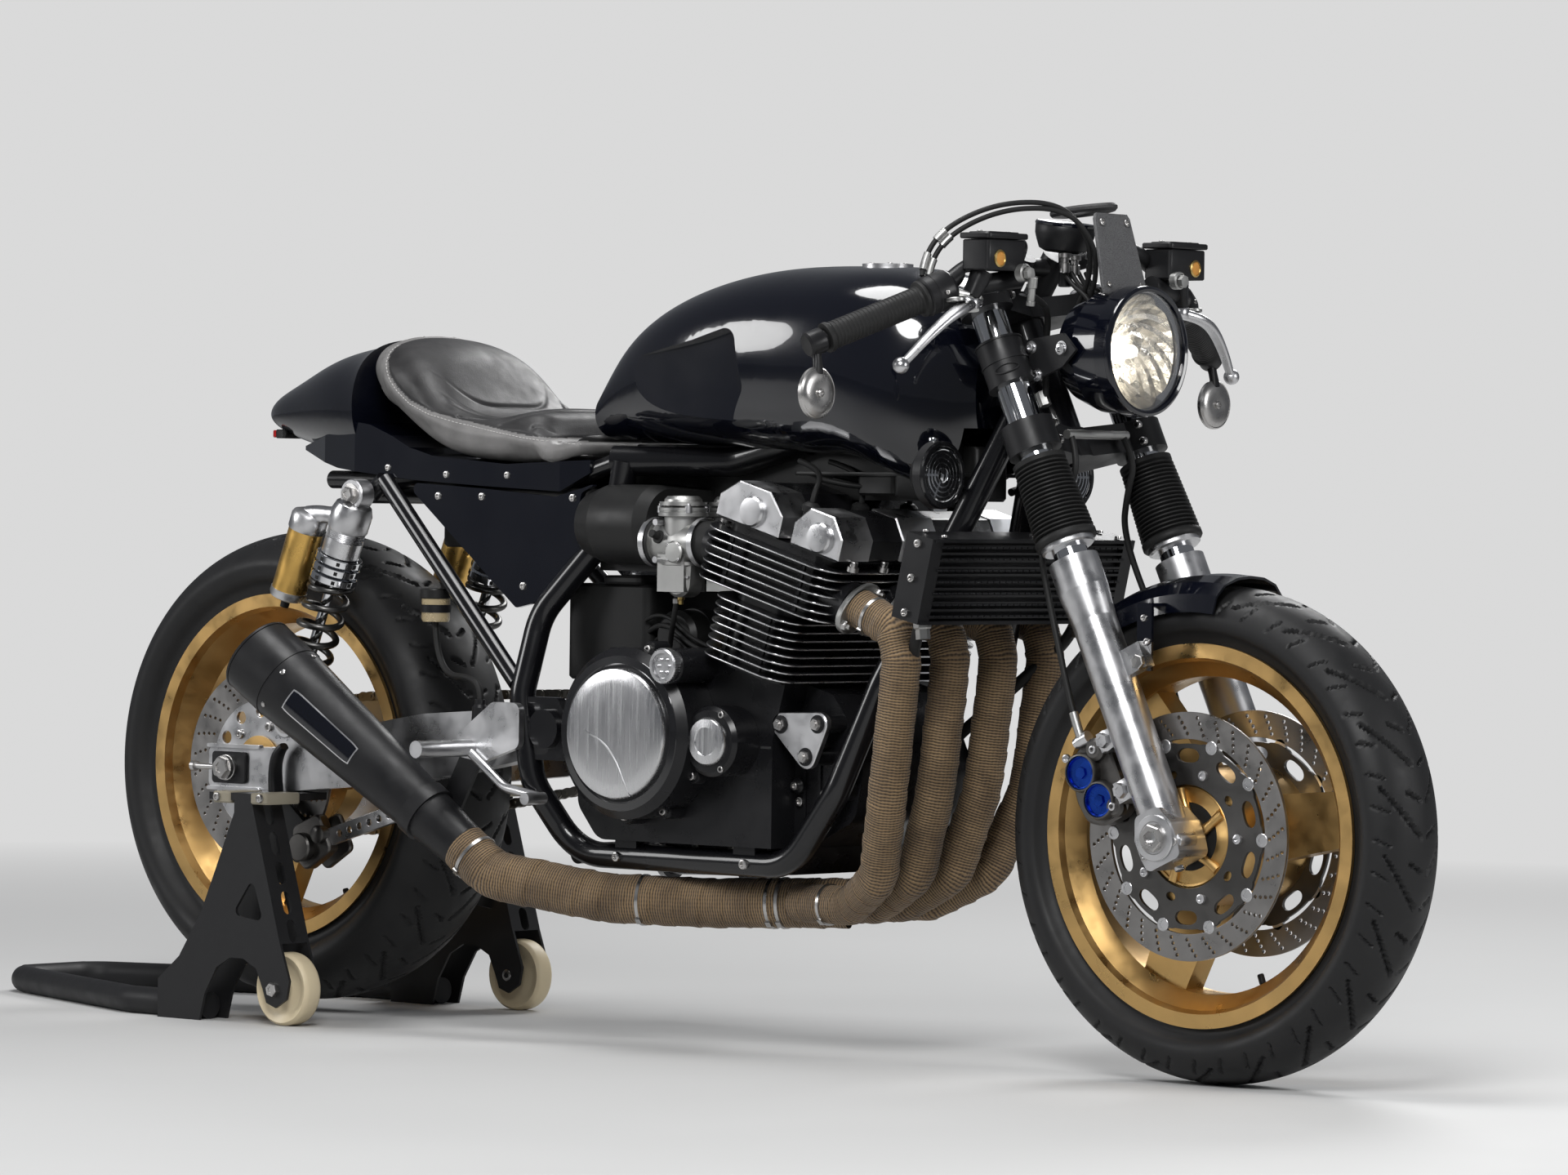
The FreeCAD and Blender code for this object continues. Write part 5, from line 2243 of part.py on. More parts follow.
def main():
    os.makedirs("parts", exist_ok=True)
    front = FRONT_AXLE_X + FRONT_TYRE_R
    shift = V(-(front + STAND_HANDLE_REAR_X) / 2, 0, 0)
    for name, make in NODES.items():
        shape = make()
        shape.translate(shift)
        shape.exportStep("parts/" + name + ".step")


main()
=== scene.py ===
import json
import math

import bmesh
import bpy
import numpy as np
from mathutils import Matrix, Vector


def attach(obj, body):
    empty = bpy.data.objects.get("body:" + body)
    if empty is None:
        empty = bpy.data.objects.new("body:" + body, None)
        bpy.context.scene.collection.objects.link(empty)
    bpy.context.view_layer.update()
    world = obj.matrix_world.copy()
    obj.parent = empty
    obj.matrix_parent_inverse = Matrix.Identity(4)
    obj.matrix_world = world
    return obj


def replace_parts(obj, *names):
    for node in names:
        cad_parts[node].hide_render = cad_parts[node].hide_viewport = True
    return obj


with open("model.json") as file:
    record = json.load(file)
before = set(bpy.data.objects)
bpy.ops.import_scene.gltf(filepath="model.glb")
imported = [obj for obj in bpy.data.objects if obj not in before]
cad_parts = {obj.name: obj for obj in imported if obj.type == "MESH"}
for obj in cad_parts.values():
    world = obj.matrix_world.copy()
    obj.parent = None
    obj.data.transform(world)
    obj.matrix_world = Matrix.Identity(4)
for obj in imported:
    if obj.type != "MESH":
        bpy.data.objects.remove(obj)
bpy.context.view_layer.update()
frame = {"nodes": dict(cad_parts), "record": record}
NODES = frame["nodes"]
MM = 0.001
FORK_Y = 103.5
SHIFT_X = -657.5
scene = bpy.context.scene


def at(x, y, z):
    """A point of the layout (mm from the rear axle line) in the shared frame (m)."""
    return Vector(((x + SHIFT_X) * MM, y * MM, z * MM))


# Camera at the photograph's viewpoint
def place_camera():
    yaw, pitch, roll = 0.7201577, 0.0131953, 0.0132119
    ahead = Vector((-math.sin(yaw) * math.cos(pitch), math.cos(yaw) * math.cos(pitch),
                    -math.sin(pitch)))
    right = Vector((math.cos(yaw), math.sin(yaw), 0))
    up = right.cross(ahead)
    across = right * math.cos(roll) + up * math.sin(roll)
    upright = up * math.cos(roll) - right * math.sin(roll)
    data = bpy.data.cameras.new("camera")
    data.sensor_width = 36
    data.lens = 160.98
    data.clip_end = 60
    camera = bpy.data.objects.new("camera", data)
    turn = Matrix((across, upright, -ahead)).transposed()
    camera.matrix_world = Matrix.Translation(at(6689.464, -6673.703, 701.215)) @ turn.to_4x4()
    scene.collection.objects.link(camera)
    scene.camera = camera


# Materials
class Shader:
    """A short way to write a node tree round one Principled shader."""

    def __init__(self, name, color, rough, metal=0.0):
        self.mat = bpy.data.materials.new(name)
        self.mat.use_nodes = True
        self.tree = self.mat.node_tree
        self.bsdf = self.tree.nodes["Principled BSDF"]
        self.set("Base Color", (*color, 1))
        self.set("Roughness", rough)
        self.set("Metallic", metal)
        self.color = color
        self.rough = rough
        self.place = None
        self.height = None

    def set(self, socket, value):
        self.bsdf.inputs[socket].default_value = value
        return self

    def node(self, kind, **values):
        node = self.tree.nodes.new(kind)
        for key, value in values.items():
            if key.startswith("_"):
                setattr(node, key[1:], value)
            else:
                node.inputs[key.replace("__", " ")].default_value = value
        return node

    def link(self, out, into):
        self.tree.links.new(out, into)
        return self

    def coords(self):
        if self.place is None:
            self.place = self.node("ShaderNodeTexCoord").outputs["Object"]
        return self.place

    def noise(self, scale, detail=4.0, rough=0.55, stretch=None):
        out = self.coords()
        if stretch:
            mapping = self.node("ShaderNodeMapping")
            mapping.inputs["Scale"].default_value = stretch
            self.link(out, mapping.inputs["Vector"])
            out = mapping.outputs["Vector"]
        noise = self.node("ShaderNodeTexNoise", Scale=scale, Detail=detail, Roughness=rough)
        self.link(out, noise.inputs["Vector"])
        return noise.outputs["Fac"]

    def span(self, out, low, high, start=0.3, end=0.7):
        node = self.node("ShaderNodeMapRange", From__Min=start, From__Max=end, To__Min=low,
                         To__Max=high)
        self.link(out, node.inputs["Value"])
        return node.outputs["Result"]

    def vary_color(self, out, other, start=0.35, end=0.65):
        ramp = self.node("ShaderNodeValToRGB")
        ramp.color_ramp.elements[0].position = start
        ramp.color_ramp.elements[1].position = end
        ramp.color_ramp.elements[0].color = (*self.color, 1)
        ramp.color_ramp.elements[1].color = (*other, 1)
        self.link(out, ramp.inputs["Fac"])
        self.link(ramp.outputs["Color"], self.bsdf.inputs["Base Color"])
        return self

    def vary_rough(self, out, low, high, start=0.3, end=0.7):
        self.link(self.span(out, low, high, start, end), self.bsdf.inputs["Roughness"])
        return self

    def bump(self, out, distance, strength=1.0):
        node = self.node("ShaderNodeBump", Strength=strength, Distance=distance)
        self.link(out, node.inputs["Height"])
        if self.height is not None:
            self.link(self.height, node.inputs["Normal"])
        self.height = node.outputs["Normal"]
        self.link(self.height, self.bsdf.inputs["Normal"])
        return self


def paint(name, color, rough=0.12):
    shade = Shader(name, color, rough)
    shade.set("Coat Weight", 1.0).set("Coat Roughness", 0.025).set("Specular IOR Level", 0.25)
    shade.vary_rough(shade.noise(9.0), rough, rough + 0.08)
    shade.bump(shade.noise(160.0, 2.0), 0.000008, 0.12)
    return shade


def satin(name, color, rough=0.38, grain=900.0):
    shade = Shader(name, color, rough)
    shade.set("Specular IOR Level", 0.28)
    shade.vary_rough(shade.noise(24.0), rough - 0.07, rough + 0.12)
    shade.bump(shade.noise(grain, 3.0), 0.00004, 0.4)
    return shade


def metal(name, color, rough=0.25, grain=600.0, depth=0.00003, stretch=None):
    shade = Shader(name, color, rough, 1.0)
    darker = tuple(c * 0.87 for c in color)
    shade.vary_color(shade.noise(14.0, 6.0), darker)
    shade.vary_rough(shade.noise(30.0, 6.0), rough * 0.7, rough * 1.5)
    shade.bump(shade.noise(grain, 2.0, stretch=stretch), depth * 0.5, 0.35)
    return shade


def leather(name, color, rough):
    """Fine pebble grain with soft creases and rubbed, paler patches spread at random."""
    shade = Shader(name, color, rough)
    pale = tuple(min(c * 1.5 + 0.01, 1) for c in color)
    shade.vary_color(shade.noise(16.0, 6.0), pale)
    shade.vary_rough(shade.noise(38.0, 5.0), rough - 0.06, rough + 0.12)
    shade.set("Specular IOR Level", 0.35)
    grain = shade.node("ShaderNodeTexVoronoi", Scale=620.0)
    shade.link(shade.coords(), grain.inputs["Vector"])
    shade.bump(grain.outputs["Distance"], 0.00022, 0.5)
    shade.bump(shade.noise(60.0, 6.0, 0.6), 0.0006, 0.35)
    return shade


def brushed(name, color, rough):
    """Polished metal with fine straight brush marks."""
    shade = Shader(name, color, rough, 1.0)
    marks = shade.noise(400.0, 3.0, 0.6, (1.0, 1.0, 0.03))
    shade.vary_rough(marks, rough - 0.04, rough + 0.06)
    shade.bump(marks, 0.00001, 0.3)
    return shade


def dimpled(name, color, rough, cells):
    """Moulded plastic with a close pattern of small dimples."""
    shade = Shader(name, color, rough)
    cell = shade.node("ShaderNodeTexVoronoi", Scale=cells)
    shade.link(shade.coords(), cell.inputs["Vector"])
    shade.vary_color(cell.outputs["Distance"], tuple(c * 0.3 for c in color), 0.2, 0.7)
    shade.vary_rough(shade.noise(40.0), rough - 0.08, rough + 0.1)
    shade.bump(cell.outputs["Distance"], 0.0004, 0.6)
    return shade


def tape_wrap():
    """Glass-fibre pipe tape: close ribs across it, crossed by loose threads, with painted shade
    dark in the grooves between them and paler crests.
    """
    shade = Shader("wrap", (0.26, 0.165, 0.085), 0.8)
    uv = shade.node("ShaderNodeUVMap").outputs["UV"]
    bend = shade.node("ShaderNodeVectorMath", _operation="MULTIPLY_ADD")
    jitter = shade.node("ShaderNodeTexNoise", Scale=95.0, Detail=3.0)
    shade.link(shade.coords(), jitter.inputs["Vector"])
    shade.link(jitter.outputs["Color"], bend.inputs[0])
    bend.inputs[1].default_value = (0.0030, 0.0030, 0.0)
    shade.link(uv, bend.inputs[2])
    ribs = shade.node("ShaderNodeTexWave", Scale=90.0, Distortion=0.0)
    ribs.wave_type = "BANDS"
    ribs.bands_direction = "Y"
    shade.link(bend.outputs[0], ribs.inputs["Vector"])
    threads = shade.node("ShaderNodeTexWave", Scale=63.0, Distortion=0.0)
    threads.wave_type = "BANDS"
    threads.bands_direction = "X"
    shade.link(bend.outputs[0], threads.inputs["Vector"])
    weave = shade.node("ShaderNodeMath", _operation="MULTIPLY_ADD")
    shade.link(threads.outputs["Fac"], weave.inputs[0])
    weave.inputs[1].default_value = 0.22
    shade.link(ribs.outputs["Fac"], weave.inputs[2])
    # painted shade: colour runs from a shaded brown in the grooves of the weave to a lit brown on
    # the crests
    ramp = shade.node("ShaderNodeValToRGB")
    shade_to_lit_stops = ramp.color_ramp.elements
    shade_to_lit_stops[0].position, shade_to_lit_stops[0].color = 0.10, (0.040, 0.026, 0.013, 1)
    shade_to_lit_stops[1].position, shade_to_lit_stops[1].color = 0.95, (0.26, 0.172, 0.085, 1)
    middle = shade_to_lit_stops.new(0.45)
    middle.color = (0.15, 0.098, 0.054, 1)
    shade.link(weave.outputs[0], ramp.inputs["Fac"])
    soot = shade.node("ShaderNodeMix", _data_type="RGBA", _blend_type="MULTIPLY")
    shade.link(shade.span(shade.noise(18.0, 5.0), 0.0, 0.75, 0.42, 0.70), soot.inputs[0])
    shade.link(ramp.outputs["Color"], soot.inputs[6])
    soot.inputs[7].default_value = (0.34, 0.30, 0.27, 1)
    shade.link(soot.outputs[2], shade.bsdf.inputs["Base Color"])
    shade.set("Sheen Weight", 0.1)
    shade.bump(weave.outputs[0], 0.0012, 0.9)
    shade.bump(shade.noise(240.0, 4.0), 0.0004, 0.5)
    return shade


def reflector_with_painted_glow():
    """The bowl with a painted glow: emission painted brightest round the bulb, fading to silver at
    the rim, as a painted reflection of the bulb's light.
    """
    shade = Shader("lamp_reflector", (0.85, 0.84, 0.80), 0.16, 1.0)
    lamp = at(1411, 0, 881)
    shift = shade.node("ShaderNodeVectorMath", _operation="SUBTRACT")
    shade.link(shade.coords(), shift.inputs[0])
    shift.inputs[1].default_value = lamp
    flat = shade.node("ShaderNodeVectorMath", _operation="MULTIPLY")
    shade.link(shift.outputs[0], flat.inputs[0])
    flat.inputs[1].default_value = (0, 1, 1)
    length = shade.node("ShaderNodeVectorMath", _operation="LENGTH")
    shade.link(flat.outputs[0], length.inputs[0])
    # painted glow: emission strength falls off with distance from the lamp's axis
    glow = shade.span(length.outputs["Value"], 2.6, 0.15, 0.010, 0.060)
    # facets break the painted glow into separate painted reflections of the bulb
    facet = shade.node("ShaderNodeTexVoronoi", Scale=95.0)
    shade.link(shade.coords(), facet.inputs["Vector"])
    painted_glow_strength = shade.node("ShaderNodeMath", _operation="MULTIPLY")
    shade.link(glow, painted_glow_strength.inputs[0])
    shade.link(shade.span(facet.outputs["Color"], 0.1, 1.0, 0.25, 0.8), painted_glow_strength.inputs[1])
    shade.set("Emission Color", (1.0, 0.88, 0.68, 1))
    shade.link(painted_glow_strength.outputs[0], shade.bsdf.inputs["Emission Strength"])
    shade.bump(shade.noise(120.0, 3.0), 0.001, 0.6)
    return shade


FINISHES = {
    "gloss_black_paint": (paint, (0.002, 0.0026, 0.006), 0.1),
    "engine_black": (satin, (0.008, 0.008, 0.009), 0.27, 500.0),
    "satin_black": (satin, (0.010, 0.010, 0.011), 0.38),
    "stand_black": (satin, (0.013, 0.013, 0.014), 0.48, 300.0),
    "bright_aluminium": (metal, (0.60, 0.60, 0.61), 0.3),
    "cast_aluminium": (metal, (0.42, 0.42, 0.41), 0.42, 900.0, 0.0001),
    "chrome": (metal, (0.78, 0.79, 0.81), 0.07, 300.0, 0.000005),
    "steel": (metal, (0.50, 0.49, 0.48), 0.28),
    "gold_wheel": (metal, (0.60, 0.385, 0.15), 0.34, 700.0, 0.00005),
    "rubber": (satin, (0.011, 0.011, 0.011), 0.55, 1200.0),
    "tyre": (satin, (0.012, 0.012, 0.0125), 0.50, 800.0),
    "seat_leather": (leather, (0.018, 0.0175, 0.018), 0.44),
    "roll_leather": (leather, (0.125, 0.122, 0.12), 0.48),
    "thread": (satin, (0.42, 0.41, 0.40), 0.7, 2500.0),
    "disc_steel": (metal, (0.27, 0.262, 0.255), 0.34, 500.0, 0.00002),
    "carrier_dark": (metal, (0.10, 0.097, 0.094), 0.42, 900.0, 0.00005),
    "chain_steel": (metal, (0.34, 0.32, 0.29), 0.36, 700.0, 0.00004),
    "blue_anodised": (metal, (0.02, 0.075, 0.45), 0.24),
    "gold_anodised": (metal, (0.72, 0.45, 0.13), 0.3),
    # fin_edge: bright metal that paints the highlight on the fin rims; also used for the crankcase
    # joint lines
    "fin_edge": (metal, (0.55, 0.55, 0.56), 0.24),
    "pale_plastic": (satin, (0.60, 0.58, 0.52), 0.35, 900.0),
    "brass": (metal, (0.58, 0.42, 0.16), 0.3),
    "gloss_engine": (paint, (0.008, 0.008, 0.009), 0.14),
    "brushed_face": (brushed, (0.58, 0.58, 0.59), 0.24),
    "caliper_grey": (metal, (0.13, 0.125, 0.12), 0.4, 900.0, 0.00006),
    "spring_grey": (metal, (0.10, 0.098, 0.095), 0.32, 900.0, 0.00003),
    "mirror_face": (metal, (0.80, 0.82, 0.84), 0.04, 200.0, 0.000002),
    "gauge_dark": (satin, (0.01, 0.01, 0.012), 0.12, 700.0),
    "mesh_plastic": (dimpled, (0.035, 0.035, 0.037), 0.5, 900.0),
    "textured_grey": (dimpled, (0.14, 0.14, 0.145), 0.6, 1300.0),
    "red_plastic": (satin, (0.42, 0.02, 0.02), 0.3),
    "pad_khaki": (satin, (0.26, 0.235, 0.18), 0.5, 400.0),
    "black_plastic": (satin, (0.011, 0.011, 0.011), 0.42, 1500.0),
    "roller_cream": (satin, (0.66, 0.56, 0.38), 0.38, 500.0),
}


def build_materials():
    m = {name: make(name, *values) for name, (make, *values) in FINISHES.items()}
    m["frame_black"] = paint("frame_black", (0.004, 0.004, 0.005), 0.24).set("Coat Weight", 0.45)
    m["wrap"] = tape_wrap()
    glass = Shader("lamp_glass", (0.95, 0.93, 0.88), 0.08)
    glass.set("Emission Color", (1.0, 0.90, 0.74, 1)).set("Emission Strength", 1.4)
    m["lamp_glass"] = glass
    clear = Shader("clear_glass", (0.97, 0.97, 0.97), 0.02)
    clear.set("Transmission Weight", 1.0).set("IOR", 1.25)
    m["clear_glass"] = clear
    m["lamp_reflector"] = reflector_with_painted_glow()
    bulb = Shader("lamp_bulb", (1.0, 0.95, 0.85), 0.3)
    bulb.set("Emission Color", (1.0, 0.92, 0.78, 1)).set("Emission Strength", 9.0)
    m["lamp_bulb"] = bulb
    red = Shader("tail_red", (0.35, 0.01, 0.01), 0.15)
    red.bump(red.noise(300.0), 0.0002, 0.5).vary_rough(red.noise(40.0), 0.1, 0.25)
    m["tail_red"] = red
    amber = Shader("amber_glass", (0.55, 0.26, 0.06), 0.08)
    amber.vary_rough(amber.noise(90.0), 0.05, 0.14)
    m["amber_glass"] = amber
    cup = Shader("amber_cup", (0.62, 0.50, 0.30), 0.25)
    cup.set("Transmission Weight", 0.35).vary_rough(cup.noise(60.0), 0.18, 0.34)
    cup.bump(cup.noise(500.0), 0.0001, 0.3)
    m["amber_cup"] = cup
    return m


def dress_nodes(materials):
    for part in frame["record"]["subparts"]:
        node = NODES.get(part["node"])
        material = materials[part["material_slot"]].mat
        if not node.data.materials:
            node.data.materials.append(material)
        for index in range(len(node.material_slots)):
            node.material_slots[index].material = material


# Stage
def fade_far(shade):
    """Far from the middle the camera sees the backdrop's tone in the floor."""
    length = shade.node("ShaderNodeVectorMath", _operation="LENGTH")
    shade.link(shade.coords(), length.inputs[0])
    seen = shade.node("ShaderNodeLightPath")
    far = shade.node("ShaderNodeMath", _operation="MULTIPLY")
    shade.link(shade.span(length.outputs["Value"], 0.0, 1.0, 1.6, 5.0), far.inputs[0])
    shade.link(seen.outputs["Is Camera Ray"], far.inputs[1])
    tone = shade.node("ShaderNodeEmission")
    tone.inputs["Color"].default_value = (*BACKDROP, 1)
    mix = shade.node("ShaderNodeMixShader")
    shade.link(far.outputs[0], mix.inputs[0])
    shade.link(shade.bsdf.outputs[0], mix.inputs[1])
    shade.link(tone.outputs[0], mix.inputs[2])
    shade.link(mix.outputs[0], shade.tree.nodes["Material Output"].inputs["Surface"])


BACKDROP = (0.70, 0.70, 0.70)


def build_stage():
    mesh = bpy.data.meshes.new("floor")
    size = 14.0
    mesh.from_pydata([(-size, -size, 0), (size, -size, 0), (size, size, 0), (-size, size, 0)], [],
                     [(0, 1, 2, 3)])
    floor = bpy.data.objects.new("floor", mesh)
    scene.collection.objects.link(floor)
    shade = Shader("floor", (0.56, 0.56, 0.555), 0.6)
    shade.vary_rough(shade.noise(3.0, 6.0), 0.62, 0.68)
    fade_far(shade)
    mesh.materials.append(shade.mat)
    world = bpy.data.worlds.new("world")
    scene.world = world
    world.use_nodes = True
    tree = world.node_tree
    background = tree.nodes["Background"]
    seen = tree.nodes.new("ShaderNodeLightPath")
    mix = tree.nodes.new("ShaderNodeMix")
    mix.data_type = "RGBA"
    mix.inputs[6].default_value = (0.125, 0.13, 0.14, 1)
    mix.inputs[7].default_value = (*BACKDROP, 1)
    tree.links.new(seen.outputs["Is Camera Ray"], mix.inputs[0])
    tree.links.new(mix.outputs[2], background.inputs["Color"])
    background.inputs["Strength"].default_value = 1.0
    lamps = [("key", at(3000, -3000, 2900), 1.6, 120, at(900, 0, 500)),
             ("fill", at(-2400, -3000, 1900), 1.6, 55, at(600, 0, 500)),
             ("rim", at(-200, 3200, 2800), 1.8, 80, at(800, 0, 500)),
             ("front", at(4400, 900, 1500), 1.2, 32, at(1400, 0, 500)),
             ("top", at(700, -500, 3300), 1.4, 55, at(800, 0, 400)), ]
    for name, spot, size, power, aim in lamps:
        data = bpy.data.lights.new(name, "AREA")
        data.energy = power
        data.shape = "DISK"
        data.size = size
        lamp = bpy.data.objects.new(name, data)
        lamp.location = spot
        lamp.rotation_euler = (aim - spot).to_track_quat("-Z", "Y").to_euler()
        scene.collection.objects.link(lamp)


MATERIALS = {}


# Mesh helpers
def new_object(name, verts, faces, body, material, smooth=True, auto=None):
    mesh = bpy.data.meshes.new(name)
    mesh.from_pydata([tuple(v) for v in verts], [], faces)
    mesh.update()
    obj = bpy.data.objects.new(name, mesh)
    scene.collection.objects.link(obj)
    mesh.materials.append(MATERIALS[material].mat if material in MATERIALS else material)
    if smooth:
        for poly in mesh.polygons:
            poly.use_smooth = True
    if auto is not None:
        sharpen(obj, auto)
    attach(obj, body)
    return obj


def sharpen(obj, degrees):
    """Edges that turn by more than this stay crisp under smooth shading."""
    bm = bmesh.new()
    bm.from_mesh(obj.data)
    limit = math.radians(degrees)
    for edge in bm.edges:
        if len(edge.link_faces) == 2 and edge.calc_face_angle(0) > limit:
            edge.smooth = False
    bm.to_mesh(obj.data)
    bm.free()


def grid_faces(rows, cols, wrap_rows=False, wrap_cols=False, start=0):
    faces = []
    for i in range(rows if wrap_rows else rows - 1):
        for j in range(cols if wrap_cols else cols - 1):
            a = start + i * cols + j
            b = start + i * cols + (j + 1) % cols
            c = start + ((i + 1) % rows) * cols + (j + 1) % cols
            d = start + ((i + 1) % rows) * cols + j
            faces.append((a, b, c, d))
    return faces


class Build:
    """Collects verts and faces of many small solids for one object."""

    def __init__(self):
        self.verts = []
        self.faces = []

    def add(self, verts, faces):
        start = len(self.verts)
        self.verts += [Vector(v) for v in verts]
        self.faces += [tuple(start + i for i in face) for face in faces]
        return self

    def lathe(self, profile, centre, axis, count=24, closed=False):
        """Turn (radius, along) pairs, in metres, round an axis."""
        axis = Vector(axis).normalized()
        aside = axis.orthogonal().normalized()
        other = axis.cross(aside)
        verts = []
        for radius, along in profile:
            for step in range(count):
                angle = math.tau * step / count
                verts.append(Vector(centre) + axis * along
                             + (aside * math.cos(angle) + other * math.sin(angle)) * radius)
        rows = len(profile)
        faces = grid_faces(rows, count, wrap_rows=closed, wrap_cols=True)
        if not closed:
            faces.append(tuple(range(count))[::-1])
            faces.append(tuple((rows - 1) * count + i for i in range(count)))
        return self.add(verts, faces)

    def bolt(self, centre, axis, radius, height, socket=True, washer=0.0):
        """A rounded cap screw with a hexagon socket, seated at centre."""
        r, h = radius, height
        if washer:
            self.lathe([(washer, 0), (washer, h * 0.12), (r, h * 0.14)], centre, axis, 24)
        profile = [(r, 0), (r, h * 0.72), (r * 0.93, h * 0.92), (r * 0.82, h)]
        if socket:
            profile += [(r * 0.52, h), (r * 0.50, h * 0.45), (0.0001, h * 0.40)]
        else:
            profile += [(0.0001, h * 1.08)]
        return self.lathe(profile, centre, axis, 18)

    def hex_nut(self, centre, axis, radius, height):
        axis = Vector(axis).normalized()
        aside = axis.orthogonal().normalized()
        other = axis.cross(aside)
        rings = [(1.0, 0.0), (1.0, 0.82), (0.90, 1.0), (0.5, 1.0), (0.48, 0.85), (0.001, 0.85)]
        verts = []
        for share, up in rings:
            for step in range(6):
                angle = math.pi / 3 * step
                verts.append(Vector(centre) + axis * (height * up)
                             + (aside * math.cos(angle) + other * math.sin(angle)) * radius * share)
        return self.add(verts, grid_faces(len(rings), 6, wrap_cols=True) + [tuple(range(6))[::-1]])

    def box(self, low, high, frame_matrix=None):
        x0, y0, z0 = low
        x1, y1, z1 = high
        verts = [Vector(p) for p in ((x0, y0, z0), (x1, y0, z0), (x1, y1, z0), (x0, y1, z0),
                                     (x0, y0, z1), (x1, y0, z1), (x1, y1, z1), (x0, y1, z1))]
        if frame_matrix is not None:
            verts = [frame_matrix @ v for v in verts]
        return self.add(verts, [(3, 2, 1, 0), (4, 5, 6, 7), (0, 1, 5, 4), (1, 2, 6, 5),
                                (2, 3, 7, 6), (3, 0, 4, 7)])

    def tube(self, path, radius, count=12, closed=False, cap=True):
        """A tube along close points, with a radius for all or one a point."""
        radii = radius if hasattr(radius, "__len__") else [radius] * len(path)
        verts = sweep(path, [[(math.cos(math.tau * k / count) * r,
                               math.sin(math.tau * k / count) * r) for k in range(count)]
                             for r in radii], closed)
        faces = grid_faces(len(path), count, wrap_rows=closed, wrap_cols=True)
        if cap and not closed:
            faces.append(tuple(range(count))[::-1])
            last = (len(path) - 1) * count
            faces.append(tuple(last + i for i in range(count)))
        return self.add(verts, faces)

    def done(self, name, body, material, smooth=True, auto=35):
        return new_object(name, self.verts, self.faces, body, material, smooth, auto)


def sweep(path, sections, closed=False, up=None):
    """Place each flat section square to the path without twist."""
    path = [Vector(p) for p in path]
    count = len(path)
    verts = []
    normal = None
    for i, point in enumerate(path):
        if closed:
            tangent = path[(i + 1) % count] - path[i - 1]
        else:
            tangent = path[min(i + 1, count - 1)] - path[max(i - 1, 0)]
        tangent.normalize()
        if normal is None:
            normal = Vector(up) if up else tangent.orthogonal()
        normal = (normal - tangent * normal.dot(tangent)).normalized()
        side = tangent.cross(normal)
        for a, b in sections[i]:
            verts.append(point + normal * a + side * b)
    return verts


def smooth_path(points, steps=14, order=3):
    """Points read from a curve that is drawn through a route's corners."""
    data = bpy.data.curves.new("path", "CURVE")
    data.dimensions = "3D"
    data.resolution_u = steps
    spline = data.splines.new("NURBS")
    spline.points.add(len(points) - 1)
    for spot, point in zip(spline.points, points):
        spot.co = (*point, 1)
    spline.order_u = order
    spline.use_endpoint_u = True
    holder = bpy.data.objects.new("path", data)
    mesh = bpy.data.meshes.new_from_object(holder)
    result = [v.co.copy() for v in mesh.vertices]
    bpy.data.objects.remove(holder)
    bpy.data.curves.remove(data)
    bpy.data.meshes.remove(mesh)
    return result


def side_name(side):
    return "right" if side < 0 else "left"


def circle(cx, cy, radius, count):
    return [(cx + radius * math.cos(math.tau * k / count),
             cy + radius * math.sin(math.tau * k / count)) for k in range(count)]


def flat_shape(name, loops, thickness, placement, body, material, bevel=0.0, auto=30):
    """A plate with holes: loops are lists of flat points, placed by a matrix."""
    data = bpy.data.curves.new(name, "CURVE")
    data.dimensions = "2D"
    data.fill_mode = "BOTH"
    data.extrude = max(thickness / 2 - bevel, 0)
    data.bevel_depth = bevel
    data.bevel_resolution = 1
    data.offset = -bevel
    for loop in loops:
        spline = data.splines.new("POLY")
        spline.points.add(len(loop) - 1)
        for spot, point in zip(spline.points, loop):
            spot.co = (point[0], point[1], 0, 1)
        spline.use_cyclic_u = True
    holder = bpy.data.objects.new(name, data)
    mesh = bpy.data.meshes.new_from_object(holder)
    bpy.data.objects.remove(holder)
    bpy.data.curves.remove(data)
    mesh.transform(placement)
    mesh.name = name
    obj = bpy.data.objects.new(name, mesh)
    scene.collection.objects.link(obj)
    mesh.materials.clear()
    mesh.materials.append(MATERIALS[material].mat)
    bm = bmesh.new()
    bm.from_mesh(mesh)
    bmesh.ops.remove_doubles(bm, verts=bm.verts, dist=1e-6)
    bm.to_mesh(mesh)
    bm.free()
    face_way = (placement.to_3x3() @ Vector((0, 0, 1))).normalized()
    for poly in mesh.polygons:
        poly.use_smooth = abs(poly.normal.dot(face_way)) < 0.999
    sharpen(obj, auto)
    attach(obj, body)
    return obj


def side_plane(centre_y, centre=(0, 0)):
    """Flat points (x, z) stood upright in side view at one Y."""
    cx, cz = centre
    return Matrix(((1, 0, 0, cx), (0, 0, -1, centre_y), (0, 1, 0, cz), (0, 0, 0, 1)))


# Wheels
FRONT_HUB = at(1540, 0, 300)
REAR_HUB = at(0, 0, 330)


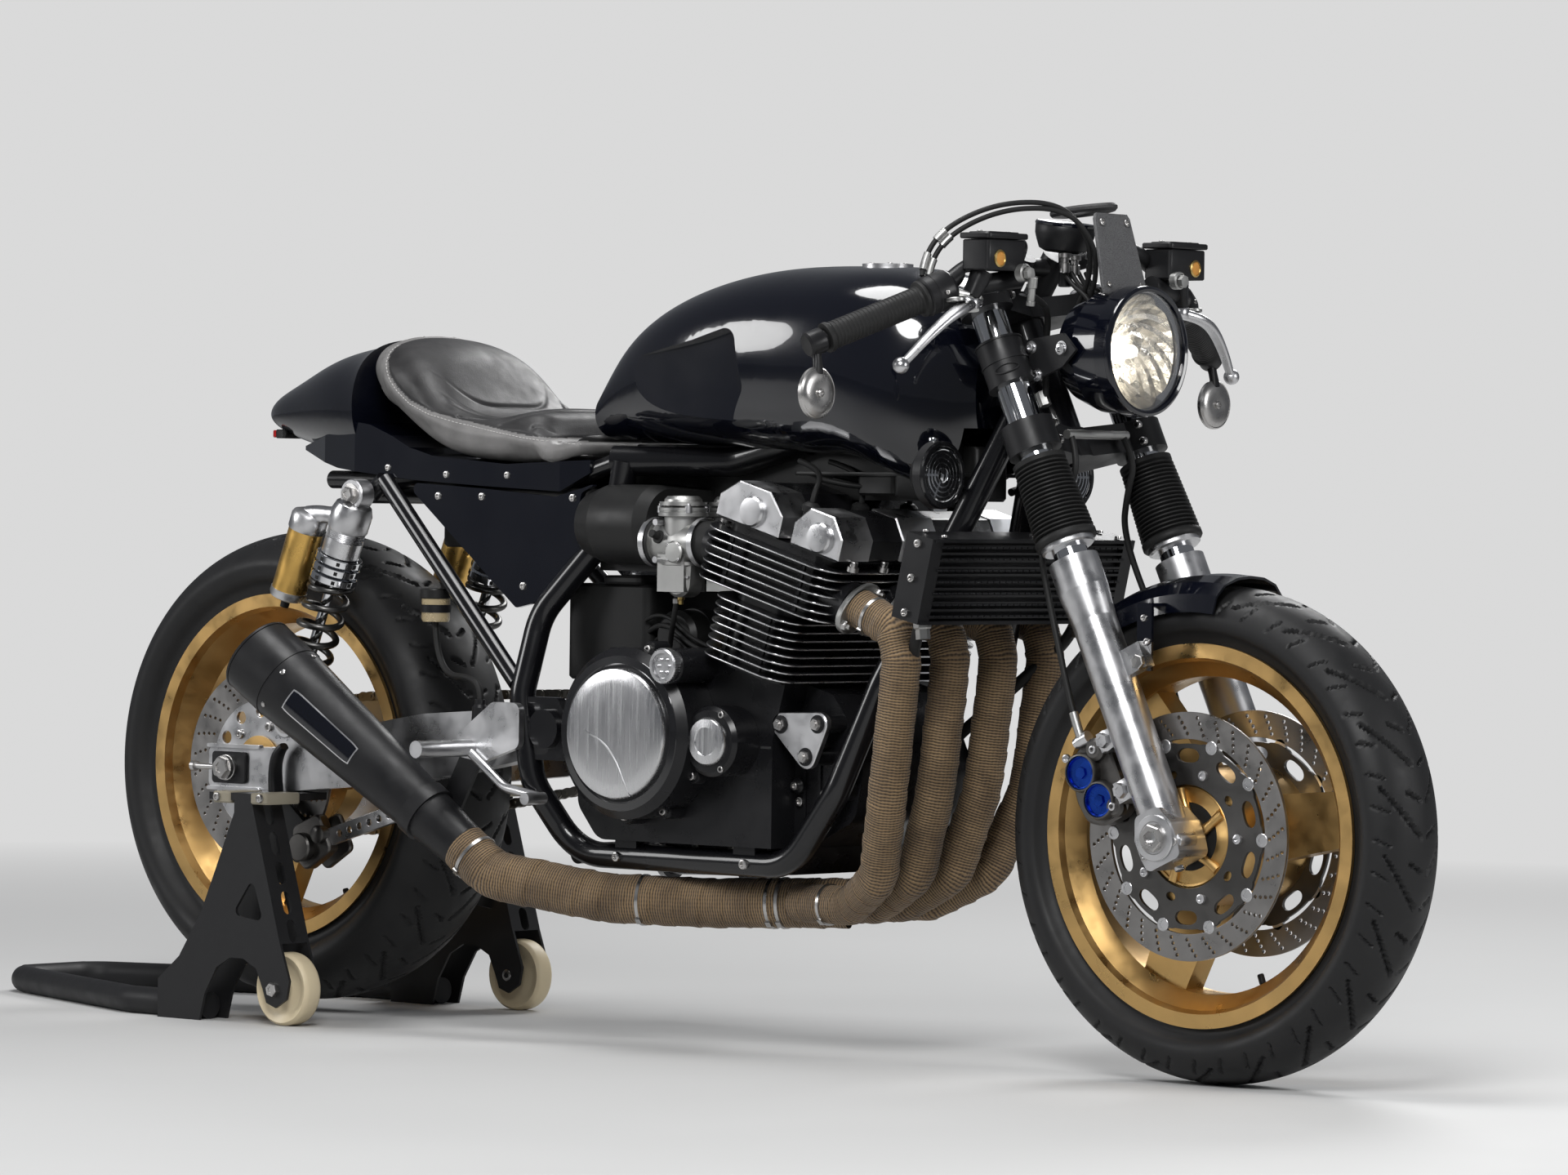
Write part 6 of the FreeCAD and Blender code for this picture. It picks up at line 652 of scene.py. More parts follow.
def tyre_section(outer_r, width, rim_width, count):
    """Outer half-sections of the carcass, from bead to bead, as (radius, across)."""
    bead_y = rim_width / 2 - 5.3
    rise = outer_r - 216.3
    half = width / 2
    shares = [(0.0, bead_y / half), (0.22, bead_y / half), (0.40, 0.97), (0.58, 1.0),
              (0.80, 0.80), (0.94, 0.46), (1.0, 0.0)]
    corners = [(216.3 + rise * up, -half * across) for up, across in shares]
    corners += [(r, -y) for r, y in reversed(corners[:-1])]
    flat = [Vector((r, y, 0)) for r, y in corners]
    line = []
    for i in range(len(flat) - 1):
        a, b = flat[max(i - 1, 0)], flat[i]
        c, d = flat[i + 1], flat[min(i + 2, len(flat) - 1)]
        for k in range(8):
            t = k / 8
            line.append(0.5 * ((2 * b) + (c - a) * t + (2 * a - 5 * b + 4 * c - d) * t * t
                               + (3 * b - a - 3 * c + d) * t ** 3))
    line.append(flat[-1])
    lengths = [0.0]
    for p, q in zip(line, line[1:]):
        lengths.append(lengths[-1] + (q - p).length)
    spots = np.linspace(0, lengths[-1], count)
    rs = np.interp(spots, lengths, [p.x for p in line])
    ys = np.interp(spots, lengths, [p.y for p in line])
    return rs, ys, lengths[-1]


def groove(distance, half_width):
    """1 at the middle of a groove and 0 outside its walls."""
    return np.clip((half_width - distance) / 0.9, 0, 1)


def tread_depth(around, across, lean, pitches, circumference):
    """How far the tread is cut at each grid point, 0 to 1."""
    pitch = circumference / pitches
    half = np.abs(across)
    side = np.where(across >= 0, 0.5, 0.0)
    local = (around * lean / pitch + side) % 1.0
    depth = np.zeros_like(across)
    long_line = 0.06 + 0.86 * (half / 62.0) ** 1.25
    gap = np.abs((local - long_line + 0.5) % 1.0 - 0.5) * pitch
    depth = np.maximum(depth, groove(gap * 0.62, 2.4) * (half > 7) * (half < 58))
    hook = 0.60 + 0.25 * (half / 40.0)
    gap = np.abs((local - hook + 0.5) % 1.0 - 0.5) * pitch
    depth = np.maximum(depth, groove(gap * 0.75, 2.0) * (half > 3) * (half < 24))
    sipe = (around * lean / pitch * 2 + side) % 1.0
    gap = np.abs((sipe - 0.35 - 0.35 * (half - 40) / 30) % 1.0 - 0.5) * pitch / 2
    depth = np.maximum(depth, groove(gap * 0.8, 1.5) * (half > 50) * (half < 72) * 0.8)
    return depth


def tyre(name, node, hub, outer_r, width, rim_width, body, lean, pitches):
    rows = 84
    cols = 760
    rs, ys, total = tyre_section(outer_r, width, rim_width, rows)
    arc = np.linspace(-total / 2, total / 2, rows)
    angles = np.linspace(0, 2 * np.pi, cols, endpoint=False)
    around = angles * outer_r
    grid_around, grid_arc = np.meshgrid(around, arc)
    depth = tread_depth(grid_around, grid_arc, lean, pitches, 2 * np.pi * outer_r) * 4.2
    side = np.abs(grid_arc)
    bands = [(total / 2 - 9, 1.1), (total / 2 - 26, 0.7), (total / 2 - 30, 0.7)]
    lift = np.zeros_like(grid_arc)
    for middle, height in bands:
        lift -= height * np.exp(-((side - middle) / 1.6) ** 2)
    slope_r = np.gradient(rs)
    slope_y = np.gradient(ys)
    size = np.hypot(slope_r, slope_y)
    out_r, out_y = slope_y / size, -slope_r / size
    move = lift - depth - 0.35
    radius = rs[:, None] + out_r[:, None] * move
    offset = ys[:, None] + out_y[:, None] * move
    x = hub.x + radius * np.cos(angles)[None, :] * MM
    z = hub.z + radius * np.sin(angles)[None, :] * MM
    y = np.broadcast_to(offset * MM, x.shape)
    verts = np.stack([x, y, z], axis=-1).reshape(-1, 3).tolist()
    faces = grid_faces(rows, cols, wrap_cols=True)
    obj = new_object(name, verts, faces, body, "tyre", True, 40)
    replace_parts(obj, node)
    return obj


def ring_spots(hub, radius, count, first=0.0):
    spots = []
    for i in range(count):
        angle = math.radians(first) + math.tau * i / count
        spots.append((hub.x / MM - SHIFT_X + radius * math.cos(angle),
                      hub.z / MM + radius * math.sin(angle), angle))
    return spots


def drilled_rotor(name, hub_xz, outer_r, inner_r, centre_y, thick, body, rows, per_row):
    cx, cz = hub_xz
    rim = []
    for k in range(240):
        angle = math.tau * k / 240
        rim.append((outer_r * math.cos(angle) * MM, outer_r * math.sin(angle) * MM))
    loops = [rim, [(p * inner_r / outer_r, q * inner_r / outer_r) for p, q in rim]]
    for k in range(per_row):
        for row in range(rows):
            share = (row + 0.5) / rows
            radius = inner_r + (outer_r - inner_r) * (0.10 + 0.80 * share)
            angle = math.tau * (k + 0.62 * share) / per_row
            loops.append(circle(radius * math.cos(angle) * MM, radius * math.sin(angle) * MM,
                                2.3 * MM, 14))
    place = side_plane(centre_y * MM, at(cx, 0, cz).xz)
    return flat_shape(name, loops, thick * MM, place, body, "disc_steel", 0.4 * MM)


def front_brake(side):
    tag = side_name(side)
    centre = (1540, 300)
    rotor = drilled_rotor("front_disc_" + tag, centre, 149, 116.5, side * 67, 4.6, "front_wheel",
                          4, 32)
    outer = []
    for k in range(240):
        angle = math.tau * k / 240
        lobe = 111 + 3.0 * max(0.0, math.cos(10 * angle)) ** 0.5
        outer.append((lobe * math.cos(angle) * MM, lobe * math.sin(angle) * MM))
    loops = [outer, circle(0, 0, 62 * MM, 72)]
    for k in range(10):
        middle = math.tau * (k + 0.5) / 10
        window = []
        for step in range(33):
            turn = math.tau * step / 32
            radius = 97 + 8.5 * math.sin(turn)
            wide = math.copysign(abs(math.cos(turn)) ** 0.7, math.cos(turn)) * 0.17
            window.append((radius * math.cos(middle + wide) * MM,
                           radius * math.sin(middle + wide) * MM))
        loops.append(window[:-1])
        slot_mid = math.tau * k / 10
        notch = []
        for step in range(17):
            turn = math.tau * step / 16
            radius = 76 + 5 * math.sin(turn)
            way = slot_mid + 0.09 * math.cos(turn)
            notch.append((radius * math.cos(way) * MM, radius * math.sin(way) * MM))
        if k % 2:
            loops.append(notch[:-1])
    place = side_plane(side * 67 * MM, at(*(centre[0], 0, centre[1])).xz)
    carrier = flat_shape("disc_carrier_" + tag, loops, 5.0 * MM, place, "front_wheel",
                         "carrier_dark", 0.5 * MM)
    buttons = Build()
    out = Vector((0, side, 0))
    for x, z, angle in ring_spots(FRONT_HUB, 112, 10):
        spot = at(x, side * 69.3, z)
        buttons.lathe(mm_pairs([(8.4, -4.6), (8.4, 0.3), (7.6, 1.1), (4.6, 1.1), (4.3, 0.3),
                                (0.1, 0.2)]), spot, out, 20)
    for x, z, angle in ring_spots(FRONT_HUB, 77, 5, 0):
        buttons.bolt(at(x, side * 69.2, z), out, 6.2 * MM, 4.6 * MM)
    bobbins = buttons.done("disc_buttons_" + tag, "front_wheel", "bright_aluminium")
    if side < 0:
        return rotor, carrier, bobbins
    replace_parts(rotor, "front_discs")
    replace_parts(carrier, "front_disc_carriers")
    return rotor, carrier, bobbins


# Exhaust
def sleeve(name, path, radius, body, wrap_pitch, phase=0.0, count=44, step=2.2):
    """Woven tape wound round a pipe: each turn laps over the last one's edge."""
    spots = [path[0]]
    run = [0.0]
    for point in path[1:]:
        run.append(run[-1] + (point - spots[-1]).length)
        spots.append(point)
    total = run[-1]
    rows = max(int(total / (step * MM)), 8)
    where = np.linspace(0, total, rows)
    line = [Vector([float(np.interp(w, run, [p[axis] for p in spots])) for axis in range(3)])
            for w in where]
    sections = []
    for w in where:
        ring = []
        for k in range(count):
            angle = math.tau * k / count
            turn = (w / (wrap_pitch * MM) + angle / (math.tau) + phase) % 1.0
            lap = 1.1 * (1.0 - turn) ** 1.4 - 0.55
            wave = 0.35 * math.sin(3 * angle + w * 90 + phase) + 0.25 * math.sin(w * 260 + angle)
            ring.append(((radius + lap + wave) * MM * math.cos(angle),
                         (radius + lap + wave) * MM * math.sin(angle)))
        sections.append(ring)
    verts = sweep(line, sections)
    faces = grid_faces(rows, count, wrap_cols=True)
    obj = new_object(name, verts, faces, body, "wrap", True, None)
    layer = obj.data.uv_layers.new(name="tape")
    for poly in obj.data.polygons:
        for corner, loop in zip(poly.vertices, poly.loop_indices):
            row, col = divmod(corner, count)
            turn = col / count
            if turn < 0.25 and any(v % count > count * 0.75 for v in poly.vertices):
                turn += 1.0
            layer.data[loop].uv = (turn * math.tau * radius * MM, float(where[row]))
    return obj


def steel_tie(build, path, share, radius):
    """A thin steel cable tie pulled round the tape, with its lock."""
    index = int(share * (len(path) - 1))
    spot = path[index]
    along = (path[min(index + 1, len(path) - 1)] - path[index - 1]).normalized()
    build.lathe([(radius * MM, -2.3 * MM), ((radius + 0.6) * MM, -2.2 * MM),
                 ((radius + 0.6) * MM, 2.2 * MM), (radius * MM, 2.3 * MM)], spot, along, 36)
    down = Vector((0.2, -0.6, -0.75))
    down = (down - along * down.dot(along)).normalized()
    across = along.cross(down)
    place = Matrix((across, along, down)).transposed().to_4x4()
    place.translation = spot + down * radius * MM
    build.box((-5 * MM, -3.4 * MM, -0.5 * MM), (5 * MM, 3.4 * MM, 2.6 * MM), place)


ENGINE_TILT = 15.7


def crank_point(x, y, s):
    tilt = math.radians(ENGINE_TILT)
    return at(885 + x * math.cos(tilt) + s * math.sin(tilt), y,
              394 - x * math.sin(tilt) + s * math.cos(tilt))


def header_corners(y):
    port = crank_point(144.3, y, 215)
    out = crank_point(176, y, 215)
    join_y = math.copysign(52.0, y) * (1.45 if abs(y) > 93 else 0.5)
    out_x = out.x / MM - SHIFT_X
    return [port, at(out_x + 26, y, out.z / MM - 14), at(1150, y, 500), at(1128, y * 0.98, 340),
            at(1090, (y + join_y) / 2, 232), at(1020, join_y, 192), at(930, join_y, 192)]


def exhaust():
    ties = Build()
    first = None
    for index, y in enumerate((-139.5, -46.5, 46.5, 139.5)):
        corners = header_corners(y)
        path = smooth_path(fine_corners(corners), 10)
        pipe = sleeve("header_wrap_%d" % (index + 1), path, 24.4, "main", 26, index * 0.37)
        steel_tie(ties, path, 0.05, 25.2)
        steel_tie(ties, path, 0.93, 25.6)
        first = first or pipe
    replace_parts(first, "exhaust_headers")
    back = (at(474, -204, 246) - at(141, -250, 484)).normalized() * 60 * MM
    front = at(474, -204, 246)
    route = [at(985, -40, 192), at(960, -52, 192), at(800, -100, 186), at(670, -148, 188),
             front + back, front]
    path = smooth_path(fine_corners(route), 12)
    sleeve("link_wrap", path, 31.4, "main", 34, 0.2, 52)
    for share in (0.26, 0.275, 0.52, 0.95):
        steel_tie(ties, path, share, 32.2)
    join = smooth_path([at(950, 67, 192), at(905, 0, 190), at(860, -67, 190)], 12)
    sleeve("joiner_wrap", join, 28.2, "main", 30, 0.6, 48)
    ties.done("wrap_ties", "main", "steel")
    flanges = Build()
    studs = Build()
    tilt = math.radians(ENGINE_TILT)
    out = Vector((math.cos(tilt), 0, -math.sin(tilt)))
    up = Vector((math.sin(tilt), 0, math.cos(tilt)))
    for y in (-139.5, -46.5, 46.5, 139.5):
        seat = crank_point(136.3, y, 215)
        lean = (up * 0.62 + Vector((0, 0.78 * (1 if y < 0 else -1), 0))).normalized()
        side = out.cross(lean)
        place = Matrix((side, lean, out)).transposed().to_4x4()
        place.translation = seat
        outline = []
        for k in range(64):
            angle = math.tau * k / 64
            far = 27 + 12.0 * abs(math.sin(angle)) ** 3
            outline.append((far * math.cos(angle) * 0.97 * MM, far * math.sin(angle) * MM))
        verts, faces = slab(outline, 0.0, 8 * MM, 1.2 * MM)
        flanges.add([place @ v for v in verts], faces)
        for end in (-1, 1):
            stud = seat + lean * end * 32 * MM + out * 8 * MM
            studs.hex_nut(stud, out, 6.5 * MM, 6 * MM)
            studs.lathe(mm_pairs([(3.6, 0), (3.6, 10), (2.8, 11)]), stud, out, 14)
    flanges.done("port_flanges", "main", "cast_aluminium")
    studs.done("port_studs", "main", "steel")


def fine_corners(points):
    """Puts the middle of each run between its corners, so a curve keeps near them."""
    result = [points[0]]
    for a, b in zip(points, points[1:]):
        result += [a.lerp(b, 0.3), a.lerp(b, 0.7), b]
    return result


def slab(outline, low, high, bevel):
    """A flat plate with eased edges from an outline round the origin."""
    rings = [(low, bevel), (low + bevel, 0), (high - bevel, 0), (high, bevel)]
    verts = []
    count = len(outline)
    for level, inset in rings:
        for x, y in outline:
            size = math.hypot(x, y)
            k = (size - inset) / size
            verts.append(Vector((x * k, y * k, level)))
    faces = grid_faces(4, count, wrap_cols=True)
    faces.append(tuple(range(count))[::-1])
    faces.append(tuple(3 * count + i for i in range(count)))
    return verts, faces


# Seat
def seam_height(x):
    """Height of the sewn seam in side view, at a place along the seat (mm)."""
    xs = [188, 221, 224, 232, 245, 262, 290, 330, 380, 440, 500, 560, 600]
    zs = [960, 930, 896, 872, 852, 836, 818, 804, 793, 783, 774, 768, 766]
    return np.interp(x, xs, zs)


def seat_blend(x, z):
    """Signed distance over the seam (mm), above it the insert, below it the roll."""
    step = 1.0
    slope = (seam_height(x + step) - seam_height(x - step)) / (2 * step)
    return (z - seam_height(x)) / np.sqrt(1 + slope ** 2)


def seat():
    source = NODES["seat_pad"]
    mesh = source.data.copy()
    obj = bpy.data.objects.new("seat_leather_pad", mesh)
    scene.collection.objects.link(obj)
    if mesh.materials:
        mesh.materials.clear()
    apply_modifier(obj, "REMESH", mode="VOXEL", voxel_size=0.0045)
    start = verts_of(obj.data)
    cloth = obj.modifiers.new("cloth", "CLOTH")
    cloth.settings.use_pressure = True
    cloth.settings.uniform_pressure_force = 4.0
    cloth.settings.effector_weights.gravity = 0.0
    cloth.settings.tension_stiffness = 15
    cloth.settings.compression_stiffness = 15
    cloth.settings.bending_stiffness = 1.0
    for step in range(1, 13):
        scene.frame_set(step)
    apply_only(obj, cloth)
    scene.frame_set(1)
    end = verts_of(obj.data)
    move = end - start
    size = np.linalg.norm(move, axis=1, keepdims=True)
    cap = 0.004
    move *= np.minimum(1.0, cap / np.maximum(size, 1e-9))
    set_verts(obj.data, start + move)
    apply_modifier(obj, "SMOOTH", factor=0.5, iterations=6)
    apply_modifier(obj, "SUBSURF", levels=1, render_levels=1)
    carve_seat(obj)
    return obj


SEAT_CHANNELS = [(262, 102, 4.6), (309, 96, 4.0), (374, 72, 4.4), (447, 52, 4.4), (509, 40, 4.0)]


def carve_seat(obj):
    mesh = obj.data
    spots = verts_of(mesh)
    normals = normals_of(mesh)
    x = spots[:, 0] / MM - SHIFT_X
    y = spots[:, 1] / MM
    z = spots[:, 2] / MM
    over = seat_blend(x, z)
    up = np.clip(normals[:, 2], 0, 1)
    push = -2.6 * np.exp(-(over / 2.6) ** 2)
    push += 2.4 * np.exp(-((over + 9) / 7.0) ** 2)
    push -= 2.0 / (1 + np.exp(-(over - 1.0) / 1.5))
    inside = 1 / (1 + np.exp(-(over - 3) / 2.0))
    bow = 1 - np.clip(np.abs(y) / 118, 0, 1) ** 4
    flat = 1 / (1 + np.exp(-(up - 0.74) / 0.04)) / (1 + np.exp(-(x - 322) / 7.0))
    for middle, forward, depth in SEAT_CHANNELS:
        gap = x - (middle + forward * bow)
        push -= inside * depth * flat * np.exp(-(gap / 3.0) ** 2)
        push += inside * 3.0 * flat * np.exp(-((gap - 29) / 15.0) ** 2) * (270 < middle < 509)
    set_verts(mesh, spots + normals * (push * MM)[:, None])
    mesh.materials.append(MATERIALS["seat_leather"].mat)
    mesh.materials.append(MATERIALS["roll_leather"].mat)
    for poly in mesh.polygons:
        poly.use_smooth = True
        centre = poly.center
        below = seat_blend(centre.x / MM - SHIFT_X, centre.z / MM) < 0
        poly.material_index = 1 if below else 0
    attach(obj, "main")
    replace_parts(obj, "seat_pad")


STITCH_DROP = 4.2


def seat_stitches():
    """Short stitches along the roll's side of the seam, laid on the leather."""
    pad = bpy.data.objects["seat_leather_pad"]
    build = Build()
    for side in (-1, 1):
        path = []
        for k in range(260):
            x = 224 + (596 - 224) * (k / 259) ** 1.6
            path.append((x, float(seam_height(x)) - STITCH_DROP))
        last = None
        for x, z in path:
            origin = at(x, side * 260, z)
            hit, spot, normal, _ = pad.ray_cast(origin, Vector((0, -side, 0)))
            if not hit:
                continue
            if last is not None and (spot - last).length < 5.2 * MM:
                continue
            if last is not None and (spot - last).length < 15 * MM:
                lay_stitch(build, last, spot, normal)
            last = spot
    build.done("seat_stitching", "main", "thread")


def lay_stitch(build, a, b, normal):
    along = (b - a).normalized()
    side = along.cross(normal).normalized()
    middle = a.lerp(b, 0.5) + normal * 0.3 * MM
    half = (b - a).length * 0.36
    verts = []
    for share, size in ((-1, 0.3), (-0.7, 0.85), (0, 1.0), (0.7, 0.85), (1, 0.3)):
        for k in range(6):
            angle = math.pi * 2 * k / 6
            verts.append(middle + along * half * share
                         + (side * math.cos(angle) * 0.75 + normal * math.sin(angle) * 0.65)
                         * size * MM)
    build.add(verts, grid_faces(5, 6, wrap_cols=True))


def verts_of(mesh):
    flat = np.empty(len(mesh.vertices) * 3)
    mesh.vertices.foreach_get("co", flat)
    return flat.reshape(-1, 3)


def normals_of(mesh):
    flat = np.empty(len(mesh.vertices) * 3)
    mesh.vertices.foreach_get("normal", flat)
    return flat.reshape(-1, 3)


def set_verts(mesh, spots):
    mesh.vertices.foreach_set("co", np.asarray(spots, dtype=np.float64).ravel())
    mesh.update()


def apply_only(obj, modifier):
    """Makes the modifier's result the object's own mesh."""
    graph = bpy.context.evaluated_depsgraph_get()
    graph.update()
    mesh = bpy.data.meshes.new_from_object(obj.evaluated_get(graph))
    obj.modifiers.remove(modifier)
    obj.data = mesh


def apply_modifier(obj, kind, **values):
    modifier = obj.modifiers.new(kind.lower(), kind)
    for key, value in values.items():
        setattr(modifier, key, value)
    apply_only(obj, modifier)


# Chain
CHAIN_PITCH = 15.875
REAR_TEETH = 36
FRONT_TEETH = 17


def chain_stations():
    """Roller pins along the loop, one pitch apart, with the way the chain runs."""
    rear, front = (0.0, 330.0), (668.0, 402.0)
    rear_r = CHAIN_PITCH / 2 / math.sin(math.pi / REAR_TEETH)
    front_r = CHAIN_PITCH / 2 / math.sin(math.pi / FRONT_TEETH)
    span = math.hypot(front[0] - rear[0], front[1] - rear[1])
    slope = math.atan2(front[1] - rear[1], front[0] - rear[0])
    lean = math.acos((rear_r - front_r) / span)
    line = []
    for k in range(61):
        start, end = slope + lean, slope - lean
        turn = start + (end - start) * k / 60
        line.append((front[0] + front_r * math.cos(turn), front[1] + front_r * math.sin(turn)))
    for k in range(121):
        start, end = slope - lean, slope + lean - math.tau
        turn = start + (end - start) * k / 120
        line.append((rear[0] + rear_r * math.cos(turn), rear[1] + rear_r * math.sin(turn)))
    line.append(line[0])
    run = [0.0]
    for a, b in zip(line, line[1:]):
        run.append(run[-1] + math.hypot(b[0] - a[0], b[1] - a[1]))
    count = int(round(run[-1] / CHAIN_PITCH / 2)) * 2
    stations = []
    for k in range(count):
        w = run[-1] * k / count
        stations.append((float(np.interp(w, run, [p[0] for p in line])),
                         float(np.interp(w, run, [p[1] for p in line]))))
    return stations


def link_plate(build, a, b, y_low, y_high):
    middle = ((a[0] + b[0]) / 2, (a[1] + b[1]) / 2)
    half = math.hypot(b[0] - a[0], b[1] - a[1]) / 2
    turn = math.atan2(b[1] - a[1], b[0] - a[0])
    outline = []
    for k in range(28):
        angle = math.tau * k / 28
        wide = (half + 6.9) * math.copysign(abs(math.cos(angle)) ** 0.8, math.cos(angle))
        waist = 7.1 - 1.7 * math.exp(-(wide / 5.0) ** 2)
        high = waist * math.copysign(abs(math.sin(angle)) ** 0.75, math.sin(angle))
        outline.append((wide * MM, high * MM))
    verts, faces = slab(outline, y_low * MM, y_high * MM, 0.35 * MM)
    spot = at(middle[0], 0, middle[1])
    along = Vector((math.cos(turn), 0, math.sin(turn)))
    square = Vector((-math.sin(turn), 0, math.cos(turn)))
    place = Matrix((along, square, Vector((0, 1, 0)))).transposed().to_4x4()
    place.translation = spot
    build.add([place @ v for v in verts], [tuple(reversed(f)) for f in faces])


def chain():
    stations = chain_stations()
    plates = Build()
    pins = Build()
    for k, a in enumerate(stations):
        b = stations[(k + 1) % len(stations)]
        outer = k % 2
        for side in (-1, 1):
            near, far = (6.6, 8.3) if outer else (4.6, 6.3)
            low, high = (near, far) if side > 0 else (-far, -near)
            link_plate(plates, a, b, 108 + low, 108 + high)
        spot = at(a[0], 108, a[1])
        pins.lathe(mm_pairs([(2.6, -9.3), (2.6, 9.3)]), spot, (0, 1, 0), 10)
        pins.lathe(mm_pairs([(5.0, -4.4), (5.0, 4.4)]), spot, (0, 1, 0), 14)
    obj = plates.done("chain_links", "main", "chain_steel")
    pins.done("chain_pins", "main", "chain_steel")
    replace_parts(obj, "chain")


# Lamp
def headlamp():
    face = at(1411, 0, 881)
    out = Vector((1, 0, 0))
    bowl = Build()
    profile = []
    for k in range(9):
        share = k / 8
        radius = 70 - 54 * share
        profile.append((radius * MM, (-4 - 40 * (1 - (radius / 70) ** 2)) * MM))
    count = 32
    aside = Vector((0, 0, 1))
    other = out.cross(aside)
    verts = []
    for k, (radius, along) in enumerate(profile):
        for step in range(count):
            angle = math.tau * step / count
            ripple = 1 + 0.09 * ((step + k) % 2)
            verts.append(face + out * along * ripple
                         + (aside * math.cos(angle) + other * math.sin(angle)) * radius)
    bowl.add(verts, grid_faces(len(profile), count, wrap_cols=True))
    # the bowl's material paints the bulb's reflected light on it as a glow
    bowl.done("lamp_reflector", "steering_assembly", "lamp_reflector", False)
    bulb = Build()
    bulb.lathe(mm_pairs([(15, -44), (15, -34), (9, -33), (8, -14), (5, -9), (1.0, -8)]), face,
               out, 20)
    bulb.done("lamp_bulb", "steering_assembly", "lamp_bulb")
    lens = Build()
    rows = []
    for k in range(13):
        radius = 72 * (1 - k / 12)
        rows.append((max(radius, 0.01) * MM, (2.4 + 6.0 * (1 - (radius / 72) ** 2)) * MM))
    back = [(r, a - 2.2 * MM) for r, a in reversed(rows)]
    lens.lathe(rows + back, face, out, 72)
    dome = lens.done("lamp_lens", "steering_assembly", "clear_glass")
    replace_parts(dome, "headlamp_lens")
    ring = Build()
    ring.lathe(mm_pairs([(70.5, -1), (79.6, -1), (80.0, 0.5), (79.0, 4.4), (75.5, 6.4),
                         (72.2, 5.2), (71.0, 2.5)]), face, out, 96, True)
    ring.done("lamp_rim", "steering_assembly", "gloss_black_paint")
    screws = Build()
    screws.bolt(face + Vector((2 * MM, 0, -77 * MM)), (1, 0, 0), 3 * MM, 3 * MM)
    for side in (-1, 1):
        screws.bolt(at(1350, side * 85.3, 881), (0, side, 0), 6.5 * MM, 5 * MM)
    screws.done("lamp_screws", "steering_assembly", "bright_aluminium")


# Engine
TILT = math.radians(ENGINE_TILT)
CRANK_S = Vector((math.sin(TILT), 0, math.cos(TILT)))
RIGHT = Vector((0, -1, 0))
LEFT = Vector((0, 1, 0))


def rounded_box(rear, front, half_w, corner):
    """Outline of one fin as flat (x, y) points with a way outwards at each."""
    points = []
    for cx, cy, start in ((front - corner, half_w - corner, 0),
                          (rear + corner, half_w - corner, 90),
                          (rear + corner, -half_w + corner, 180),
                          (front - corner, -half_w + corner, 270)):
        for k in range(7):
            angle = math.radians(start + 90 * k / 6)
            points.append((cx + corner * math.cos(angle), cy + corner * math.sin(angle),
                           math.cos(angle), math.sin(angle)))
    return points


def fin_rim_highlights():
    """Bright metal strips round the rim of each cooling fin: a painted highlight where the fin
    edges catch the light.
    """
    build = Build()
    fins = [(-60, 84, 92 + 10.6 * (k + 0.8)) for k in range(8)]
    fins += [(-96, 126, 184.8 + 10.6 * (k + 0.5)) for k in range(7)]
    for rear, front, s in fins:
        ring = rounded_box(rear, front, 192, 34)
        rows = [(0.05, 0.35), (0.32, 0.7), (0.32, 1.9), (0.05, 2.25)]
        verts = []
        for out, level in rows:
            for x, y, nx, ny in ring:
                verts.append(crank_point(x + nx * out, y + ny * out, s + level))
        build.add(verts, [tuple(reversed(f)) for f in grid_faces(4, len(ring), wrap_cols=True)])
    build.done("fin_rim_highlights", "main", "fin_edge", True, 50)
    pegs = Build()
    for side in (-1, 1):
        for x in (-20, 42):
            for k in range(7):
                s = 92 + 10.6 * (k + 0.8) + 2.6
                pegs.lathe(mm_pairs([(3.4, 0), (3.4, 8.0)]), crank_point(x, side * 182, s),
                           CRANK_S, 10)
    for x in (-44, 78):
        for side in (-1, 1):
            for k in range(6):
                s = 184.8 + 10.6 * (k + 0.5) + 2.6
                pegs.lathe(mm_pairs([(3.4, 0), (3.4, 8.0)]), crank_point(x, side * 184, s),
                           CRANK_S, 10)
    pegs.done("fin_pegs", "main", "engine_black")


def cam_section(rear, front, grow):
    width = front - rear
    foot, high = 267.0, 52.0
    return [(rear - grow, foot + 3), (rear - grow, foot + high * 0.55 + grow * 0.6),
            (rear + width * 0.25 - grow * 0.4, foot + high + grow),
            (front - width * 0.25 + grow * 0.4, foot + high + grow),
            (front + grow, foot + high * 0.55 + grow * 0.6), (front + grow, foot + 3)]


def crank_prism(build, section, y_low, y_high, inset=2.0):
    """A prism over a section in the cylinders' frame, with eased ends."""
    cx = sum(p[0] for p in section) / len(section)
    cs = sum(p[1] for p in section) / len(section)
    verts = []
    for y, shrink in ((y_low, inset), (y_low + inset, 0), (y_high - inset, 0), (y_high, inset)):
        for x, s in section:
            dx, ds = x - cx, s - cs
            size = math.hypot(dx, ds)
            k = (size - shrink) / size
            verts.append(crank_point(cx + dx * k, y, cs + ds * k))
    count = len(section)
    faces = grid_faces(4, count, wrap_cols=True)
    faces.append(tuple(range(count))[::-1])
    faces.append(tuple(3 * count + i for i in range(count)))
    build.add(verts, faces)


